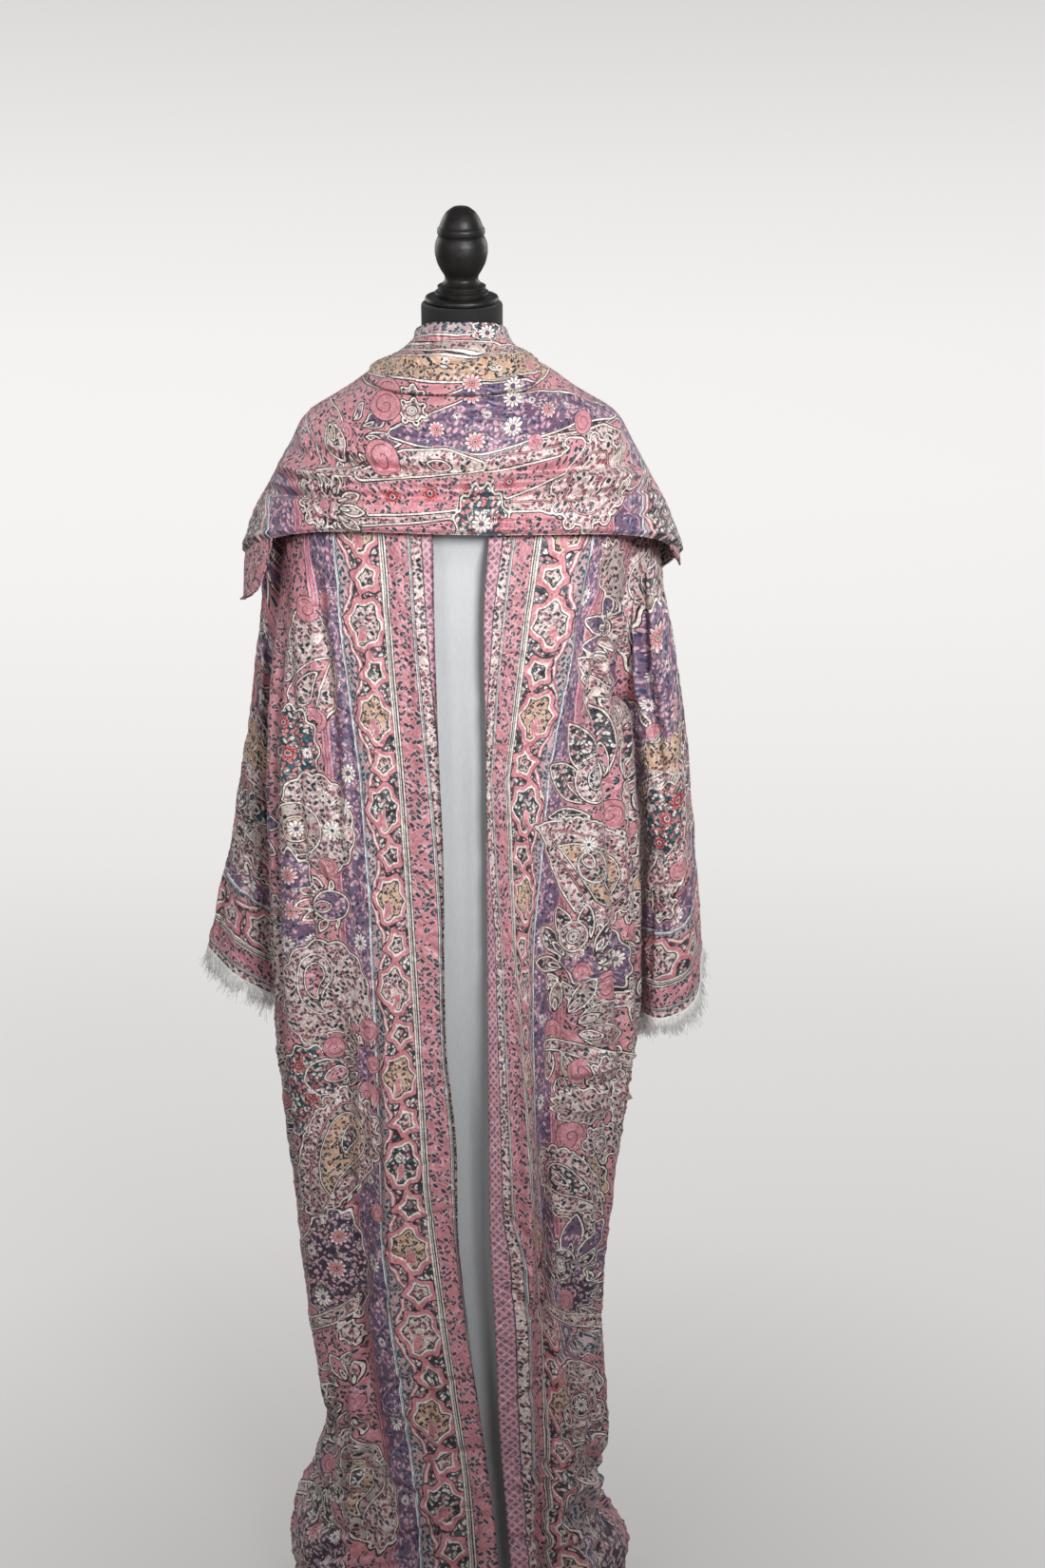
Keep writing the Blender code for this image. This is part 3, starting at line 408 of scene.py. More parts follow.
def crumple(across, down, seed, size, depth, flatten=1.0):
    # Crumpled cloth: sharp low ridges where two sets of waves pass through nought. A small flatten
    # turns the ridges level.
    moved = 0.0 * across
    for i in range(2):
        wave = crinkle(across * flatten, down, seed + 50 * i, size * (1.0 - 0.35 * i), 1.0)
        moved = moved + (0.42 - np.minimum(np.abs(wave) * 1.9, 1.0)) * (1.0 - 0.4 * i)
    return moved * depth


def deeper_below(height, gain, more):
    return gain + more * ease((DEEPER_FROM - height) / DEEPER_SPAN)


def above_hem(height):
    # Creases fade out at the hem, which stays on the floor.
    return ease((height - HEM_CLEAR) / 0.010)


# Shapes of the woven pattern, as signed distances in the piece's flat coordinates (minus is inside).


def sdf_circle(p, x, y, radius):
    return np.hypot(p[..., 0] - x, p[..., 1] - y) - radius


def sdf_strokes(p, centres, radii):
    best = np.full(p.shape[:-1], 9.0)
    for (x, y), radius in zip(centres, radii):
        best = np.minimum(best, np.hypot(p[..., 0] - x, p[..., 1] - y) - radius)
    return best


def paisley_spine(x, y, size, angle, curl, steps=34):
    head = 0.30 * size
    step = 0.86 * size / steps
    centres, radii = [], []
    turn = angle
    for i in range(steps + 1):
        t = i / steps
        centres.append((x, y))
        radii.append(max(head * (1.0 - t) ** 0.85 * (1.0 + 0.25 * t), 0.0035 * min(1.0, size / 0.10)))
        turn += curl * (0.4 + 2.6 * t ** 2) / steps
        x += step * cos(turn)
        y += step * sin(turn)
    return centres, radii


def sdf_paisley(p, x, y, size, angle, curl, lobe):
    centres, radii = paisley_spine(x, y, size, angle, curl)
    made = sdf_strokes(p, centres, radii)
    if lobe:
        # Scallops all round: small circles on the outline.
        count = max(8, int(size * 2.5 / lobe))
        lobes, lobe_radii = [], []
        for i in range(count):
            t = i / count
            index = int(abs(2.0 * t - 1.0) * 0.80 * (len(centres) - 2))
            side = 1.0 if t > 0.5 else -1.0
            (ax, ay), (bx, by) = centres[index], centres[index + 1]
            heading = np.arctan2(by - ay, bx - ax) + side * pi / 2
            if index == 0:
                heading = angle + pi
            lobes.append((ax + radii[index] * cos(heading), ay + radii[index] * sin(heading)))
            lobe_radii.append(lobe * (0.75 if index > 20 else 1.0) * 0.55)
        for i in range(7):
            heading = angle + pi / 2 + pi * (i + 0.5) / 7
            lobes.append((x + radii[0] * cos(heading), y + radii[0] * sin(heading)))
            lobe_radii.append(lobe * 0.58)
        made = np.minimum(made, sdf_strokes(p, lobes, lobe_radii))
    return made


def sdf_leaf(p, x, y, size, angle, wide=0.36):
    # A pointed leaf between two arcs.
    u = (p[..., 0] - x) * cos(angle) + (p[..., 1] - y) * sin(angle)
    v = np.abs((p[..., 1] - y) * cos(angle) - (p[..., 0] - x) * sin(angle))
    half, bulge = size / 2, size * wide / 2
    radius = (half ** 2 + bulge ** 2) / (2.0 * bulge)
    return np.hypot(u - half, v + radius - bulge) - radius


def sdf_polygon(p, corners):
    x, y = p[..., 0], p[..., 1]
    best = np.full(x.shape, np.inf)
    inside = np.zeros(x.shape, dtype=bool)
    for (ax, ay), (bx, by) in zip(corners, corners[1:] + corners[:1]):
        ex, ey = bx - ax, by - ay
        wx, wy = x - ax, y - ay
        t = np.clip((wx * ex + wy * ey) / (ex * ex + ey * ey), 0.0, 1.0)
        best = np.minimum(best, (wx - ex * t) ** 2 + (wy - ey * t) ** 2)
        cross = ex * wy - ey * wx
        inside ^= ((ay <= y) & (by > y) & (cross > 0)) | ((ay > y) & (by <= y) & (cross < 0))
    return np.where(inside, -np.sqrt(best), np.sqrt(best))


PINK, CREAM, PURPLE, DARK, TAN, LATTICE, TEAL, GREY, SPRIG, PLUM = range(10)
KINDS = 10
STAR_PINK, STAR_CREAM, DAISY, CURL, STAR_RED, STAR_GREY = 1.0, 2.0, 3.0, 4.0, 5.0, 6.0
OUTLINE = 0.0014
# Distance that stands for no figure
FAR = 0.05
# A lotus's petals: turn from its middle, share of its size
PETALS = ((-1.55, 0.62), (1.55, 0.62), (-0.95, 0.84), (0.95, 0.84), (-0.42, 0.95), (0.42, 0.95), (0.0, 1.0))


def figures(p, rows, band):
    # Two sheets of figures over each other, (distance, kind, echo) for the large ones and (distance,
    # kind, place in the border) for those on them, and (p, q, type) about the nearest rosette. Each
    # figure covers what was drawn before it.
    shape = p.shape[:-1]
    large = np.stack([np.full(shape, FAR), np.zeros(shape), np.zeros(shape)], axis=-1)
    small = np.stack([np.full(shape, FAR), np.zeros(shape), band], axis=-1)
    spot = np.full(shape + (3,), 9.0)

    def put(sheet, x, y, reach, form, kind, echo=None):
        near = (np.abs(p[..., 0] - x) < reach) & (np.abs(p[..., 1] - y) < reach)
        if not near.any():
            return
        distance = form(p[near])
        own = sheet[near]
        over = distance < OUTLINE
        own[:, 0] = np.where(over, distance, np.minimum(own[:, 0], distance))
        own[:, 1] = np.where(over, kind, own[:, 1])
        if echo is not None:
            own[:, 2] = np.where(over, echo, own[:, 2])
        sheet[near] = own
        if sheet is large:
            inside = small[near]
            inside[distance < 0.0, 0] = FAR
            small[near] = inside
        cleared = spot[near]
        cleared[distance < OUTLINE] = 9.0
        spot[near] = cleared

    def rosette(x, y, radius, kind, spin=0.0):
        u, v = p[..., 0] - x, p[..., 1] - y
        near = np.hypot(u, v) < radius + 0.006
        spot[near, 0] = (u * cos(spin) + v * sin(spin))[near] / radius
        spot[near, 1] = (v * cos(spin) - u * sin(spin))[near] / radius
        spot[near, 2] = kind

    for row in rows:
        form, x, y, size, angle = row[:5]
        if form == "paisley":
            curl, kind, inner, lobe = row[5:9]
            put(large, x, y, size + 0.02, lambda q: sdf_paisley(q, x, y, size, angle, curl, lobe), kind,
                1.0 if lobe else 0.0)
            if inner is not None:
                cx, cy = x + 0.03 * size * cos(angle), y + 0.03 * size * sin(angle)
                put(small, x, y, size,
                    lambda q: sdf_paisley(q, cx, cy, 0.60 * size, angle, curl * 0.9, 0.0), inner)
                if size > 0.10:
                    put(small, x, y, size * 0.5,
                        lambda q: sdf_paisley(q, x, y, 0.24 * size, angle, curl * 0.9, 0.0), DARK)
        elif form == "round":
            kind, inner, lobe = row[5:8]
            around = [angle + 2.0 * pi * i / lobe for i in range(lobe)]
            centres = [(x, y)] + [(x + size * cos(a), y + size * sin(a)) for a in around]
            radii = [size] + [size * 2.3 / max(lobe, 1)] * lobe
            put(large, x, y, size * 1.6 + 0.02, lambda q: sdf_strokes(q, centres, radii), kind,
                1.0 if lobe else 0.0)
            if inner is not None:
                put(small, x, y, size, lambda q: sdf_circle(q, x, y, size * 0.50), inner)
                rosette(x, y, size * 0.34, STAR_CREAM, angle)
        elif form == "lotus":
            kind, leaf = row[5:7]
            for turn, part in PETALS:
                reach, way = size * part, angle + turn
                cx, cy = x + reach / 2 * cos(way), y + reach / 2 * sin(way)
                put(large, cx, cy, reach, lambda q: sdf_leaf(q, cx, cy, reach, way, 0.44), kind, 0.0)
                put(small, cx, cy, reach, lambda q: sdf_leaf(q, cx, cy, reach * 0.52, way, 0.36), leaf)
            rosette(x, y, size * 0.20, CURL, angle)
        elif form == "eye":
            # A boteh on a leaf: cream, tan and dark, one in the other
            put(large, x, y, size + 0.02, lambda q: sdf_leaf(q, x, y, size, angle, 0.80), row[5], 0.0)
            put(small, x, y, size, lambda q: sdf_leaf(q, x, y, size * 0.56, angle, 0.62), row[6])
        elif form == "area":
            # A flowered ground that fills the room round (x, y)
            kind, wide = row[5:7]
            u, v = cos(angle), sin(angle)

            def room(q):
                a = (q[..., 0] - x) * u + (q[..., 1] - y) * v
                b = (q[..., 1] - y) * u - (q[..., 0] - x) * v
                lobes = row[8] if len(row) > 8 else 0
                around = np.arctan2(b / wide, a)
                if lobes:
                    ripple = 0.26 * size * wide / lobes ** 0.5 * (
                        0.6 - np.abs(np.cos(around * lobes / 2.0)))
                else:
                    ripple = 0.0025 * np.cos(12.0 * around)
                return (np.sqrt(a ** 2 + (b / wide) ** 2) - size) * min(wide, 1.0) + ripple
            put(large, x, y, size * max(wide, 1.0) + 0.02, room, kind, 0.0)
            for a, b, r, flower in row[7]:
                rosette(x + size * (a * u - b * wide * v), y + size * (a * v + b * wide * u), r, flower, a)
        elif form == "ribbon":
            # A long soft shape through (x, y, radius) points
            points = np.array(row[7])
            t = np.linspace(0.0, len(points) - 1.0, 14 * len(points))
            centres = np.stack([np.interp(t, np.arange(len(points)), points[:, i]) for i in range(3)], -1)
            put(large, x, y, size, lambda q: sdf_strokes(q, centres[:, :2], centres[:, 2]), row[5], row[6])
        elif form == "strip":
            # A wavy strip across: its middle at y, its half-height size, rising by angle
            kind, wave, amount, echo = row[5:9]

            def strip(q):
                middle = y + (q[..., 0] - x) * angle + amount * np.sin(q[..., 0] * wave + 9.0 * y)
                return np.abs(q[..., 1] - middle) - size
            put(large, x, y, 2.0, strip, kind, echo)
        elif form == "leaf":
            put(small, x, y, size + 0.01, lambda q: sdf_leaf(q, x, y, size, angle, 0.42), row[5])
        elif form == "rosette":
            rosette(x, y, size, row[5], angle)
        elif form == "cartouche":
            corners = [(x + size * (u * cos(angle) - v * sin(angle)),
                        y + size * (u * sin(angle) + v * cos(angle))) for u, v in row[6]]
            put(small, x, y, size * 1.5 + 0.01, lambda q: sdf_polygon(q, corners) - 0.0012, row[5])
    return large, small, spot


# A lobed boteh with a hooked foot, and a pointed one, for the dark border
LOBED = ((-0.22, -1.02), (0.22, -0.76), (0.66, -0.80), (0.70, -0.40), (1.02, -0.02), (0.74, 0.34),
         (0.50, 0.50), (0.34, 0.92), (-0.12, 1.00), (-0.36, 0.70), (-0.80, 0.58), (-0.82, 0.18),
         (-1.02, -0.16), (-0.62, -0.44), (-0.58, -0.78))
HOOKED = ((-0.78, -0.88), (0.05, -0.58), (0.82, -0.80), (0.72, -0.15), (0.98, 0.42), (0.34, 0.56),
          (-0.12, 1.00), (-0.42, 0.42), (-0.92, 0.12), (-0.58, -0.36))
BORDER_REPEAT = 0.106
FIELD_REPEAT = 0.198


def border_rows(length, mirror=1.0):
    # Figures of the border: lobed and hooked botehs by turns, and rosettes in the purple band.
    rows = []
    kinds = (DARK, TAN, CREAM, TAN)
    for i in range(int(length / BORDER_REPEAT) + 1):
        down = (i + 0.5) * BORDER_REPEAT
        lobed = [(mirror * u, v * 1.15) for u, v in LOBED]
        hooked = [(u, v * (mirror if i % 3 else -mirror)) for u, v in HOOKED]
        tilt = 0.22 * sin(2.3 * i)
        rows.append(("cartouche", 0.0935, down, 0.0275, tilt, kinds[i % 4], lobed))
        rows.append(("leaf", 0.0935, down, 0.021, 1.4 + tilt, PINK if i % 2 else CREAM))
        rows.append(("cartouche", 0.0865, down + 0.5 * BORDER_REPEAT, 0.0205, 0.8 - tilt,
                     CREAM if i % 2 else DARK, hooked))
    for i in range(int(length / FIELD_REPEAT) + 1):
        down = (i + 0.20) * FIELD_REPEAT
        rows.append(("rosette", 0.1440, down, 0.0125, 0.0, STAR_CREAM))
        rows.append(("rosette", 0.1440, down + 0.095, 0.0075, 0.0, DAISY))
    return rows


# Flowers of a flowered ground: two places in it, radius, type
FLOWERS = ((0.0, 0.0, 0.0110, STAR_RED), (0.62, 0.25, 0.0080, STAR_PINK),
           (-0.58, -0.30, 0.0085, STAR_RED), (-0.15, 0.62, 0.0070, DAISY), (0.25, -0.62, 0.0070, DAISY))
STARS = ((0.0, 0.05, 0.0150, STAR_PINK), (0.55, -0.30, 0.0130, STAR_CREAM),
         (-0.55, 0.10, 0.0130, STAR_PINK), (0.50, 0.50, 0.0080, DAISY), (-0.20, -0.60, 0.0080, DAISY),
         (-0.75, -0.45, 0.0070, DAISY))


def boteh_unit(x, y, flip=1.0):
    # A repeat of the field with a large lobed boteh, a flowered ground and curls
    return [
        ("area", x + 0.060, y + flip * 0.160, 0.048, 0.1, TEAL, 0.75, FLOWERS),
        ("area", x + 0.165, y + flip * 0.055, 0.075, 0.3, PURPLE, 0.62, STARS),
        ("lotus", x + 0.150, y + flip * 0.165, 0.058, flip * -1.3, DARK, CREAM),
        ("paisley", x + 0.048, y + flip * 0.108, 0.178, flip * -1.95, flip * 1.3, CREAM, GREY, 0.017),
        ("paisley", x + 0.104, y + flip * 0.050, 0.075, flip * 1.9, flip * -1.2, PINK, CREAM, 0.0),
        ("round", x - 0.008, y + flip * 0.020, 0.017, 0.3, GREY, None, 7),
        ("rosette", x + 0.030, y - flip * 0.006, 0.0125, 0.5, CURL),
        ("rosette", x + 0.012, y + flip * 0.142, 0.0125, 2.5, CURL),
        ("paisley", x + 0.245, y + flip * 0.125, 0.150, flip * 1.7, flip * 1.5, GREY, TAN, 0.016),
        ("rosette", x + 0.205, y + flip * 0.150, 0.0130, 1.5, CURL),
        ("eye", x + 0.290, y + flip * 0.020, 0.050, 0.6, CREAM, DARK),
    ]


def lotus_unit(x, y, flip=1.0, ground=DARK):
    # A repeat of the field with a lotus and a lobed swirl on the pink ground
    return [
        ("lotus", x + 0.058, y + flip * 0.100, 0.060, flip * 2.55, ground, CREAM),
        ("paisley", x + 0.050, y + flip * 0.012, 0.150, flip * 0.35, flip * 1.6,
         CREAM if ground == DARK else GREY, TAN, 0.016),
        ("round", x + 0.018, y + flip * 0.030, 0.019, 0.4, CREAM, PINK, 8),
        ("rosette", x + 0.022, y + flip * 0.062, 0.0125, 0.5, CURL),
        ("eye", x + 0.096, y + flip * 0.140, 0.046, 0.9, CREAM, TEAL),
        ("area", x + 0.160, y + flip * 0.130, 0.055, 0.4, TEAL, 0.80, FLOWERS),
        ("paisley", x + 0.190, y + flip * 0.050, 0.150, flip * -1.1, flip * 1.5, PURPLE, PINK, 0.0),
        ("rosette", x + 0.130, y + flip * 0.075, 0.0130, 1.5, CURL),
        ("paisley", x + 0.265, y + flip * 0.140, 0.140, flip * 1.9, flip * -1.4, CREAM, TAN, 0.016),
        ("rosette", x + 0.300, y + flip * 0.040, 0.0140, 0.5, STAR_PINK),
    ]


def field_rows(left, right, top, foot, start=0):
    # The repeats of the field, the two kinds by turns
    rows = []
    across, column = left, start
    while across < right:
        down, i = top + (0.5 * FIELD_REPEAT if column % 2 else 0.0), column
        while down < foot:
            if (i + column) % 2:
                rows += lotus_unit(across, down, 1.0, PURPLE if i % 3 else DARK)
            else:
                rows += boteh_unit(across, down)
            down += FIELD_REPEAT
            i += 1
        across += 0.330
        column += 1
    return rows


def scatter(left, right, top, foot, seed):
    # Small flowers, leaves and lobed grounds that fill the field between its large figures
    rng = np.random.default_rng(seed)
    rows, line = [], 0
    y = top
    while y < foot:
        x = left + (0.042 if line % 2 else 0.0)
        while x < right:
            pick, angle = rng.random(), rng.uniform(-pi, pi)
            px, py, size = x + rng.normal(0.0, 0.009), y + rng.normal(0.0, 0.009), rng.uniform(0.85, 1.2)
            kind = int(rng.choice((CREAM, GREY, TEAL, PURPLE, SPRIG, TAN)))
            if pick < 0.26:
                rows.append(("area", px, py, 0.036 * size, angle, kind, 0.75, (), 8))
            elif pick < 0.50:
                rows.append(("eye", px, py, 0.050 * size, angle, kind, PINK if kind != PURPLE else CREAM))
            elif pick < 0.68:
                rows.append(("lotus", px, py, 0.050 * size, angle, kind, CREAM))
            elif pick < 0.86:
                flower = int(rng.choice((CURL, STAR_PINK, STAR_GREY)))
                rows.append(("rosette", px, py, 0.0125 * size, angle, flower))
            else:
                rows.append(("round", px, py, 0.021 * size, angle, kind, None, 8))
            x += 0.084
        y += 0.066
        line += 1
    return rows


# Meshes


def smooth_mesh(name, verts, faces, material, sharp=None):
    mesh = bpy.data.meshes.new(name)
    mesh.from_pydata(verts, [], faces)
    mesh.polygons.foreach_set("use_smooth", [True] * len(mesh.polygons))
    if sharp is not None:
        mesh.set_sharp_from_angle(angle=radians(sharp))
    mesh.materials.append(material)
    mesh.update()
    return mesh


def shown(name, data):
    obj = bpy.data.objects.new(name, data)
    bpy.context.scene.collection.objects.link(obj)
    return obj


def riding(mesh):
    obj = shown(mesh.name, mesh)
    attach(obj, "root")
    return obj


def tube_faces(rings, sides, flip):
    # Faces between rings of points, and one across each end; flip turns the two ends round.
    faces = []
    for r in range(rings - 1):
        for s in range(sides):
            t = (s + 1) % sides
            faces.append((r * sides + s, r * sides + t, (r + 1) * sides + t, (r + 1) * sides + s))
    first = tuple(range(sides))
    last = tuple((rings - 1) * sides + s for s in range(sides))
    faces.append(first[::-1] if flip else first)
    faces.append(last if flip else last[::-1])
    return faces


def face_sheet(title, values):
    # Kinds hold over a whole face; distances and places run on.
    kind = 2 if title == "spot" else 1
    values[..., kind] = values[:, :1, kind]
    if title == "large":
        values[..., 2] = values[:, :1, 2]
    return values


def grid_piece(name, points, outward, thick, closed, flat, sheets, material):
    # A thin shell with rounded rims from a grid of points; flat is the pattern's coordinates, sheets
    # the figure attributes. On a closed grid the last column repeats the first.
    rows, columns = points.shape[:2]
    wide = columns - 1 if closed else columns
    count = rows * wide
    inside_points = points - outward * thick
    verts = [points[:, :wide].reshape(-1, 3), inside_points[:, :wide].reshape(-1, 3)]
    r, c = np.meshgrid(np.arange(rows - 1), np.arange(columns - 1), indexing="ij")
    r, c = r.ravel(), c.ravel()
    d = c + 1
    quads = np.stack([r * wide + c % wide, r * wide + d % wide,
                      (r + 1) * wide + d % wide, (r + 1) * wide + c % wide], 1)
    cells = np.stack([r * columns + c, r * columns + d, (r + 1) * columns + d, (r + 1) * columns + c], 1)
    place = np.stack([(cells % columns) / (columns - 1.0), (cells // columns) / (rows - 1.0)], -1)
    faces = [quads, quads[:, ::-1] + count]
    corners = [cells, cells[:, ::-1]]
    bake = [place * FACE_SIZE + OUTER_CORNER, (place * FACE_SIZE + INNER_CORNER)[:, ::-1]]

    # The rims: a line of points half-way through the cloth, a little beyond its edge
    borders = [(np.arange(columns), 0, "row"), (np.arange(columns), rows - 1, "row")]
    if not closed:
        borders += [(np.arange(rows), 0, "column"), (np.arange(rows), columns - 1, "column")]
    used = 2 * count
    for index, (line, at, kind) in enumerate(borders):
        if kind == "row":
            own, grid = at * wide + line % wide, at * columns + line
            inside = points[1 if at == 0 else rows - 2][line]
            edge, edge_out = points[at][line], outward[at][line]
        else:
            own, grid = line * wide + at, line * columns + at
            inside = points[line, 1 if at == 0 else columns - 2]
            edge, edge_out = points[line, at], outward[line, at]
        away = unit(edge - inside)
        away = unit(away - edge_out * (away * edge_out).sum(-1, keepdims=True))
        verts.append(edge - edge_out * (thick / 2) + away * (thick * 0.45))
        extra = used + np.arange(len(line))
        if closed:
            extra[-1] = used
        used += len(line)
        flip = (kind == "row") == (at == 0)
        t = np.arange(len(line)) / (len(line) - 1.0) * 0.97 + 0.01
        for low, high, shift in ((own, extra, 0.0), (extra, own + count, RIM_HALF)):
            quad = np.stack([low[1:], low[:-1], high[:-1], high[1:]], 1)
            cell = np.stack([grid[1:], grid[:-1], grid[:-1], grid[1:]], 1)
            bottom = np.full(len(line) - 1, RIM_LEVEL + RIM_PITCH * index + shift)
            top = bottom + RIM_HEIGHT
            uv = np.stack([np.stack([t[1:], t[:-1], t[:-1], t[1:]], 1),
                           np.stack([bottom, bottom, top, top], 1)], -1)
            if flip:
                quad, cell, uv = quad[:, ::-1], cell[:, ::-1], uv[:, ::-1]
            faces.append(quad)
            corners.append(cell)
            bake.append(uv)

    # Points that no face uses, such as a closed rim's last one, are left out.
    verts, faces, corners, bake = (np.concatenate(part) for part in (verts, faces, corners, bake))
    kept, inverse = np.unique(faces, return_inverse=True)
    faces = inverse.reshape(faces.shape)
    obj = riding(smooth_mesh(name, verts[kept].tolist(), faces.tolist(), material))
    mesh = obj.data
    if flat is not None:
        layer = mesh.uv_layers.new(name="Cloth")
        layer.data.foreach_set("uv", flat.reshape(-1, 2)[corners.ravel()].astype(np.float32).ravel())
    layer = mesh.uv_layers.new(name="OFBake")
    layer.data.foreach_set("uv", bake.reshape(-1, 2).astype(np.float32).ravel())
    for title, sheet in sheets.items():
        attribute = mesh.attributes.new(title, "FLOAT_VECTOR", "CORNER")
        values = face_sheet(title, sheet.reshape(-1, 3)[corners])
        attribute.data.foreach_set("vector", values.astype(np.float32).ravel())
    return obj


def shell_normals(points, sign_like, closed):
    # Normals of the grid itself, on the side that sign_like points to.
    if closed:
        ring = np.concatenate([points[:, -2:-1], points, points[:, 1:2]], axis=1)
        across = ring[:, 2:] - ring[:, :-2]
    else:
        across = np.gradient(points, axis=1)
    down = np.gradient(points, axis=0)
    made = unit(np.cross(across, down))
    return np.where((made * sign_like).sum(-1, keepdims=True) > 0.0, made, -made)


def cloth_piece(name, points, outward, thick, closed, flat, rows, band):
    # A shell of the paisley cloth with its figures.
    sheets = dict(zip(("large", "small", "spot"), figures(flat, rows, band)))
    out = shell_normals(points, outward, closed)
    return grid_piece(name, points, out, thick, closed, flat, sheets, paisley)


# Materials


def tone(code):
    values = [int(code[i:i + 2], 16) / 255.0 for i in (0, 2, 4)]
    return tuple(v / 12.92 if v <= 0.04045 else ((v + 0.055) / 1.055) ** 2.4 for v in values)


class Value:
    # A number in a node tree, with arithmetic.
    def __init__(self, graph, socket):
        self.graph, self.socket = graph, socket

    def __add__(self, other):
        return self.graph.math("ADD", self, other)

    def __sub__(self, other):
        return self.graph.math("SUBTRACT", self, other)

    def __rsub__(self, other):
        return self.graph.math("SUBTRACT", other, self)

    def __mul__(self, other):
        return self.graph.math("MULTIPLY", self, other)

    def __truediv__(self, other):
        return self.graph.math("DIVIDE", self, other)

    def __lt__(self, other):
        return self.graph.math("LESS_THAN", self, other)

    def __gt__(self, other):
        return self.graph.math("GREATER_THAN", self, other)


class Graph:
    def __init__(self, name):
        self.material = bpy.data.materials.new(name)
        self.material.use_nodes = True
        self.tree = self.material.node_tree
        self.shader = self.tree.nodes["Principled BSDF"]

    def node(self, kind, inputs=(), **settings):
        made = self.tree.nodes.new("ShaderNode" + kind)
        for key, value in settings.items():
            setattr(made, key, value)
        for key, value in dict(inputs).items():
            self.put(made.inputs[key], value)
        return made

    def put(self, socket, value):
        if isinstance(value, Value):
            value = value.socket
        if isinstance(value, bpy.types.NodeSocket):
            self.tree.links.new(value, socket)
        elif isinstance(value, tuple) and len(value) == 3 and socket.type == "RGBA":
            socket.default_value = (*value, 1.0)
        else:
            socket.default_value = value

    def math(self, operation, *values, clamp=False):
        made = self.node("Math", dict(enumerate(values)), operation=operation)
        made.use_clamp = clamp
        return Value(self, made.outputs[0])

    def vector(self, operation, *values, output=0, **settings):
        made = self.node("VectorMath", dict(enumerate(values)), operation=operation, **settings)
        return Value(self, made.outputs[output])

    def combine(self, x, y, z=0.0):
        return self.node("CombineXYZ", {0: x, 1: y, 2: z}).outputs[0]

    def split(self, vector):
        made = self.node("SeparateXYZ", {0: vector})
        return [Value(self, made.outputs[i]) for i in range(3)]

    def ramp(self, value, low, high, stops, mode="CONSTANT"):
        # stops: (value, colour code, alpha); the colour holds from its value to the next one's.
        if (low, high) != (0, 1):
            value = (value - low) * (1.0 / (high - low))
        made = self.node("ValToRGB", {0: value})
        ramp = made.color_ramp
        ramp.interpolation = mode
        for i, stop in enumerate(stops):
            at = min(max((stop[0] - low) / (high - low), 0.0), 1.0)
            element = ramp.elements[i] if i < 2 else ramp.elements.new(at)
            element.position = at
            colour = tone(stop[1]) if isinstance(stop[1], str) else (stop[1],) * 3
            element.color = (*colour, stop[2] if len(stop) > 2 else 1.0)
        return made.outputs[0], Value(self, made.outputs[1])

    def noise(self, place, scale, detail, flat=False, **more):
        # Uneven values about one half; flat is for a place in the cloth's plane.
        settings = {"noise_dimensions": "2D"} if flat else {}
        made = self.node("TexNoise", {"Vector": place, "Scale": scale, "Detail": detail, **more},
                         **settings)
        return Value(self, made.outputs[0])

    def surface(self, title, value):
        self.put(self.shader.inputs[title], value)

    def relief(self, height, strength):
        made = self.node("Bump", {"Height": height, "Strength": strength, "Distance": 1.0})
        self.surface("Normal", made.outputs[0])

    def mix(self, factor, low, high):
        made = self.node("Mix", {0: factor, 6: low, 7: high}, data_type="RGBA")
        return made.outputs[2]

    def choose(self, factor, low, high):
        made = self.node("Mix", {0: factor, 2: low, 3: high}, data_type="FLOAT")
        return Value(self, made.outputs[0])


LINE = "2B2329"
PALE_PINK = "D79FA4"
PALE_CREAM = "EBE1DA"
# Ground, share of its other colour, other colour, two colours of leaf flecks, share of cells with one
KIND_COLOURS = (
    ("CF949B", 0.26, "DDB0B4", "23434D", "4B4150", 0.60),
    ("E2D7D1", 0.40, "CBAFAF", "1F3139", "8A5561", 0.80),
    ("6B566C", 0.36, "8B7189", "D6B2BA", "37435E", 0.74),
    ("26262C", 0.30, "505157", "E6DFD9", "CC9AA0", 0.84),
    ("CCA88F", 0.36, "E0C9B9", "22383F", "6E4648", 0.80),
    ("B88A95", 0.25, "A0818F", "4C5470", "C298A2", 0.30),
    ("35545F", 0.36, "273842", "D48E90", "E8DAD2", 0.90),
    ("B8B0AA", 0.38, "CBB2AD", "23313A", "84525E", 0.82),
    ("C99DA2", 0.36, "B4AEB0", "24505B", "323E48", 0.82),
    ("352B3B", 0.36, "564254", "DDB6BC", "BFAFB5", 0.80),
)


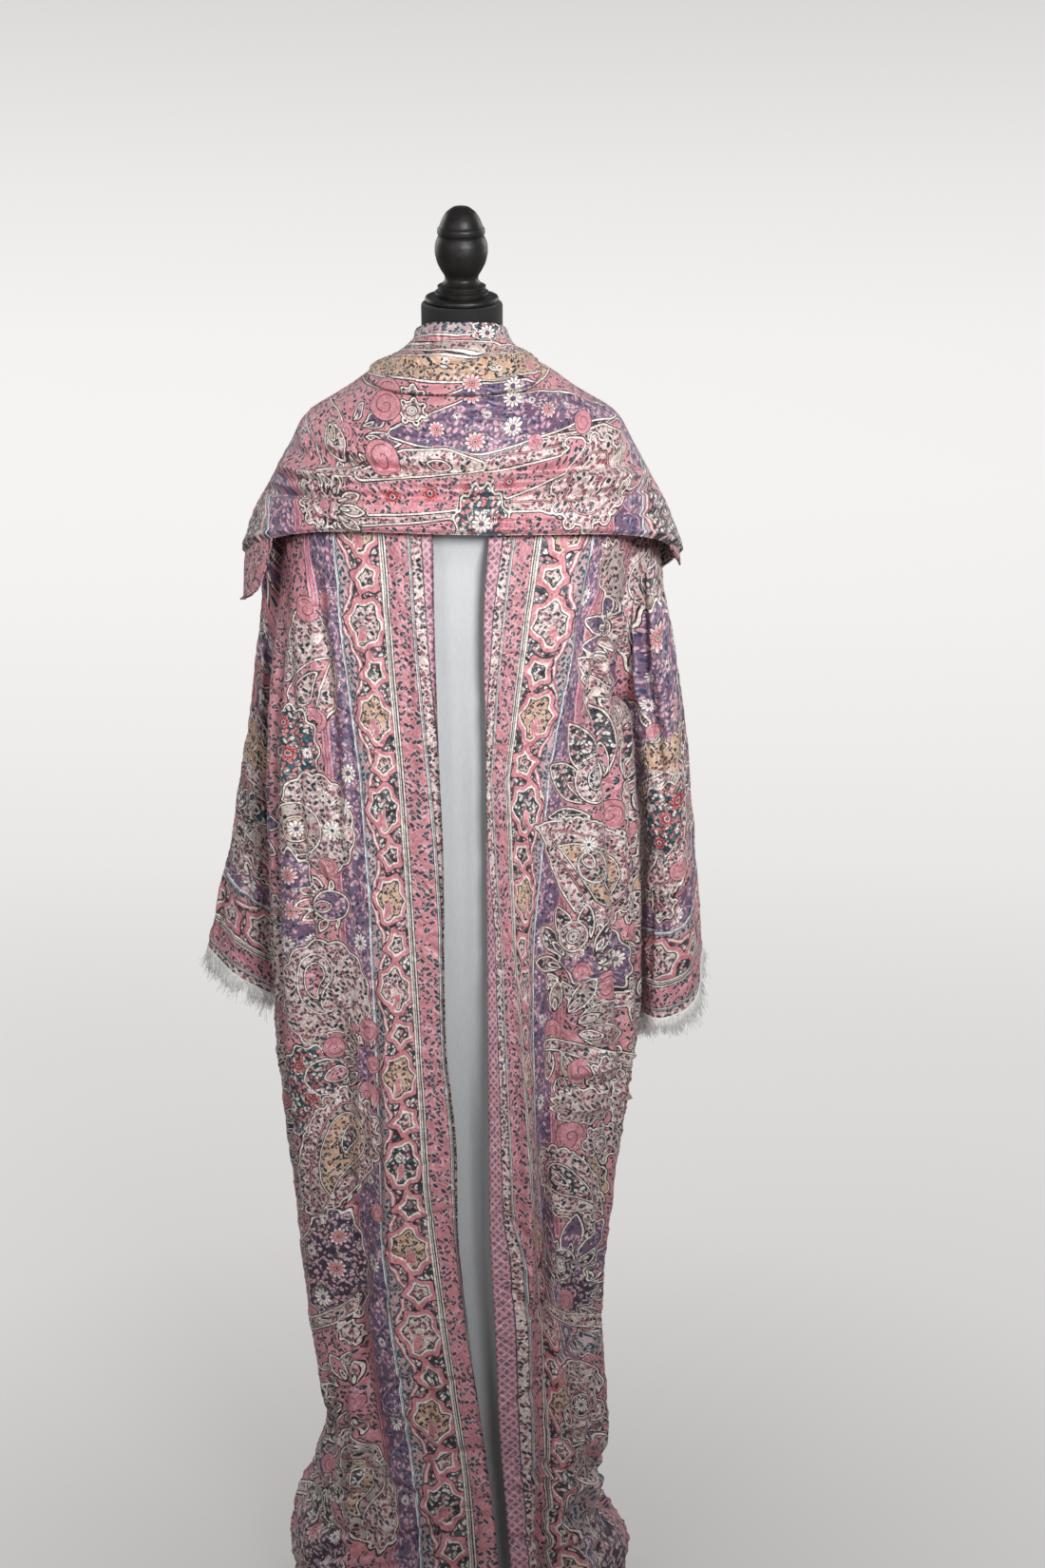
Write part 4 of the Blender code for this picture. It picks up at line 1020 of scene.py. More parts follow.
def cloth_graph(name):
    g = Graph(name)
    uv = g.node("UVMap", uv_map="Cloth").outputs[0]
    across, v, _ = g.split(uv)
    flat = g.combine(across, v)

    def sheet(title):
        return g.split(g.node("Attribute", attribute_name=title).outputs["Vector"])

    large, large_kind, echo = sheet("large")
    small, small_kind, u = sheet("small")

    # The kind of ground at each place: the border's bands, then the figures over them
    band = [(0.0, LATTICE), (0.0195, CREAM), (0.0315, PINK), (0.0690, DARK), (0.1260, PURPLE),
            (0.1665, PINK)]
    kind_colour, _ = g.ramp(u, 0.0, 0.2, [(at, (k + 0.5) / KINDS) for at, k in band])
    kind = Value(g, g.node("SeparateColor", {0: kind_colour}).outputs[0])
    # A double line meanders down the dark band, with a sprigged ground outside it.
    meander = 0.1130 - g.math("COSINE", v * (2.0 * pi / BORDER_REPEAT)) * 0.0072
    meander = u - meander - g.math("SINE", v * 260.0) * 0.0012
    in_dark = (u > 0.0692) * (u < 0.1238)
    kind = g.choose(in_dark * (meander > 0.0), kind, (SPRIG + 0.5) / KINDS)
    outside = large > 0.0
    kind = g.choose(outside, (large_kind + 0.5) / KINDS, kind)
    # Lobed figures have a cream rim.
    rim = (large < -0.0034) * (large > -0.0120) * echo
    kind = g.choose(rim, kind, (CREAM + 0.5) / KINDS)
    kind = g.choose(small < 0.0, kind, (small_kind + 0.5) / KINDS)

    def by_kind(column, share=None):
        return g.ramp(kind, 0, 1, [(i / KINDS, row[column], row[share] if share else 1.0)
                                   for i, row in enumerate(KIND_COLOURS)])

    ground, other_share = by_kind(0, 1)
    other, _ = by_kind(2)
    threads = g.vector("FLOOR", g.vector("MULTIPLY", flat, (900.0, 620.0, 1.0)))
    thread = Value(g, g.node("TexWhiteNoise", {0: threads}, noise_dimensions="2D").outputs[0])
    patch = g.noise(flat, 330.0, 2.0, flat=True)
    dither = (thread * 0.55 + patch * 0.9 - 0.25) < other_share
    colour = g.mix(dither * 0.85, ground, other)

    # Leaf flecks: a pointed stroke in each cell, in one of two directions, with a pale edge
    first, density = by_kind(3, 5)
    second, _ = by_kind(4)

    def flecks(colour, size, shift, long, short, share):
        spread = g.vector("MULTIPLY_ADD", flat, (1.0 / size,) * 3, (shift, shift * 0.7, 0.0))
        cells = g.node("TexVoronoi", {"Vector": spread, "Scale": 1.0, "Randomness": 0.68},
                       voronoi_dimensions="2D", feature="F1")
        off = g.vector("SUBTRACT", spread, cells.outputs["Position"])
        pick, turn, show = g.split(cells.outputs["Color"])
        angle = g.choose(turn > 0.5, 0.62, 2.35) + pick * 0.5
        leaf = g.node("VectorRotate", {"Vector": off, "Angle": angle}, rotation_type="Z_AXIS").outputs[0]
        p, q, _ = g.split(leaf)
        p, q = g.math("ABSOLUTE", p), g.math("ABSOLUTE", q)
        shape = p * (1.0 / long) + q * (1.0 / short) - p * q * (0.9 / (long * short))
        seen = show < density * share
        colour = g.mix((shape < 1.42) * seen * 0.55, colour, other)
        mask = (shape < 1.0) * seen
        return g.mix(mask, colour, g.mix(pick < 0.55, second, first)), mask

    colour, fleck_mask = flecks(colour, 0.0076, 3.1, 0.45, 0.24, 1.0)
    colour, _ = flecks(colour, 0.0047, 11.7, 0.42, 0.24, 0.50)

    # Thin stripes between the bands
    stripes = [(0.0, LINE, 0.0), (0.0186, "5A4A5A", 1.0), (0.0197, LINE, 0.0), (0.0312, LINE, 1.0),
               (0.0319, PALE_PINK, 1.0), (0.0328, "7FA0A4", 1.0), (0.0340, "EDE6E0", 1.0),
               (0.0347, LINE, 1.0), (0.0352, LINE, 0.0), (0.0598, LINE, 1.0), (0.0606, PALE_CREAM, 1.0),
               (0.0624, "2C2A2E", 1.0), (0.0636, "CFC6C0", 1.0), (0.0650, "2C2A2E", 1.0),
               (0.0662, PALE_CREAM, 1.0), (0.0680, LINE, 1.0), (0.0688, LINE, 0.0), (0.1236, LINE, 1.0),
               (0.1243, "E6EAEC", 1.0), (0.1256, "6F86A6", 1.0), (0.1263, "F4F4F3", 1.0),
               (0.1278, LINE, 1.0), (0.1285, LINE, 0.0), (0.1660, LINE, 1.0), (0.1668, PALE_PINK, 1.0),
               (0.1688, "4F6488", 1.0), (0.1699, "C67E89", 1.0), (0.1720, "4F6488", 1.0),
               (0.1731, PALE_PINK, 1.0), (0.1756, LINE, 1.0), (0.1763, LINE, 0.0)]
    stripe, stripe_mask = g.ramp(u, 0.0, 0.2, stripes)

    # Trellis of the edge band
    def line_of(value, width):
        return g.math("ABSOLUTE", g.math("FRACT", value) - 0.5) > 0.5 - width

    one, two = (u + v) * (1.0 / 0.0098), (u - v) * (1.0 / 0.0098)
    in_edge = u < 0.0188
    trellis = g.math("MAXIMUM", line_of(one, 0.10), line_of(two, 0.10)) * in_edge
    colour = g.mix(trellis, colour, tone("DEB2B6"))
    eye = (1.0 - line_of(one, 0.30)) * (1.0 - line_of(two, 0.30)) * in_edge
    colour = g.mix(eye, colour, tone("7C6A86"))

    # Fine scrolls in the pink and the purple band, and the double line of the dark one
    def scroll(middle, reach, pitch, width):
        off = g.math("ABSOLUTE", u - middle - g.math("SINE", v * (2.0 * pi / pitch)) * reach)
        return off < width

    clear = (small > 0.0030) * outside
    colour = g.mix(scroll(0.0475, 0.0085, 0.0420, 0.0005) * 0.45, colour, tone("3C5A64"))
    colour = g.mix(scroll(0.1450, 0.0130, 0.0740, 0.0007) * clear, colour, tone("D3A5AF"))
    colour = g.mix(scroll(0.1450, 0.0130, -0.0495, 0.0006) * clear, colour, tone("4A6078"))
    vine_lines = [(0.0, PALE_CREAM, 1.0), (0.0011, "C98892", 1.0), (0.0029, LINE, 1.0), (0.0037, LINE, 0.0)]
    vine, vine_mask = g.ramp(g.math("ABSOLUTE", meander), 0.0, 0.01, vine_lines)
    colour = g.mix(vine_mask * in_dark * clear, colour, vine)

    # Outlines of the large and the small figures
    large_lines = [(-0.0056, LINE, 0.0), (-0.0036, LINE, 1.0), (-0.0029, PALE_CREAM, 1.0),
                   (-0.0010, LINE, 1.0), (0.0004, PALE_PINK, 1.0), (0.0014, LINE, 0.0)]
    rim_lines = [(-0.0200, LINE, 0.0), (-0.0146, LINE, 1.0), (-0.0138, PALE_PINK, 1.0),
                 (-0.0126, LINE, 1.0), (-0.0118, LINE, 0.0)]
    line, rim_mask = g.ramp(large, -0.020, 0.0, rim_lines)
    colour = g.mix(rim_mask * echo * (small > 0.0022), colour, line)
    line, line_mask = g.ramp(large, -0.0060, 0.0040, large_lines)
    colour = g.mix(line_mask, colour, line)
    small_lines = [(-0.012, LINE, 0.0), (-0.0032, LINE, 1.0), (-0.0025, PALE_CREAM, 1.0),
                   (-0.0010, LINE, 1.0), (0.0002, LINE, 0.0)]
    frame_lines = [(-0.012, LINE, 0.0), (-0.0074, LINE, 1.0), (-0.0062, PALE_CREAM, 1.0),
                   (-0.0040, "D4959C", 1.0), (0.0004, LINE, 1.0), (0.0016, LINE, 0.0)]
    line, small_mask = g.ramp(small, -0.012, 0.004, small_lines)
    framed, frame_mask = g.ramp(small, -0.012, 0.004, frame_lines)
    in_frame = in_dark * (large > -0.0010)
    small_mask = g.choose(in_frame, small_mask, frame_mask)
    colour = g.mix(small_mask, colour, g.mix(in_frame, line, framed))
    colour = g.mix(stripe_mask * (large > 0.0020), colour, stripe)

    # Rosettes with pointed petals, and pink lobes with a curl
    p, q, spot_kind = sheet("spot")
    reach = g.math("SQRT", p * p + q * q)
    turned = g.math("ARCTAN2", q, p)
    petal = g.math("COSINE", turned * 11.0)
    curled = (spot_kind > 3.5) * (spot_kind < 4.5)
    edge = g.choose(curled, reach / (petal * 0.14 + 0.85), reach)
    pink_star = [(0.0, "2F4A55", 1.0), (0.13, "E6D2A8", 1.0), (0.20, "7A3F55", 1.0), (0.30, "E1A6AE", 1.0),
                 (0.66, "F0DAD8", 1.0), (0.88, LINE, 1.0), (1.0, LINE, 0.0)]
    cream_star = [(0.0, "6A5078", 1.0), (0.22, LINE, 1.0), (0.30, "EADFD7", 1.0), (0.60, "F5EFEA", 1.0),
                  (0.88, "5E4A66", 1.0), (1.0, LINE, 0.0)]
    red_star = [(0.0, "27505E", 1.0), (0.26, PALE_CREAM, 1.0), (0.36, "B6505C", 1.0), (0.70, "DE9A98", 1.0),
                (0.88, LINE, 1.0), (1.0, LINE, 0.0)]
    curl = [(0.0, "CF989F", 1.0), (0.94, "5A444C", 1.0), (1.0, LINE, 0.0)]
    flower, spot_mask = g.ramp(edge, 0.0, 1.1, pink_star)
    flower = g.mix(spot_kind > 1.5, flower, g.ramp(edge, 0.0, 1.1, cream_star)[0])
    flower = g.mix(spot_kind > 4.5, flower, g.ramp(edge, 0.0, 1.1, red_star)[0])
    grey_star = [(0.0, "2F4A55", 1.0), (0.22, "F1EAE5", 1.0), (0.94, "B98A90", 1.0), (1.0, LINE, 0.0)]
    flower = g.mix(spot_kind > 5.5, flower, g.ramp(edge, 0.0, 1.1, grey_star)[0])
    spoke = (petal < -0.70) * (reach > 0.34)
    flower = g.mix(spoke * 0.75, flower, tone(LINE))
    flower = g.mix(curled, flower, g.ramp(edge, 0.0, 1.1, curl)[0])
    spiral = line_of(reach * 1.9 - turned * (1.0 / (2.0 * pi)), 0.060) * (reach < 0.75) * curled
    flower = g.mix(spiral, flower, tone("6E434D"))
    colour = g.mix(spot_mask, colour, flower)

    # Threads, dye and the fade of long wear
    ribs = g.math("SINE", (across * 0.8 + v) * 4200.0)
    grain = thread * 0.34 + patch * 0.80 + 0.42
    cloud = g.noise(flat, 9.0, 3.0, flat=True)
    shade = grain * (cloud * 0.24 + 0.88)
    colour = g.node("HueSaturation", {"Value": shade, "Saturation": 1.15, "Color": colour}).outputs[0]
    g.surface("Base Color", colour)
    # Seen at a slant, the raised threads scatter the light.
    slant = g.math("POWER", Value(g, g.node("LayerWeight", {"Blend": 0.5}).outputs["Facing"]), 3.0)
    g.surface("Roughness", fleck_mask * 0.10 + patch * 0.18 + slant * 0.60 + 0.27)
    g.shader.inputs["Specular IOR Level"].default_value = 0.70
    g.shader.inputs["Sheen Weight"].default_value = 0.12
    g.shader.inputs["Sheen Roughness"].default_value = 0.45
    g.shader.inputs["Sheen Tint"].default_value = (0.95, 0.88, 0.88, 1.0)
    pucker = g.noise(flat, 60.0, 4.0, flat=True, Roughness=0.6)
    rumple = g.math("ABSOLUTE", g.noise(flat, 26.0, 2.0, flat=True, Distortion=0.8) - 0.5)
    height = pucker * 0.0056 - rumple * 0.0165 + patch * 0.0008 + ribs * 0.00006 + line_mask * 0.00012
    g.relief(height, 0.6)
    return g.material


def plain_cloth(name, code, pitch, rough, sheen, ribs, deep):
    # Plain woven or knitted cloth: threads across and along, with slubs.
    g = Graph(name)
    position = g.node("TexCoord").outputs["Object"]
    x, y, z = g.split(position)
    warp = g.math("SINE", (x + y * 0.7) * (2.0 * pi / pitch))
    weft = g.math("SINE", z * (2.0 * pi / (pitch * ribs)))
    slub = g.noise(g.vector("MULTIPLY", position, (600.0, 600.0, 90.0)), 1.0, 3.0)
    cloud = g.noise(position, 11.0, 3.0)
    shade = warp * weft * 0.035 + slub * 0.22 + cloud * 0.12 + 0.83
    colour = g.node("HueSaturation", {"Value": shade, "Color": tone(code)}).outputs[0]
    g.surface("Base Color", colour)
    g.surface("Roughness", slub * 0.15 + rough)
    g.shader.inputs["Sheen Weight"].default_value = sheen
    g.shader.inputs["Sheen Roughness"].default_value = 0.5
    g.relief((warp + weft) * (deep * 0.25) + slub * deep, 0.6)
    return g.material


def black_wood():
    g = Graph("black_wood")
    position = g.node("TexCoord").outputs["Object"]
    grain = g.noise(g.vector("MULTIPLY", position, (420.0, 420.0, 60.0)), 1.0, 4.0)
    wear = g.noise(position, 70.0, 4.0)
    colour = g.mix(g.math("MULTIPLY", wear, grain, clamp=True), tone("0B0A0A"), tone("2B2725"))
    g.surface("Base Color", colour)
    g.surface("Roughness", wear * 0.30 + grain * 0.10 + 0.26)
    g.shader.inputs["Specular IOR Level"].default_value = 0.45
    g.relief(grain * 0.00025 + wear * 0.0004, 0.5)
    return g.material


def black_metal():
    g = Graph("black_metal")
    position = g.node("TexCoord").outputs["Object"]
    speck = g.noise(position, 900.0, 2.0)
    g.surface("Base Color", g.mix(speck, tone("101011"), tone("1E1E20")))
    g.surface("Roughness", speck * 0.2 + 0.32)
    g.relief(speck * 0.0001, 0.4)
    return g.material


paisley = cloth_graph("paisley_cloth")
inner_cloth = plain_cloth("inner_cloth", "C7CACC", 0.0011, 0.74, 0.10, 1.0, 0.00006)
fringe_thread = plain_cloth("fringe_thread", "F8F7F5", 0.0008, 0.75, 0.15, 2.0, 0.00003)
knit = plain_cloth("black_knit", "141316", 0.0022, 0.80, 0.10, 1.4, 0.00030)
wood = black_wood()
metal = black_metal()


# The abaya's body


def guide(rows):
    rows = np.array(sorted(rows))
    return rows[:, 0], rows[:, 1]


# Where the border's bands run, seen from the front: (height, x) of the striped line, the white line
# and the purple band's outer edge, and the border's width that the front edge hides.
LEFT_GUIDES = (
    (0.0643, ((1.522, -0.098), (1.444, -0.089), (1.363, -0.088), (1.222, -0.078),
              (1.081, -0.068), (0.823, -0.054),
              (0.590, -0.043), (0.434, -0.025), (0.336, -0.012), (0.224, 0.003), (0.002, 0.021))),
    (0.1259, ((1.522, -0.150), (1.444, -0.145), (1.355, -0.142), (1.237, -0.133),
              (1.083, -0.114), (0.936, -0.105),
              (0.675, -0.100), (0.517, -0.098), (0.412, -0.086), (0.323, -0.074),
              (0.211, -0.059), (0.002, -0.040))),
    (0.1664, ((1.522, -0.180), (1.444, -0.177), (1.338, -0.170), (1.222, -0.158),
              (1.083, -0.146), (0.936, -0.135),
              (0.675, -0.124), (0.517, -0.124), (0.412, -0.114), (0.311, -0.102),
              (0.211, -0.089), (0.002, -0.070))),
)
LEFT_HIDDEN = ((1.522, 0.000), (1.360, 0.006), (1.222, 0.012), (1.081, 0.022), (0.900, 0.030),
               (0.590, 0.029),
               (0.434, 0.033), (0.224, 0.038), (0.002, 0.040))
RIGHT_GUIDES = (
    (0.0643, ((1.522, 0.108), (1.444, 0.099), (1.360, 0.088), (1.222, 0.069), (1.081, 0.052),
              (0.992, 0.056),
              (0.880, 0.061), (0.788, 0.068), (0.672, 0.076), (0.561, 0.083), (0.470, 0.091),
              (0.409, 0.097),
              (0.311, 0.099), (0.211, 0.101), (0.002, 0.108))),
    (0.1259, ((1.522, 0.176), (1.444, 0.164), (1.360, 0.151), (1.212, 0.125), (1.094, 0.101),
              (0.992, 0.092),
              (0.880, 0.083), (0.788, 0.082), (0.672, 0.086), (0.561, 0.094), (0.470, 0.103),
              (0.409, 0.116),
              (0.311, 0.134), (0.211, 0.146), (0.002, 0.158))),
    (0.1664, ((1.522, 0.192), (1.444, 0.183), (1.360, 0.172), (1.319, 0.163), (1.264, 0.145),
              (1.163, 0.132),
              (1.083, 0.125), (0.936, 0.111), (0.788, 0.105), (0.672, 0.102), (0.561, 0.104),
              (0.470, 0.114),
              (0.409, 0.128), (0.311, 0.152), (0.211, 0.164), (0.002, 0.176))),
)
RIGHT_HIDDEN = ((1.522, 0.000), (1.360, 0.001), (1.222, 0.010), (1.081, 0.024), (0.960, 0.012),
                (0.900, 0.001),
                (0.002, 0.000))

# Creases of the fronts, from and to (x, height) seen from the front; the sides use the same measure
# along the cloth.
LEFT_CREASES = (
    ((-0.105, 0.860), (-0.098, 0.420), 0.010, -0.0050, 0.003, 0.6),
    ((-0.088, 0.840), (-0.086, 0.470), 0.010, 0.0030, 0.002, 0.0),
    ((-0.170, 1.330), (-0.140, 1.020), 0.012, -0.0050, 0.006, 0.5),
    ((-0.150, 1.280), (-0.128, 0.940), 0.010, 0.0035, 0.004, 0.0),
    ((-0.195, 1.240), (-0.170, 0.820), 0.011, -0.0040, -0.005, -0.4),
    ((-0.050, 1.300), (-0.045, 0.980), 0.012, 0.0020, 0.002, 0.0),
    ((-0.060, 0.705), (0.000, 0.712), 0.007, -0.0022, 0.004, 0.5),
    ((-0.075, 0.600), (-0.010, 0.632), 0.006, -0.0024, 0.003, 0.4),
    ((-0.020, 0.560), (0.005, 0.400), 0.008, -0.0030, -0.003, 0.0),
    ((-0.150, 0.420), (-0.060, 0.470), 0.009, -0.0030, 0.005, 0.3),
    ((-0.120, 0.330), (-0.020, 0.360), 0.008, -0.0035, 0.004, 0.4),
    ((-0.160, 0.255), (-0.060, 0.300), 0.010, -0.0045, 0.005, 0.5),
    ((-0.060, 0.235), (0.025, 0.262), 0.008, -0.0032, 0.004, 0.0),
    ((-0.170, 0.175), (-0.070, 0.215), 0.010, -0.0045, 0.006, 0.4),
    ((-0.080, 0.150), (0.030, 0.185), 0.009, -0.0040, 0.004, 0.0),
    ((-0.190, 0.100), (-0.090, 0.145), 0.011, -0.0045, 0.006, 0.3),
    ((-0.090, 0.080), (0.030, 0.110), 0.009, -0.0040, 0.005, 0.4),
    ((-0.030, 0.440), (-0.045, 0.060), 0.012, 0.0045, 0.006, 0.0),
    ((-0.130, 0.400), (-0.150, 0.060), 0.012, 0.0050, 0.006, 0.0),
    # Smaller ones
    ((-0.169, 0.343), (-0.176, 0.172), 0.0090, -0.0050, 0.004, 0.5),
    ((-0.170, 0.188), (-0.073, 0.286), 0.0080, -0.0034, 0.004, 0.4),
    ((-0.189, 0.137), (-0.055, 0.149), 0.0090, -0.0045, 0.006, 0.4),
    ((-0.186, 0.098), (-0.046, 0.142), 0.0080, 0.0040, 0.005, 0.0),
    ((-0.011, 0.272), (0.015, 0.131), 0.0080, -0.0040, 0.003, 0.5),
    ((-0.054, 0.174), (0.018, 0.189), 0.0060, -0.0030, 0.004, 0.5),
    ((-0.202, 1.064), (-0.147, 1.100), 0.0070, -0.0025, 0.004, 0.4),
    ((-0.211, 0.984), (-0.153, 0.956), 0.0080, -0.0025, 0.005, 0.4),
    ((-0.207, 0.873), (-0.102, 0.927), 0.0070, -0.0020, 0.004, 0.4),
    ((-0.218, 0.639), (-0.120, 0.704), 0.0080, -0.0025, 0.005, 0.4),
    ((-0.190, 0.527), (-0.112, 0.560), 0.0070, -0.0026, 0.004, 0.5),
    ((-0.186, 0.383), (-0.110, 0.455), 0.0070, -0.0028, 0.004, 0.5),
    ((-0.118, 0.810), (-0.122, 0.430), 0.0110, -0.0060, 0.006, 0.7),
    ((-0.096, 0.800), (-0.100, 0.450), 0.0100, 0.0040, 0.006, 0.0),
    ((-0.122, 0.430), (-0.092, 0.180), 0.0110, -0.0055, -0.006, 0.5),
    ((-0.150, 0.600), (-0.100, 0.560), 0.0060, -0.0030, 0.003, 0.6),
    ((-0.060, 0.540), (-0.005, 0.566), 0.0055, -0.0028, 0.003, 0.6),
    ((-0.110, 0.520), (-0.060, 0.490), 0.0055, -0.0026, 0.003, 0.6),
    ((-0.050, 0.330), (0.006, 0.352), 0.0060, -0.0034, 0.003, 0.5),
    ((-0.140, 0.230), (-0.040, 0.195), 0.0070, -0.0040, 0.004, 0.6),
    ((-0.045, 0.100), (0.030, 0.140), 0.0070, -0.0040, 0.004, 0.5),
)
RIGHT_CREASES = (
    ((0.083, 0.980), (0.103, 0.300), 0.008, -0.0070, -0.004, 0.8),
    ((0.068, 0.960), (0.086, 0.350), 0.008, 0.0035, -0.003, 0.0),
    ((0.150, 1.330), (0.122, 1.040), 0.010, -0.0045, -0.005, 0.5),
    ((0.176, 1.260), (0.140, 1.080), 0.010, -0.0065, -0.010, 0.6),
    ((0.182, 1.235), (0.150, 1.190), 0.009, 0.0060, -0.004, 0.0),
    ((0.185, 1.200), (0.150, 1.150), 0.009, -0.0060, -0.003, 0.0),
    ((0.110, 0.742), (0.185, 0.752), 0.006, -0.0045, 0.004, 0.6),
    ((0.108, 0.722), (0.186, 0.728), 0.006, 0.0040, 0.003, 0.0),
    ((0.106, 0.704), (0.184, 0.708), 0.006, -0.0050, -0.003, 0.5),
    ((0.112, 0.686), (0.180, 0.680), 0.006, 0.0035, -0.003, 0.0),
    ((0.120, 0.765), (0.190, 0.785), 0.007, -0.0030, 0.004, 0.0),
    ((0.042, 0.560), (0.092, 0.512), 0.006, -0.0035, 0.003, 0.5),
    ((0.040, 0.522), (0.090, 0.470), 0.006, 0.0025, 0.003, 0.0),
    ((0.045, 0.470), (0.098, 0.410), 0.007, -0.0035, 0.003, 0.5),
    ((0.110, 0.500), (0.170, 0.455), 0.008, -0.0030, -0.004, 0.0),
    ((0.100, 0.350), (0.170, 0.390), 0.009, -0.0040, 0.005, 0.3),
    ((0.050, 0.310), (0.100, 0.345), 0.007, -0.0030, 0.003, 0.0),
    ((0.110, 0.270), (0.180, 0.250), 0.009, -0.0050, -0.006, 0.5),
    ((0.060, 0.230), (0.130, 0.215), 0.008, -0.0045, 0.004, 0.4),
    ((0.120, 0.200), (0.185, 0.170), 0.009, 0.0050, -0.004, 0.0),
    ((0.070, 0.165), (0.160, 0.155), 0.009, -0.0050, 0.004, 0.5),
    ((0.070, 0.110), (0.170, 0.120), 0.009, -0.0045, 0.005, 0.0),
    ((0.140, 0.640), (0.150, 0.320), 0.012, 0.0035, 0.005, 0.0),
    # Smaller ones
    ((0.168, 1.277), (0.179, 1.150), 0.0070, -0.0060, 0.004, 0.6),
    ((0.179, 1.278), (0.179, 1.152), 0.0070, 0.0060, 0.004, 0.0),
    ((0.147, 1.208), (0.187, 1.132), 0.0070, -0.0030, 0.004, 0.4),
    ((0.059, 0.218), (0.127, 0.210), 0.0060, 0.0036, 0.003, 0.0),
    ((0.058, 0.152), (0.134, 0.155), 0.0070, -0.0055, -0.004, 0.7),
    ((0.129, 0.162), (0.184, 0.101), 0.0080, -0.0045, 0.004, 0.4),
    ((0.117, 0.281), (0.172, 0.176), 0.0090, -0.0040, 0.005, 0.4),
    ((0.123, 0.351), (0.142, 0.243), 0.0080, -0.0034, 0.004, 0.4),
    ((0.081, 0.128), (0.177, 0.099), 0.0080, -0.0045, 0.004, 0.4),
    ((0.105, 0.837), (0.189, 0.866), 0.0070, -0.0022, 0.004, 0.4),
    ((0.098, 0.988), (0.169, 0.920), 0.0070, -0.0020, -0.004, 0.3),
)


def body_heights(upper, arm, lower):
    made = list(np.linspace(NECK_SEAM_Z, ARMHOLE_TOP_Z, upper, endpoint=False))
    made += [float(armhole_height(pi * i / arm)) for i in range(arm)]
    return np.array(made + list(np.linspace(UNDERARM_Z, HEM_CLEAR, lower)))


# Belly of the body beside the right sleeve: height, reach
BELLY_ROWS = ((0.60, 0.0), (0.66, 0.0), (0.74, 0.0065), (0.86, 0.0095), (0.97, 0.0125), (1.05, 0.0150),
              (1.115, 0.0180), (1.140, 0.0170), (1.150, 0.0120), (1.160, 0.0))


def beside_sleeve(height, turn):
    # The cloth bellies out to the right sleeve, and a fold runs down in front of each sleeve.
    reach, = table(BELLY_ROWS, height)
    span = ease((height - 0.72) / 0.10) * ease((1.145 - height) / 0.03)
    groove = 0.010 * bump((turn - 0.455) / 0.030) + 0.007 * bump((turn + 0.460) / 0.030)
    return reach * bump((turn - 0.545) / 0.235) - groove * span


def front_panel(name, side, columns, heights, guides, hidden, creases, rows):
    height = np.repeat(heights[:, None], columns + 1, axis=1)
    share = np.linspace(0.0, 1.0, columns + 1)[None, :]
    # The columns run by equal turns from the opening to the side seam.
    first = opening_turn(heights, side)[:, None]
    last = seam_turn(heights, side, -1)[:, None]
    turn = first + (last - first) * share
    level = lifted(height, turn)
    base, out = folded_body(level, turn)
    arc = run_lengths(base)
    base = base + out * beside_sleeve(level, turn)[..., None]
    # Creases are placed by x in front and by the distance along the cloth round the side.
    x = base[..., 0] * side
    turning = np.maximum.accumulate(x, axis=1) > x + 0.0005
    reach = x.max(axis=1, keepdims=True)
    at_side = np.take_along_axis(arc, x.argmax(axis=1)[:, None], axis=1)
    across = np.where(turning, reach + arc - at_side, x) * side
    moved = creased(across, level, creases)
    moved = CREASE_LIMIT * np.tanh(deeper_below(level, 2.2, 1.6) * moved / CREASE_LIMIT)
    moved = moved + crumple(arc, level, 7 + side, 0.034, 0.0016)
    moved = moved + crinkle(arc, level, 9 + side, 0.060, 0.0013)
    # More crumples near the hem, and about 0.72 m up
    moved = moved + crumple(arc, level, 17 + side, 0.036, 0.0036, 0.5) * ease((0.36 - level) / 0.30)
    higher = crumple(arc, level, 27 + side, 0.030, 0.0020, 0.35)
    moved = moved + higher * bump((level - 0.72) / 0.10) * ease(arc / 0.15)
    points = base + out * (moved * above_hem(level))[..., None]
    # The pattern's coordinates
    u = np.zeros_like(arc)
    for r, h in enumerate(heights):
        hide = np.interp(h, *guide(hidden))
        places, values = [0.0], [hide]
        for value, line in guides:
            target = np.interp(h, *guide(line)) * side
            place = np.interp(target, x[r][:x[r].argmax() + 1], arc[r][:x[r].argmax() + 1])
            if place > places[-1] + 0.002:
                places.append(place)
                values.append(value)
        end = arc[r, -1] + 0.001
        if end > places[-1] + 0.001:
            places.append(end)
            values.append(values[-1] + end - places[-2])
        u[r] = np.interp(arc[r], places, values)
    flat = np.stack([u, NECK_SEAM_Z - level], axis=-1)
    return cloth_piece(name, points, out, CLOTH, False, flat, rows, u)


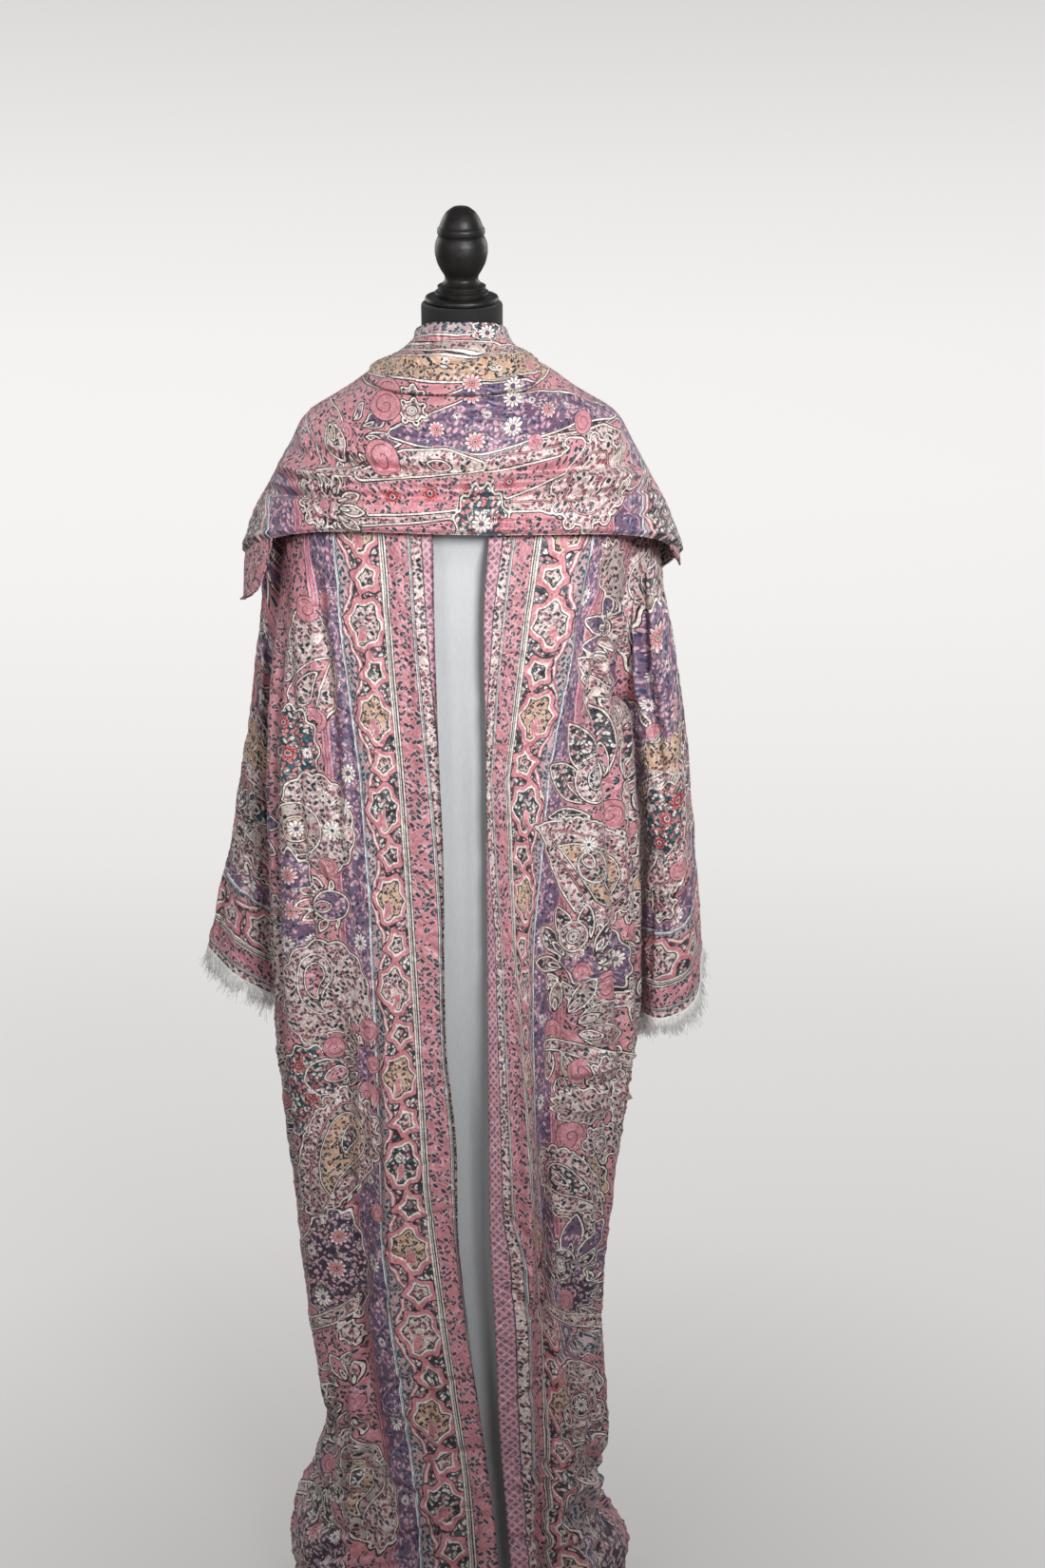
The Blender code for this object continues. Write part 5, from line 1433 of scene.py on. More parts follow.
# Figures of the fronts beside the border, as they lie: distance from the opening, then down from the neck
LEFT_FIGURES = [
    ("area", 0.180, 0.314, 0.0648, 1.65, CREAM, 0.56, (), 9),
    ("paisley", 0.197, 0.350, 0.0756, -2.07, -0.7, PINK, CREAM, 0.0),
    ("eye", 0.222, 0.298, 0.0390, 1.59, CREAM, PINK),
    ("rosette", 0.181, 0.251, 0.0154, 2.66, CURL),
    ("rosette", 0.154, 0.242, 0.0125, 0.75, CURL),
    ("rosette", 0.183, 0.376, 0.0148, 1.53, CURL),
    ("area", 0.221, 0.416, 0.0566, 1.30, TEAL, 0.7, FLOWERS),
    ("area", 0.189, 0.495, 0.0597, 1.84, CREAM, 0.78, (), 12),
    ("round", 0.219, 0.504, 0.0330, 3.01, GREY, TAN, 0),
    ("rosette", 0.174, 0.504, 0.0126, 2.90, STAR_GREY),
    ("rosette", 0.181, 0.464, 0.0078, 2.88, STAR_GREY),
    ("rosette", 0.154, 0.473, 0.0103, 3.01, STAR_GREY),
    ("rosette", 0.183, 0.548, 0.0125, 2.19, CURL),
    ("rosette", 0.210, 0.634, 0.0143, 2.28, CURL),
    ("area", 0.233, 0.600, 0.0753, 1.64, PURPLE, 0.48, STARS),
    ("lotus", 0.179, 0.591, 0.0343, 0.06, PINK, TEAL),
    ("eye", 0.207, 0.596, 0.0493, -2.99, PURPLE, PINK),
    ("area", 0.194, 0.704, 0.0706, 1.51, CREAM, 0.88, (), 13),
    ("paisley", 0.207, 0.673, 0.0738, 1.10, 1.9, CREAM, PINK, 0.0),
    ("area", 0.226, 0.826, 0.0634, 1.62, TEAL, 0.76, FLOWERS),
    ("lotus", 0.132, 0.782, 0.0565, -0.01, PINK, TEAL),
    ("eye", 0.179, 0.797, 0.0608, 0.23, TEAL, PINK),
    ("rosette", 0.196, 0.768, 0.0139, 0.57, CURL),
    ("rosette", 0.138, 0.741, 0.0153, 0.51, CURL),
    ("rosette", 0.143, 0.822, 0.0190, 0.48, CURL),
    ("area", 0.206, 0.915, 0.0751, 0.92, GREY, 0.62, (), 11),
    ("paisley", 0.179, 0.873, 0.1666, 0.89, 1.1, GREY, TAN, 0.0149),
    ("rosette", 0.133, 0.965, 0.0113, 0.56, CURL),
    ("area", 0.210, 1.045, 0.0766, 1.38, PLUM, 0.62, STARS),
    ("ribbon", 0.225, 1.104, 0.1556, 3.13, CREAM, 0.0,
     ((0.308, 1.145, 0.0093), (0.233, 1.112, 0.0093), (0.198, 1.095, 0.0093))),
    ("round", 0.204, 1.127, 0.0142, 2.88, CREAM, None, 8),
    ("ribbon", 0.232, 1.169, 0.1537, -2.99, GREY, 0.0,
     ((0.31, 1.214, 0.0091), (0.239, 1.176, 0.0091), (0.21, 1.158, 0.0078))),
    ("area", 0.303, 1.264, 0.0460, 0.76, TEAL, 0.66, FLOWERS),
    ("lotus", 0.198, 1.207, 0.0527, 0.03, PINK, CREAM),
    ("area", 0.279, 1.222, 0.0509, 1.60, TEAL, 0.62, FLOWERS),
    ("area", 0.209, 1.322, 0.0684, 1.90, CREAM, 0.72, (), 14),
    ("paisley", 0.211, 1.302, 0.1088, 0.99, 1.6, GREY, TAN, 0.0),
    ("area", 0.299, 1.394, 0.0678, 2.75, PLUM, 0.66, STARS),
    ("ribbon", 0.318, 1.361, 0.1880, -2.75, CREAM, 0.0,
     ((0.407, 1.392, 0.0066), (0.321, 1.359, 0.0079), (0.266, 1.345, 0.0066))),
    ("lotus", 0.286, 1.315, 0.0547, 0.87, DARK, CREAM),
]
RIGHT_FIGURES = [
    ("area", 0.195, 0.219, 0.0618, 0.83, GREY, 0.38, (), 0),
    ("lotus", 0.236, 0.287, 0.0519, -2.81, PURPLE, CREAM),
    ("eye", 0.203, 0.271, 0.0569, 0.41, CREAM, DARK),
    ("paisley", 0.240, 0.372, 0.1247, -2.26, -0.5, CREAM, CREAM, 0.0138),
    ("eye", 0.224, 0.355, 0.0466, 1.17, GREY, PINK),
    ("lotus", 0.242, 0.493, 0.0944, -2.20, DARK, PINK),
    ("round", 0.201, 0.445, 0.0295, 0.28, CREAM, DARK, 0),
    ("eye", 0.252, 0.509, 0.0395, 1.43, TEAL, CREAM),
    ("paisley", 0.236, 0.570, 0.1689, -2.43, -0.45, CREAM, TAN, 0.0161),
    ("eye", 0.189, 0.530, 0.0464, 0.83, GREY, CREAM),
    ("rosette", 0.196, 0.521, 0.0111, 0.86, STAR_GREY),
    ("area", 0.228, 0.660, 0.0668, 0.50, PURPLE, 0.62, STARS),
    ("lotus", 0.202, 0.673, 0.0592, -2.00, DARK, PURPLE),
    ("round", 0.188, 0.630, 0.0192, 0.32, CREAM, DARK, 0),
    ("ribbon", 0.212, 0.705, 0.1642, 0.01, CREAM, 0.0,
     ((0.16, 0.683, 0.0078), (0.193, 0.7, 0.01), (0.235, 0.72, 0.0111), (0.287, 0.715, 0.01))),
    ("rosette", 0.234, 0.694, 0.0218, -3.08, CURL),
    ("lotus", 0.165, 0.746, 0.0694, 0.09, GREY, CREAM),
    ("ribbon", 0.217, 0.774, 0.2044, -0.03, CREAM, 0.0,
     ((0.155, 0.762, 0.0078), (0.191, 0.765, 0.009), (0.224, 0.777, 0.0101), (0.321, 0.802, 0.0101))),
    ("eye", 0.178, 0.800, 0.0397, 1.17, DARK, PINK),
    ("rosette", 0.203, 0.794, 0.0162, 0.50, CURL),
    ("round", 0.240, 0.803, 0.0225, 0.51, CREAM, None, 8),
    ("area", 0.211, 0.840, 0.0454, 0.09, GREY, 0.5, (), 0),
    ("rosette", 0.193, 0.875, 0.0198, 0.46, CURL),
    ("round", 0.237, 0.893, 0.0251, 0.53, CREAM, PINK, 9),
    ("area", 0.200, 0.941, 0.0550, 0.41, TAN, 0.76, (), 0),
    ("paisley", 0.175, 0.925, 0.1082, 0.53, 0.5, CREAM, DARK, 0.0138),
    ("round", 0.205, 0.993, 0.0154, 0.58, CREAM, None, 7),
    ("area", 0.185, 1.053, 0.0606, 1.77, PLUM, 0.62, (), 0),
    ("lotus", 0.164, 1.082, 0.0810, -0.83, PURPLE, DARK),
    ("round", 0.171, 1.035, 0.0210, 0.41, DARK, CREAM, 0),
    ("ribbon", 0.183, 1.111, 0.1808, 0.33, CREAM, 0.0,
     ((0.096, 1.09, 0.0081), (0.167, 1.11, 0.0094), (0.229, 1.135, 0.0108))),
    ("area", 0.181, 1.148, 0.0362, 0.27, SPRIG, 0.5, (), 0),
    ("area", 0.147, 1.192, 0.0480, 0.34, CREAM, 0.6, (), 9),
    ("rosette", 0.104, 1.180, 0.0135, 0.43, CURL),
    ("area", 0.142, 1.253, 0.0540, 0.40, TEAL, 0.6, FLOWERS),
    ("area", 0.191, 1.354, 0.1010, 3.11, SPRIG, 0.55, (), 0),
    ("round", 0.144, 1.226, 0.0330, 0.48, CREAM, DARK, 5),
    ("eye", 0.111, 1.285, 0.0679, 0.90, CREAM, TEAL),
    ("round", 0.185, 1.400, 0.0347, 0.63, DARK, PINK, 6),
    ("eye", 0.191, 1.281, 0.0514, 2.58, PINK, CREAM),
    ("area", 0.193, 1.432, 0.0467, 0.64, PLUM, 0.7, (), 0),
]

left_rows = border_rows(1.55, 1.0) + field_rows(0.290, 0.60, -0.30, 1.52, 1) + LEFT_FIGURES
right_rows = border_rows(1.55, -1.0) + field_rows(0.268, 0.60, -0.02, 1.52, 0) + RIGHT_FIGURES
heights = body_heights(upper=26, arm=70, lower=320)
front_left = front_panel("abaya_front_left", -1, 104, heights, LEFT_GUIDES, LEFT_HIDDEN, LEFT_CREASES,
                         left_rows)
front_right = front_panel("abaya_front_right", 1, 104, heights, RIGHT_GUIDES, RIGHT_HIDDEN, RIGHT_CREASES,
                          right_rows)

# Creases of the back, from and to (distance along the cloth, height): long ones, then ones across
BACK_CREASES = tuple(
    ((x, top), (x + lean, foot), 0.011, depth, bow, 0.4)
    for x, top, lean, foot, depth, bow in (
        (0.06, 1.20, -0.02, 0.50, -0.0040, 0.006), (0.13, 1.10, 0.01, 0.25, 0.0045, -0.005),
        (0.19, 1.28, -0.02, 0.70, -0.0040, 0.005), (0.26, 1.05, 0.02, 0.20, -0.0040, 0.006),
        (0.31, 0.80, -0.01, 0.10, 0.0050, -0.006), (0.38, 1.15, 0.02, 0.40, -0.0045, 0.005),
        (0.44, 1.25, -0.01, 0.60, 0.0035, 0.004), (0.10, 0.60, 0.03, 0.10, 0.0045, 0.005),
        (0.36, 0.50, -0.03, 0.08, -0.0050, 0.005))
) + tuple(
    ((x, z), (x + w, z + r), 0.009, depth, 0.004, 0.4)
    for x, z, w, r, depth in (
        (0.05, 0.24, 0.12, 0.03, -0.0040), (0.20, 0.20, 0.13, -0.02, -0.0045),
        (0.34, 0.26, 0.10, 0.02, -0.0040), (0.08, 0.12, 0.14, 0.02, -0.0045),
        (0.26, 0.11, 0.13, 0.02, -0.0045), (0.10, 0.33, 0.09, -0.02, -0.0030),
        (0.30, 0.36, 0.09, 0.03, -0.0030)))


def back_panel(columns, heights):
    left, right = seam_turn(heights, -1, 1)[:, None], seam_turn(heights, 1, 1)[:, None]
    share = np.linspace(0.0, 1.0, columns + 1)[None, :]
    turn = wrapped(left + (right - 2.0 - left) * share)
    height = np.repeat(heights[:, None], columns + 1, axis=1)
    base, out = folded_body(height, turn)
    base = base + out * beside_sleeve(height, turn)[..., None]
    arc = run_lengths(base)
    # Distances are counted from centre back, which is at 0.26.
    middle = arc[:, columns // 2][:, None]
    across = arc - middle + 0.26
    moved = deeper_below(height, 2.4, 1.2) * creased(across, height, BACK_CREASES)
    moved = moved + crumple(across, height, 31, 0.036, 0.0011)
    moved = moved + crinkle(across, height, 33, 0.060, 0.0012)
    moved = moved + crumple(across, height, 37, 0.036, 0.0036, 0.5) * ease((0.36 - height) / 0.30)
    points = base + out * (moved * above_hem(height))[..., None]
    flat = np.stack([across + 0.25, NECK_SEAM_Z - height], axis=-1)
    rows = scatter(0.14, 0.90, 0.02, 1.52, 71) + field_rows(0.14, 0.95, -0.05, 1.52)
    return cloth_piece("abaya_back", points, out, CLOTH, False, flat, rows,
                       np.full_like(arc, BEYOND_BORDER))


back = back_panel(110, body_heights(20, 56, 236))


# Sleeves and fringes


def armhole_point(side, around):
    height = armhole_height(around)
    turn = side * (SIDE_TURN - ARMHOLE_TURN * np.sin(around))
    point, out = folded_body(height, turn)
    middle, _ = folded_body(np.array([armhole_height(pi / 2)]), np.array([side * SIDE_TURN]))
    inward = middle[0] - point
    inward = inward - out * (inward * out).sum(-1, keepdims=True)
    return point + unit(inward) * (2.0 * SEAM_GAP), out


def sleeve_ring(rows, side, along, around, dip):
    outer_x, outer_z, inner_x, inner_z, front_x, front_y, back_x, back_y = table(rows, along)
    middle_y, middle_z = (front_y + back_y) / 2, (outer_z + inner_z) / 2
    outer = np.stack([outer_x, middle_y, outer_z], -1)
    inner = np.stack([inner_x, middle_y, inner_z], -1)
    front = np.stack([front_x, front_y, middle_z], -1)
    back = np.stack([back_x, back_y, middle_z], -1)
    c, s = np.cos(around)[..., None], np.sin(around)[..., None]
    point = (outer + inner + front + back) / 4 + (outer - inner) / 2 * c + (front - back) / 2 * s
    point = point + (outer + inner - front - back) / 4 * np.cos(2.0 * around)[..., None]
    point[..., 2] -= dip * ease((along - 0.55) / 0.45) * np.maximum(0.0, np.sin(around + 0.5)) ** 2
    point[..., 0] *= side
    return point, (front + back) / 2 * np.array([side, 1.0, 1.0])


def sleeve_grid(rows, side, along, around, dip):
    first = rows[0][0]
    ring, middle = sleeve_ring(rows, side, np.maximum(along, first), around, dip)
    start, start_out = armhole_point(side, around)
    share = np.clip(along / first, 0.0, 1.0)[..., None]
    out = unit(ring - middle)
    ring = start + (ring - start) * share
    wave = np.sin(SLEEVE_FOLDS * around + 2.6 * along + side)
    points = ring + unit(ring - middle) * (SLEEVE_FOLD_DEPTH * ease(along / 0.45) * wave)[..., None]
    return points, unit(start_out * (1.0 - share) + out * share)


def sleeve(name, rows, side, dip, columns, steps, seed, creases, figure_rows):
    along = np.concatenate([np.linspace(0.0, 0.08, 8, endpoint=False), np.linspace(0.08, 1.0, steps)])
    around = np.linspace(pi, 3.0 * pi, columns + 1)
    along, around = np.meshgrid(along, around, indexing="ij")
    base, out = sleeve_grid(rows, side, along, around, dip)
    out = shell_normals(base, out, True)
    if side > 0:
        # The sleeve leans on the body below the arm.
        lean = bump((along - 0.36) / 0.32) * np.maximum(0.0, -np.cos(around)) ** 2
        base[..., 0] -= 0.0065 * lean
    # Flat coordinates: the distance from the cuff along the arm, and the distance round the arm.
    middle = base[:, :-1].mean(axis=1)
    axis = unit(middle[-1] - middle[int(0.35 * steps)])
    from_cuff = run_lengths(base[::-1], axis=0)[::-1]
    level = base - (base * axis).sum(-1, keepdims=True) * axis
    arc = run_lengths(level)
    ahead = 3 * columns // 4
    across = arc - arc[:, ahead][:, None] + 0.25
    # The front's middle wanders across the arm, and the coordinates with it.
    front = base[:, ahead]
    forward = base[:, ahead + 2] - base[:, ahead - 2]
    forward = unit(forward - (forward * axis).sum(-1, keepdims=True) * axis)
    wander = ((front[:-1] - front[1:]) * (forward[:-1] + forward[1:]) / 2.0).sum(-1)[::-1]
    across = across + np.concatenate([[0.0], np.cumsum(wander)])[::-1][:, None]
    # The puckers close round the arm.
    round_x, round_y = np.cos(around) * 0.07, from_cuff + np.sin(around) * 0.07
    moved = 2.2 * creased(across, from_cuff, creases)
    moved = moved + crumple(round_x, round_y, seed, 0.034, 0.0014)
    moved = moved + crinkle(round_x, round_y, seed + 5, 0.060, 0.0012)
    fade = ease(along / 0.10) * ease((1.0 - along) / 0.03)
    points = base + out * (moved * fade)[..., None]
    # The cuff is lifted on the outside.
    points[..., 2] += CUFF_LIFT[side > 0] * np.cos(around) * ease((along - 0.55) / 0.45)
    points[:, -1] = points[:, 0]
    flat = np.stack([from_cuff + 0.0205, across], axis=-1)
    return cloth_piece(name, points, out, CLOTH, True, flat, figure_rows, flat[..., 0])


def fringe(name, rows, side, dip, count, seed):
    # Loose threads and twisted locks along the cuff's edge.
    rng = np.random.default_rng(seed)
    around = np.sort(rng.uniform(0.0, 2.0 * pi, count))
    edge, _ = sleeve_grid(rows, side, np.ones(count), around, dip)
    before, _ = sleeve_grid(rows, side, np.full(count, 0.97), around, dip)
    after, _ = sleeve_grid(rows, side, np.ones(count), around + 0.02, dip)
    for ring, angle in ((edge, around), (before, around), (after, around + 0.02)):
        ring[:, 2] += CUFF_LIFT[side > 0] * np.cos(angle)
    fall = unit(edge - before)
    across = unit(after - edge)
    verts, faces = [], []
    sides, joints = 3, 6
    clump = rng.uniform(-1.0, 1.0, 90)
    for i in range(count):
        lock = int(around[i] / (2.0 * pi) * 88.0)
        reach = 0.0220 * (0.75 + 0.40 * clump[lock]) * rng.uniform(0.50, 1.20) + 0.004
        lean = 0.45 * clump[lock + 1] + rng.normal(0.0, 0.22)
        curl = rng.normal(0.0, 0.35)
        down = unit(fall[i] * 0.8 + np.array([0.0, 0.0, -0.55]) + across[i] * lean)
        cross = unit(np.cross(down, across[i]))
        swing = across[i] * curl + cross * rng.normal(0.0, 0.35)
        radius = rng.uniform(0.00032, 0.00058)
        start = edge[i] - fall[i] * 0.0030 + cross * rng.uniform(-0.0004, 0.0004)
        first = len(verts)
        for j in range(joints):
            t = j / (joints - 1)
            centre = start + down * (reach + 0.003) * t + swing * reach * (t ** 2) * 0.5
            centre = centre + across[i] * 0.0004 * sin(9.0 * t + i)
            thin = radius * (1.0 - 0.55 * t)
            for s in range(sides):
                a = 2.0 * pi * s / sides
                verts.append(centre + across[i] * (cos(a) * thin) + cross * (sin(a) * thin))
        for j in range(joints - 1):
            for s in range(sides):
                a, b = first + j * sides + s, first + j * sides + (s + 1) % sides
                faces.append((a, b, b + sides, a + sides))
        faces.append((first, first + 2, first + 1))
        last = first + (joints - 1) * sides
        faces.append((last, last + 1, last + 2))
    return riding(smooth_mesh(name, [tuple(v) for v in verts], faces, fringe_thread))


# Figures on the sleeves' fronts: distance from the cuff, then round the arm
LEFT_SLEEVE_FIGURES = [
    ("rosette", 0.475, 0.243, 0.0156, -2.65, CURL),
    ("area", 0.439, 0.251, 0.0279, 2.69, PURPLE, 0.6, STARS),
    ("area", 0.334, 0.232, 0.0279, 1.12, CREAM, 0.7, (), 7),
    ("rosette", 0.367, 0.215, 0.0226, -2.53, CURL),
    ("area", 0.304, 0.224, 0.0424, 1.29, TAN, 0.66, (), 0),
    ("ribbon", 0.272, 0.229, 0.0969, 0.97, CREAM, 0.0,
     ((0.27, 0.203, 0.0068), (0.272, 0.229, 0.0068), (0.275, 0.259, 0.0068))),
    ("lotus", 0.193, 0.191, 0.0460, 0.15, DARK, CREAM),
    ("eye", 0.232, 0.230, 0.0434, 1.09, TEAL, CREAM),
]
RIGHT_SLEEVE_FIGURES = [
    ("ribbon", 0.479, 0.206, 0.1200, -2.40, CREAM, 0.0,
     ((0.502, 0.265, 0.0085), (0.493, 0.219, 0.0085), (0.473, 0.193, 0.0085))),
    ("area", 0.426, 0.230, 0.0949, -2.97, PURPLE, 0.46, (), 0),
    ("rosette", 0.477, 0.236, 0.0192, -2.19, STAR_PINK),
    ("rosette", 0.383, 0.211, 0.0166, -2.37, STAR_PINK),
    ("rosette", 0.436, 0.220, 0.0072, -2.43, DAISY),
    ("rosette", 0.432, 0.254, 0.0088, -1.77, DAISY),
    ("rosette", 0.397, 0.258, 0.0087, -1.64, DAISY),
    ("rosette", 0.389, 0.179, 0.0064, -2.49, DAISY),
    ("rosette", 0.365, 0.248, 0.0124, -1.71, CURL),
    ("area", 0.337, 0.231, 0.0395, -1.51, TAN, 0.62, (), 0),
    ("ribbon", 0.316, 0.238, 0.1449, -1.56, CREAM, 0.0,
     ((0.287, 0.279, 0.0071), (0.316, 0.238, 0.0071), (0.28, 0.17, 0.0071))),
    ("area", 0.264, 0.239, 0.0505, -0.72, TEAL, 0.72, FLOWERS),
    ("rosette", 0.282, 0.223, 0.0117, -2.39, STAR_RED),
]
LEFT_SLEEVE_CREASES = (
    ((0.225, 0.433), (0.254, 0.409), 0.0080, -0.0030, 0.004, 0.4),
    ((0.212, 0.370), (0.201, 0.270), 0.0090, -0.0030, -0.004, 0.3),
    ((0.195, 0.276), (0.256, 0.289), 0.0070, -0.0026, 0.004, 0.5),
    ((0.204, 0.247), (0.254, 0.242), 0.0070, 0.0026, 0.003, 0.0),
    ((0.191, 0.171), (0.251, 0.185), 0.0080, -0.0030, 0.004, 0.4),
    ((0.235, 0.212), (0.232, 0.078), 0.0090, -0.0032, 0.005, 0.4),
    ((0.178, 0.103), (0.261, 0.111), 0.0080, 0.0025, -0.003, 0.0),
    ((0.189, 0.151), (0.186, 0.013), 0.0100, -0.0030, -0.004, 0.4),
)
RIGHT_SLEEVE_CREASES = (
    ((0.250, 0.538), (0.252, 0.340), 0.0075, -0.0062, 0.004, 0.8),
    ((0.260, 0.517), (0.265, 0.371), 0.0070, 0.0040, 0.003, 0.0),
    ((0.245, 0.427), (0.237, 0.246), 0.0080, -0.0030, 0.004, 0.4),
    ((0.253, 0.317), (0.173, 0.291), 0.0070, -0.0024, 0.003, 0.4),
    ((0.288, 0.207), (0.178, 0.205), 0.0080, -0.0030, 0.004, 0.5),
    ((0.285, 0.153), (0.186, 0.153), 0.0080, 0.0026, -0.003, 0.0),
    ((0.239, 0.245), (0.246, 0.093), 0.0090, 0.0030, 0.004, 0.0),
    ((0.205, 0.485), (0.223, 0.414), 0.0080, -0.0030, 0.004, 0.4),
    ((0.259, 0.164), (0.279, 0.041), 0.0090, -0.0034, 0.004, 0.5),
)

left_rows = border_rows(0.50, 1.0) + field_rows(0.168, 0.60, -0.20, 0.50, 0) + LEFT_SLEEVE_FIGURES
right_rows = border_rows(0.50, -1.0) + field_rows(0.168, 0.60, -0.26, 0.50, 1) + RIGHT_SLEEVE_FIGURES
sleeve_left = sleeve("abaya_sleeve_left", LEFT_SLEEVE_ROWS, -1, LEFT_CUFF_DIP, 112, 130, 41,
                     LEFT_SLEEVE_CREASES, left_rows)
sleeve_right = sleeve("abaya_sleeve_right", RIGHT_SLEEVE_ROWS, 1, RIGHT_CUFF_DIP, 112, 130, 42,
                      RIGHT_SLEEVE_CREASES, right_rows)
fringe_left = fringe("cuff_fringe_left", LEFT_SLEEVE_ROWS, -1, LEFT_CUFF_DIP, 2100, 51)
fringe_right = fringe("cuff_fringe_right", RIGHT_SLEEVE_ROWS, 1, RIGHT_CUFF_DIP, 2100, 52)


# The plain cloth in the opening


def inner_panel(columns, steps):
    height = np.linspace(INNER_TOP_Z, HEM_CLEAR, steps + 1)[:, None]
    left_x, right_x = table(OPENING_ROWS, height)
    behind = SOLID_CLOTH + INNER_SEAM + INNER_BEHIND * ease((INNER_TOP_Z - 0.020 - height) / 0.080)
    share = np.linspace(0.0, 1.0, columns + 1)[None, :]
    left_x, right_x = left_x - INNER_UNDERLAP, right_x + INNER_UNDERLAP
    x = left_x + (right_x - left_x) * share
    height = height + 0.0 * x
    turn = front_turn(x, height)
    out = body_normal(height, turn)
    out[..., 2] = 0.0
    out = unit(out)
    fade = ease((1.30 - height) / 0.30)
    deep = ease((0.92 - height) / 0.35)
    soft = (0.0022 * fade + 0.0040 * deep) * np.sin(4.2 * share * pi + 0.6 + 0.9 * height)
    soft = soft + 0.0014 * fade * np.sin(8.0 * share * pi + 1.8 * height + 1.0)
    soft = soft + 0.0005 * fade * np.sin(15.0 * share * pi - 2.6 * height)
    points = body_base(height, turn) - out * (behind + soft + 0.0130 * deep)[..., None]
    out = shell_normals(points, out, False)
    return grid_piece("inner_cloth", points, out, CLOTH, False, None, {}, inner_cloth)


inner = inner_panel(columns=44, steps=230)


# The shawl


def shawl_base(down, turn):
    turn = wrapped(turn)
    side_x, side_z, front_y, front_z, back_y, back_z = table(SHAWL_ROWS, down)
    share = np.abs(np.sin(turn * pi)) ** (2.0 / SHAWL_ROUND)
    depth = np.abs(np.cos(turn * pi)) ** (2.0 / SHAWL_ROUND)
    ahead = np.abs(turn) <= 0.5
    face_y, face_z = np.where(ahead, front_y, back_y), np.where(ahead, front_z, back_z)
    middle_y = NECK_TOP.y * ease(1.0 - down / 0.3)
    x = np.where(turn >= 0.0, side_x * share, -side_x * share)
    return np.stack([x, middle_y + (face_y - middle_y) * depth,
                     side_z + (face_z - side_z) * ease(depth)], -1)


def shawl_normal(down, turn):
    outward = np.stack([np.sin(turn * pi), -np.cos(turn * pi), 0.6 + 0.0 * turn], -1)
    return normals(lambda t, d: shawl_base(d, t), turn, down, outward)


def swag_height(down, turn):
    behind = (0.004 * ease((np.abs(turn) - 0.5) / 0.2) * np.sin(13.0 * turn + 9.0 * down)
              * ease((down - 0.3) / 0.3))
    moved = 0.0 * down
    for left, centre, right, half_width, depth in SWAG_ROWS:
        edge = np.where(turn > 0, right, left)
        middle = edge + (centre - edge) * np.cos(np.minimum(1.0, np.abs(turn) / 0.5) * pi / 2)
        moved = moved + depth * bump((down - middle) / half_width) * ease((0.5 - np.abs(turn)) / 0.15)
    return np.where(np.abs(turn) > 0.5, behind, moved)


def neck_band_foot(turn):
    edge = np.where(turn > 0, NECK_BAND_RIGHT, NECK_BAND_LEFT)
    share = np.cos(np.minimum(1.0, np.abs(turn) / 0.5) * pi / 2)
    return np.where(np.abs(turn) <= 0.5, edge + (NECK_BAND_FRONT - edge) * share,
                    edge + (NECK_BAND_BACK - edge) * ease((np.abs(turn) - 0.5) / 0.5))


def front_edge(turn):
    return 1.0 + 0.012 * np.sin(11.0 * turn + 0.8) * ease((0.5 - np.abs(turn)) / 0.1)


# Creases of the shawl: from and to (turn, down), half-width and depth in the same measure as down
SHAWL_CREASES = (
    ((-0.34, 0.44), (-0.02, 0.60), 0.030, -0.0050, 0.030, 0.6),
    ((0.02, 0.64), (0.34, 0.44), 0.030, -0.0045, 0.030, 0.5),
    ((-0.30, 0.30), (0.02, 0.42), 0.026, -0.0040, 0.025, 0.5),
    ((0.05, 0.42), (0.36, 0.26), 0.028, -0.0045, 0.020, 0.4),
    ((-0.10, 0.34), (0.20, 0.36), 0.024, 0.0035, 0.010, 0.0),
    ((-0.42, 0.62), (-0.10, 0.80), 0.030, -0.0045, 0.030, 0.6),
    ((-0.05, 0.84), (0.30, 0.70), 0.028, -0.0040, 0.020, 0.3),
    ((0.20, 0.56), (0.42, 0.36), 0.030, 0.0050, 0.020, 0.0),
    ((-0.40, 0.52), (-0.16, 0.66), 0.028, 0.0050, 0.020, 0.0),
    ((-0.20, 0.93), (0.16, 0.92), 0.022, -0.0030, 0.008, 0.3),
    ((0.24, 0.86), (0.46, 0.74), 0.026, -0.0040, 0.020, 0.4),
    ((0.14, 0.24), (0.30, 0.20), 0.020, -0.0040, 0.010, 0.6),
    ((-0.42, 0.17), (0.12, 0.105), 0.020, -0.0050, 0.012, 0.6),
    ((-0.10, 0.125), (0.32, 0.070), 0.018, -0.0045, 0.008, 0.5),
    ((-0.45, 0.085), (0.02, 0.045), 0.014, -0.0040, 0.006, 0.4),
    ((0.08, 0.215), (0.34, 0.100), 0.020, -0.0050, 0.010, 0.5),
    ((0.19, 0.210), (0.27, 0.110), 0.018, 0.0055, 0.000, 0.0),
    ((-0.30, 0.200), (0.05, 0.190), 0.016, 0.0035, 0.016, 0.0),
)


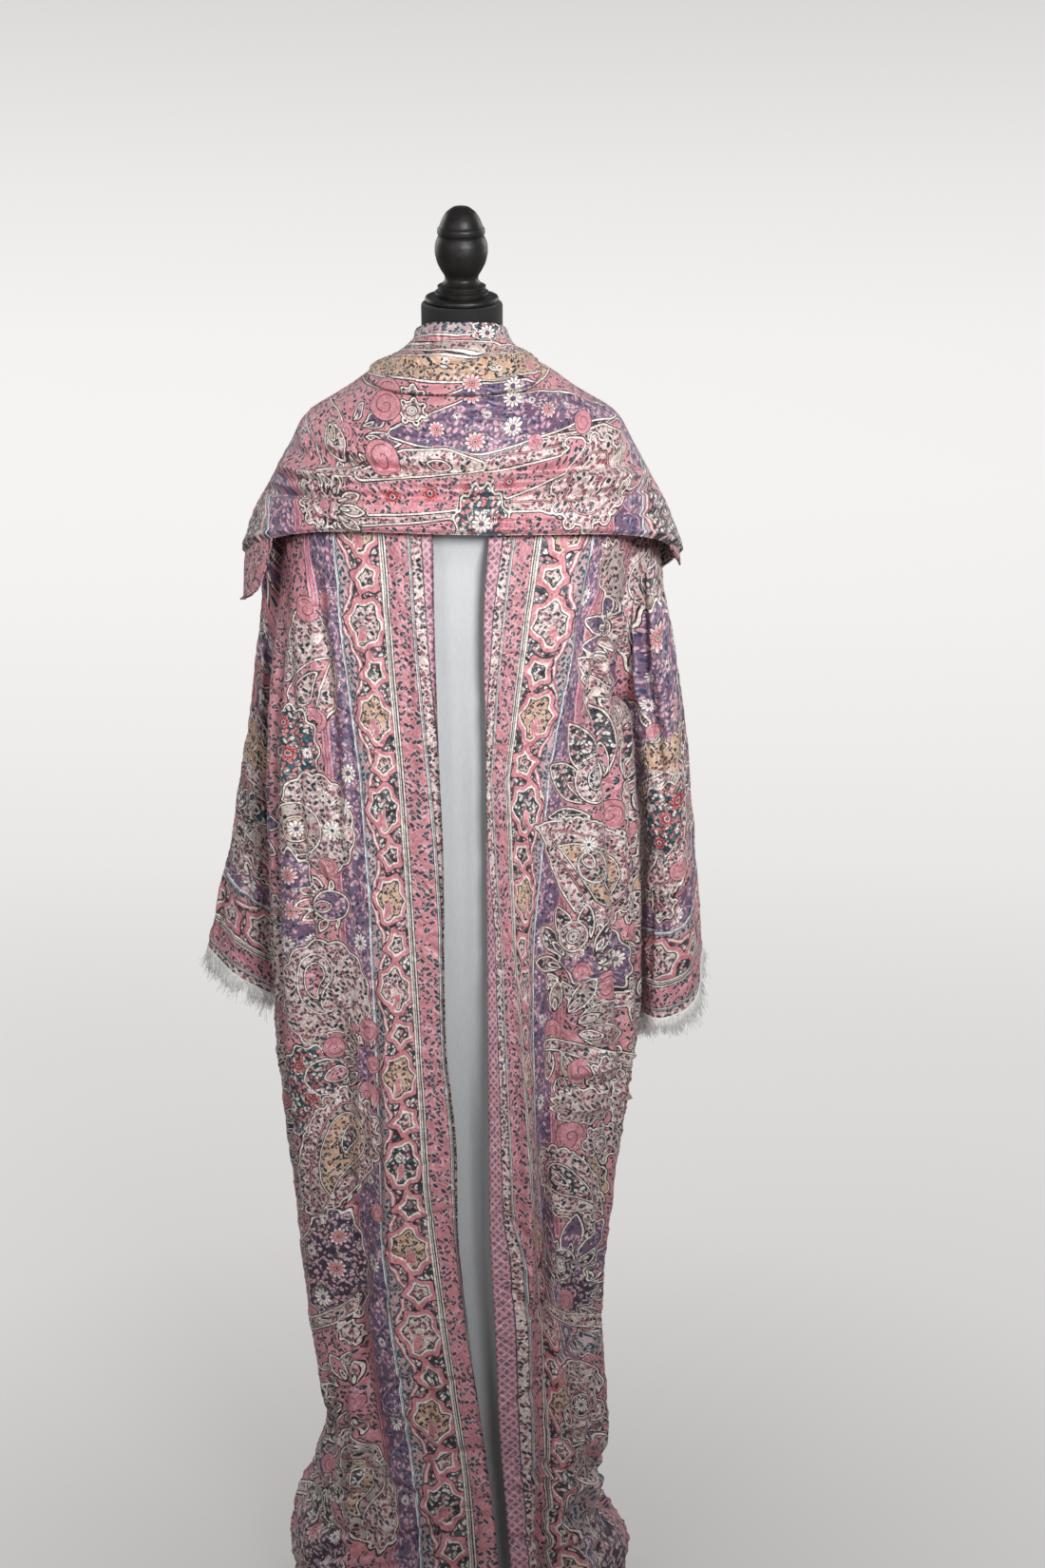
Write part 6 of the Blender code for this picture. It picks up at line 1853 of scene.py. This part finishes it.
def border_place(base, arc):
    # How far in from its borders, which lie at both shoulders, each place of the cape is.
    place = np.full(arc.shape, 9.0)
    for side, at in SHAWL_BORDER_LINES:
        for r in range(len(arc)):
            x = base[r, :, 0] * side
            widest = x.argmax()
            along = np.abs(arc[r] - arc[r, widest])
            if x[widest] > at:
                half = slice(widest, None) if side < 0 else slice(None, widest + 1)
                seen = np.interp(-at, -x[half] if side < 0 else -x[half][::-1],
                                 along[half] if side < 0 else along[half][::-1])
            else:
                seen = x[widest] - at
            own = SHAWL_BORDER + along - seen
            beyond = (arc[r] - arc[r, widest]) * side > 0
            own = np.where(beyond, SHAWL_BORDER - along - seen, own)
            place[r] = np.minimum(place[r], own)
    return np.clip(place, 0.070, 0.400)


def shawl_piece(name, first, last, top, foot, layer, columns, steps, closed, rows, lift=1.0, seed=61,
                border=False):
    turn = wrapped(np.linspace(first, last, columns + 1))[None, :]
    share = np.linspace(0.0, 1.0, steps + 1)[:, None]
    turn = turn + 0.0 * share
    start, end = top(turn), foot(turn)
    down = start + (end - start) * share
    out = shawl_normal(down, turn)
    # The crossing end lies down on the cape along its two sides.
    side = ease(np.minimum(np.abs(turn - turn[:, :1]), np.abs(turn - turn[:, -1:])) / 0.06)
    crossing = layer == SHAWL_END_LAYER
    moved = swag_height(down, turn) + layer * (0.48 + 0.52 * side if crossing else 1.0)
    meet = 1.0 if closed else ease(np.abs(np.abs(turn) - 0.5) / 0.060)
    moved = moved + 1.45 * lift * meet * creased(turn, down, SHAWL_CREASES)
    base = shawl_base(down, turn)
    fall = run_lengths(base, axis=0) + start * 0.30
    middle = int(np.abs(turn[0] - (0.0 if first < 0.5 else 1.0)).argmin())
    arc = run_lengths(base)
    arc = arc - arc[:, middle:middle + 1]
    ripple = crinkle(arc, fall, seed, 0.055, 0.0012 * lift)
    ripple = ripple + crumple(arc, fall, seed + 7, 0.036, 0.0012 * lift, 0.7)
    if closed:
        ripple = ripple * ease((1.0 - np.abs(turn)) / 0.15)
    else:
        # The capes meet flat over both shoulders.
        ripple = ripple * (0.12 + 0.88 * ease(np.abs(np.abs(turn) - 0.5) / 0.045))
    if border:
        # The cape's lower edge is rolled under.
        moved = moved - 0.0060 * np.maximum(0.0, (share - 0.955) / 0.045) ** 2
    points = base + out * (moved + ripple)[..., None]
    if closed:
        points[:, -1] = points[:, 0]
    flat = np.stack([arc + 1.0, fall], axis=-1)
    band = border_place(base, arc) if border else np.full_like(arc, BEYOND_BORDER)
    return cloth_piece(name, points, out, SHAWL_CLOTH, closed, flat, rows, band)


# The shawl's figures as it lies: x is 1 at centre front, y runs down the cape from the neck
SHAWL_FIGURES = [
    ("strip", 1.0, 0.004, 0.012, 0.05, SPRIG, 9.0, 0.003, 0.0),
    ("area", 1.030, 0.010, 0.016, 0.0, TEAL, 1.6, ((0.0, 0.1, 0.0115, STAR_CREAM),)),
    ("strip", 1.0, 0.029, 0.0085, 0.03, GREY, 8.0, 0.002, 0.0),
    ("strip", 1.0, 0.058, 0.0200, -0.02, TAN, 8.0, 0.003, 0.0),
    ("leaf", 0.975, 0.056, 0.016, 0.4, DARK), ("leaf", 1.000, 0.054, 0.018, -0.5, TEAL),
    ("leaf", 1.030, 0.058, 0.017, 0.6, DARK), ("leaf", 1.060, 0.055, 0.015, -0.4, DARK),
    ("rosette", 0.985, 0.050, 0.0060, 0.0, DAISY), ("rosette", 1.045, 0.062, 0.0060, 0.0, DAISY),
    ("rosette", 1.102, 0.062, 0.0103, 0.6, CURL),
    ("area", 0.770, 0.120, 0.060, 1.2, PINK, 0.9, ()),
    ("ribbon", 0.820, 0.150, 0.14, 0.0, PINK, 0.0,
     ((0.766, 0.137, 0.016), (0.841, 0.153, 0.028), (0.853, 0.186, 0.023))),
    ("lotus", 0.868, 0.147, 0.050, 0.35, PURPLE, CREAM),
    ("eye", 0.841, 0.146, 0.040, 0.9, CREAM, TAN),
    ("ribbon", 1.160, 0.165, 0.16, 0.0, PINK, 0.0,
     ((1.130, 0.130, 0.018), (1.185, 0.165, 0.024), (1.215, 0.220, 0.020))),
    ("ribbon", 1.000, 0.200, 0.32, 0.0, CREAM, 1.0,
     ((0.836, 0.229, 0.029), (0.912, 0.201, 0.036), (0.977, 0.186, 0.038),
      (1.039, 0.178, 0.038), (1.104, 0.184, 0.041),
      (1.160, 0.205, 0.051))),
    ("round", 1.152, 0.210, 0.044, 0.2, CREAM, None, 12),
    ("ribbon", 1.000, 0.200, 0.30, 0.0, PINK, 0.0,
     ((0.846, 0.224, 0.019), (0.911, 0.204, 0.023), (0.964, 0.195, 0.023),
      (1.019, 0.189, 0.021), (1.070, 0.183, 0.017),
      (1.117, 0.179, 0.012), (1.140, 0.165, 0.009), (1.125, 0.157, 0.006))),
    ("round", 0.842, 0.232, 0.026, 0.1, CREAM, None, 9), ("lotus", 0.846, 0.232, 0.034, -0.1, GREY, TEAL),
    ("rosette", 0.925, 0.203, 0.0095, 0.0, STAR_RED), ("rosette", 0.968, 0.194, 0.0090, 0.0, STAR_RED),
    ("rosette", 1.012, 0.190, 0.0085, 0.0, STAR_RED), ("rosette", 1.055, 0.185, 0.0075, 0.0, STAR_RED),
    ("ribbon", 1.050, 0.125, 0.22, 0.0, PURPLE, 0.0,
     ((0.927, 0.132, 0.009), (0.965, 0.126, 0.020), (1.024, 0.116, 0.037),
      (1.082, 0.112, 0.032), (1.143, 0.120, 0.023),
      (1.208, 0.153, 0.012))),
    ("ribbon", 0.960, 0.165, 0.14, 0.0, CREAM, 0.0,
     ((0.891, 0.186, 0.010), (0.944, 0.164, 0.017), (0.985, 0.158, 0.016), (1.025, 0.163, 0.006))),
    ("leaf", 0.962, 0.161, 0.032, 0.1, PINK),
    ("round", 0.947, 0.103, 0.015, 0.3, CREAM, PINK, 7),
    ("rosette", 0.914, 0.101, 0.0210, 2.6, CURL), ("rosette", 0.914, 0.163, 0.0200, 2.6, CURL),
    ("rosette", 1.149, 0.143, 0.0140, 0.6, CURL), ("rosette", 1.085, 0.146, 0.0085, 0.6, CURL),
    ("area", 1.025, 0.232, 0.0310, 0.0, TEAL, 1.6, ((0.0, -0.1, 0.0125, STAR_CREAM),
                                                    (0.9, 0.0, 0.0090, CURL),
                                                    (-0.7, 0.1, 0.0080, DAISY))),
    ("rosette", 1.061, 0.088, 0.0138, 0.0, STAR_CREAM), ("rosette", 1.014, 0.080, 0.0130, 0.2, STAR_PINK),
    ("rosette", 1.104, 0.113, 0.0126, 0.1, STAR_PINK), ("rosette", 1.060, 0.124, 0.0125, 0.3, STAR_CREAM),
    ("rosette", 1.018, 0.136, 0.0135, 0.1, STAR_PINK), ("rosette", 0.975, 0.122, 0.0105, 0.4, STAR_PINK),
    ("rosette", 1.031, 0.106, 0.0069, 0.0, DAISY), ("rosette", 0.998, 0.106, 0.0060, 0.0, DAISY),
    ("rosette", 1.085, 0.094, 0.0060, 0.0, DAISY), ("rosette", 1.140, 0.114, 0.0065, 0.0, DAISY),
    ("cartouche", 0.705, 0.265, 0.024, 0.2, PINK, [(-u, v) for u, v in LOBED]),
    ("cartouche", 1.285, 0.250, 0.024, -0.3, PINK, list(LOBED)),
    ("cartouche", 1.270, 0.170, 0.020, 0.5, CREAM, list(HOOKED)),
]

shawl_front = shawl_piece("shawl_cape_front", -0.5 + SHAWL_SIDE_GAP, 0.5 - SHAWL_SIDE_GAP,
                          lambda t: neck_band_foot(t) - 0.05, front_edge, 0.0, 190, 104, False,
                          SHAWL_FIGURES, border=True)
back_rows = scatter(0.60, 1.40, 0.01, 0.50, 72) + field_rows(0.60, 1.50, -0.02, 0.50)
end_rows = [("strip", 1.0, 0.402, 0.0080, 0.1, CREAM, 9.0, 0.003, 0.0),
            ("strip", 1.0, 0.372, 0.0090, 0.1, TEAL, 9.0, 0.003, 0.0)]
shawl_back = shawl_piece("shawl_cape_back", 0.5 + SHAWL_SIDE_GAP, 1.5 - SHAWL_SIDE_GAP,
                         lambda t: neck_band_foot(t) - 0.05,
                         lambda t: 1.0 + 0.08 * (1.0 - np.abs(np.abs(t) - 0.75) / 0.25),
                         0.0, 110, 56, False, back_rows, 0.6, 62)
shawl_end_back = shawl_piece("shawl_tail_back", 0.62, 1.40, lambda t: neck_band_foot(t) + 0.02,
                             lambda t: 0.98 + 0.22 * bump((np.abs(t) - 0.80) / 0.22)
                             * np.where(t > 0, 1.0, 0.35),
                             SHAWL_END_LAYER, 96, 60, False, back_rows, 0.5, 63)
LOBE_FOOT = ((-0.60, -0.54, -0.50, -0.46, -0.42, -0.385, -0.36, -0.345, -0.333, -0.323, -0.315),
             (1.03, 1.16, 1.215, 1.245, 1.258, 1.262, 1.245, 1.215, 1.165, 1.105, 1.040))
shawl_end_left = shawl_piece("shawl_tail_left", -0.60, -0.315, lambda t: 0.80 + 0.0 * t,
                             lambda t: np.interp(t, *LOBE_FOOT),
                             -SHAWL_UNDER_LAYER, 50, 40, False, end_rows, 0.3, 64)
shawl_end_right = shawl_piece("shawl_tail_right", 0.40, 0.58, lambda t: 0.80 + 0.0 * t,
                              lambda t: 1.075 - 0.06 * ease(np.abs(t - 0.49) / 0.09), -SHAWL_UNDER_LAYER,
                              36, 34, False, end_rows, 0.3, 65)
shawl_neck = shawl_piece("shawl_neck_band", -1.0, 1.0, lambda t: 0.0 * t, neck_band_foot, SHAWL_LAYER,
                         150, 34, True, SHAWL_FIGURES, 0.8, 66)


# The dress form


def lathe(name, profile, sides, material, lift=(0.0, 0.0, 0.0), lean=0.0, smooth=4):
    # A turned piece; the profile is (radius, height) from its foot to its top.
    profile = [(max(r, 0.0), h) for r, h in profile]
    dense = []
    last = len(profile) - 1
    for i in range(last):
        a, b = profile[max(0, i - 1)], profile[min(last, i + 2)]
        p, q = profile[i], profile[i + 1]
        for k in range(smooth):
            t = k / smooth
            w = []
            for j in range(2):
                m0, m1 = (q[j] - a[j]) / 2 * 0.6, (b[j] - p[j]) / 2 * 0.6
                w.append(p[j] * (2 * t ** 3 - 3 * t ** 2 + 1) + m0 * (t ** 3 - 2 * t ** 2 + t)
                         + q[j] * (3 * t ** 2 - 2 * t ** 3) + m1 * (t ** 3 - t ** 2))
            dense.append((max(w[0], 0.0), w[1]))
    dense.append(profile[-1])
    turn = np.arange(sides) * (2.0 * pi / sides)
    place = np.array([(radius * cos(a), radius * sin(a), height) for radius, height in dense for a in turn])
    c, s = cos(lean), sin(lean)
    place = np.stack([place[:, 0], place[:, 1] * c - place[:, 2] * s, place[:, 1] * s + place[:, 2] * c], 1)
    place += np.array(lift)
    faces = tube_faces(len(dense), sides, True)
    return riding(smooth_mesh(name, [tuple(v) for v in place], faces, material, 40.0))


up = Vector((0.0, -sin(NECK_LEAN), cos(NECK_LEAN)))
cap = lathe("form_neck_cap", [(CAP_RADIUS - 0.0025, 0.0), (CAP_RADIUS - 0.0008, 0.0010),
                              (CAP_RADIUS, 0.0026),
                              (CAP_RADIUS, CAP_THICK - 0.0030), (CAP_RADIUS - 0.0008, CAP_THICK - 0.0011),
                              (CAP_RADIUS - 0.0030, CAP_THICK), (0.0300, CAP_THICK)],
            96, wood, NECK_TOP + up * SEAM_GAP, NECK_LEAN, 3)
finial = lathe("form_finial", list(FINIAL_PROFILE) + [(0.0040, FINIAL_TOP - 0.0004), (0.0006, FINIAL_TOP)],
               96, wood, NECK_TOP + up * (CAP_THICK + 2.0 * SEAM_GAP), NECK_LEAN, 4)
base = lathe("form_base", [(BASE_RADIUS - 0.004, 0.0), (BASE_RADIUS, 0.004),
                           (BASE_RADIUS, BASE_THICK - 0.010),
                           (BASE_RADIUS - 0.003, BASE_THICK - 0.004),
                           (BASE_RADIUS - 0.010, BASE_THICK - 0.0005),
                           (BASE_RADIUS - 0.020, BASE_THICK)], 120, wood, smooth=3)
pole = lathe("form_pole", [(POLE_RADIUS, BASE_THICK + SEAM_GAP), (POLE_RADIUS, 0.30), (POLE_RADIUS, 0.60),
                           (POLE_RADIUS, TORSO_FOOT_Z - SEAM_GAP)], 48, metal, smooth=1)


def torso_rings(columns):
    forward = np.array((0.0, -cos(NECK_LEAN), -sin(NECK_LEAN)))
    top, axis = np.array(NECK_TOP), np.array(up)
    angle = np.linspace(0.0, 2.0 * pi, columns + 1)
    rings = []
    for drop, radius in ((0.0, 0.0380), (0.0, NECK_RADIUS - 0.0022), (0.0010, NECK_RADIUS - 0.0008),
                         (0.003, NECK_RADIUS), (0.015, NECK_RADIUS), (0.030, NECK_RADIUS),
                         (0.045, NECK_RADIUS)):
        rings.append(top - axis * drop + np.stack([np.sin(angle) * radius, 0 * angle, 0 * angle], -1)
                     + forward * (np.cos(angle) * radius)[:, None])
    turn = wrapped(2.0 * np.arange(columns + 1) / columns)
    upper = [NECK_SEAM_Z] + list(np.linspace(NECK_SEAM_Z, ARMHOLE_TOP_Z, 13)[1:])
    for height in upper:
        level = np.full(columns + 1, height)
        under = NECK_EASE if height == NECK_SEAM_Z else SHOULDER_EASE
        rings.append(body_base(level, turn) - body_normal(level, turn) * (SOLID_CLOTH + under))
    for height in np.linspace(1.395, TORSO_FOOT_Z, 40):
        level = np.full(columns + 1, height)
        half_width, front, back_depth = table(TORSO_ROWS, level)
        x, y = plan(half_width, front, back_depth, 0.0, turn, FRONT_ROUND, BACK_ROUND)
        rings.append(np.stack([x, y, level], -1))
    return np.array(rings)


def torso():
    rings = torso_rings(96)[:, :-1]
    count, columns = rings.shape[:2]
    verts = [tuple(p) for p in rings.reshape(-1, 3)]
    return riding(smooth_mesh("form_torso", verts, tube_faces(count, columns, False), knit, 60.0))


torso_piece = torso()

for piece, node, slot in (
        (front_left, "front_left", "paisley_cloth"), (front_right, "front_right", "paisley_cloth"),
        (back, "back", "paisley_cloth"), (sleeve_left, "sleeve_left", "paisley_cloth"),
        (sleeve_right, "sleeve_right", "paisley_cloth"), (fringe_left, "fringe_left", "fringe_thread"),
        (fringe_right, "fringe_right", "fringe_thread"), (inner, "inner_panel", "inner_cloth"),
        (shawl_neck, "shawl_neck", "shawl_cloth"), (shawl_front, "shawl_front", "shawl_cloth"),
        (shawl_back, "shawl_back", "shawl_cloth"), (shawl_end_back, "shawl_end_back", "shawl_cloth"),
        (shawl_end_left, "shawl_end_left", "shawl_cloth"),
        (shawl_end_right, "shawl_end_right", "shawl_cloth"),
        (torso_piece, "torso", "black_knit"), (cap, "neck_cap", "black_wood"),
        (finial, "finial", "black_wood"), (pole, "pole", "black_metal"), (base, "base", "black_wood")):
    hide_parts(node)


# Camera, light and backdrop

CAMERA_PLACE = (0.070, -2.550, 1.560)
CAMERA_TILT = radians(90.0 - 11.3)
camera_data = bpy.data.cameras.new("camera")
camera_data.lens = 50.0
camera_data.sensor_width = 36.0
camera = shown("camera", camera_data)
camera.location = CAMERA_PLACE
camera.rotation_euler = (CAMERA_TILT, 0.0, 0.0)
bpy.context.scene.camera = camera

# The backdrop's profile and the light painted on it there: radius, height, brightness. The painted light is
# darkest on the floor under the form, as a painted shade, and brightest low on the far wall.
BACKDROP_PAINTED_LIGHT = (
    (0.0, 0.0, 0.30), (0.3, 0.0, 0.34), (0.7, 0.0, 0.43), (1.2, 0.0, 0.53), (2.0, 0.0, 0.61),
    (3.0, 0.0, 0.68), (4.2, 0.0, 0.75), (5.2, 0.1, 0.78), (6.1, 0.5, 0.82), (6.5, 1.0, 0.84),
    (6.5, 1.6, 0.83), (6.5, 2.2, 0.76), (6.5, 3.0, 0.62), (6.5, 7.0, 0.55),
)


def backdrop():
    # A pale round floor that turns up into a far wall. It glows by itself with painted light, the same all
    # round, so it looks the same from all sides; painted shade darkens the floor round the form.
    verts, painted_light_levels = [(0.0, 0.0, -0.001)], [BACKDROP_PAINTED_LIGHT[0][2]]
    sides = 96
    dense = []
    for (r0, z0, s0), (r1, z1, s1) in zip(BACKDROP_PAINTED_LIGHT[:-1], BACKDROP_PAINTED_LIGHT[1:]):
        for k in range(6):
            t = (k + 1) / 6.0
            dense.append((r0 + (r1 - r0) * t, z0 + (z1 - z0) * t, s0 + (s1 - s0) * t))
    for radius, height, shade in dense:
        for i in range(sides):
            angle = 2.0 * pi * i / sides
            verts.append((radius * cos(angle), radius * sin(angle), height - 0.001))
            painted_light_levels.append(shade)
    faces = [(0, 1 + i, 1 + (i + 1) % sides) for i in range(sides)]
    for r in range(len(dense) - 1):
        low, high = 1 + r * sides, 1 + (r + 1) * sides
        faces += [(low + i, high + i, high + (i + 1) % sides, low + (i + 1) % sides) for i in range(sides)]
    g = Graph("backdrop")
    g.shader.inputs["Base Color"].default_value = (0.30, 0.295, 0.29, 1.0)
    g.shader.inputs["Roughness"].default_value = 0.9
    g.shader.inputs["Specular IOR Level"].default_value = 0.0
    g.shader.inputs["Emission Strength"].default_value = 1.0
    # The glow is painted light: the shade attribute holds the painted brightness at each point, darker under
    # the form as painted shade.
    g.surface("Emission Color", g.node("Attribute", attribute_name="shade").outputs["Color"])
    mesh = smooth_mesh("backdrop", verts, faces, g.material)
    layer = mesh.attributes.new("shade", "FLOAT_COLOR", "POINT")
    colours = [(v, v * 0.985, v * 0.970, 1.0) for v in painted_light_levels]
    layer.data.foreach_set("color", np.array(colours, np.float32).ravel())
    obj = shown("backdrop", mesh)
    obj.visible_diffuse = False
    obj.visible_glossy = False
    obj.visible_shadow = False


backdrop()

# Lights: name, place, aimed at, width and height, watts, spread in degrees
LIGHT_ROWS = (
    ("key", (0.85, -2.20, 2.02), (0.0, 0.0, 1.50), (0.8, 0.6), 8.4, 64.0),
    ("fill", (-1.5, -2.5, 1.9), (-0.12, 0.0, 1.25), (0.9, 0.9), 1.7, 60.0),
    ("behind_left", (-2.2, 2.1, 2.3), (0.0, 0.0, 1.1), (1.8, 1.8), 8.5, 90.0),
    ("behind_right", (2.2, 2.1, 2.3), (0.0, 0.0, 1.1), (1.8, 1.8), 8.5, 90.0),
)


def area_light(name, location, target, size, power, spread):
    data = bpy.data.lights.new(name, "AREA")
    data.shape = "RECTANGLE"
    data.size, data.size_y = size
    data.energy = power
    data.spread = radians(spread)
    obj = shown(name, data)
    obj.location = location
    obj.rotation_euler = (Vector(target) - Vector(location)).to_track_quat("-Z", "Y").to_euler()
    obj.visible_camera = False


for light_row in LIGHT_ROWS:
    area_light(*light_row)
world = bpy.data.worlds.new("world")
world.use_nodes = True
world.node_tree.nodes["Background"].inputs[0].default_value = (1.0, 0.99, 0.985, 1.0)
world.node_tree.nodes["Background"].inputs[1].default_value = 0.20
bpy.context.scene.world = world
bpy.context.scene.view_settings.view_transform = "Standard"
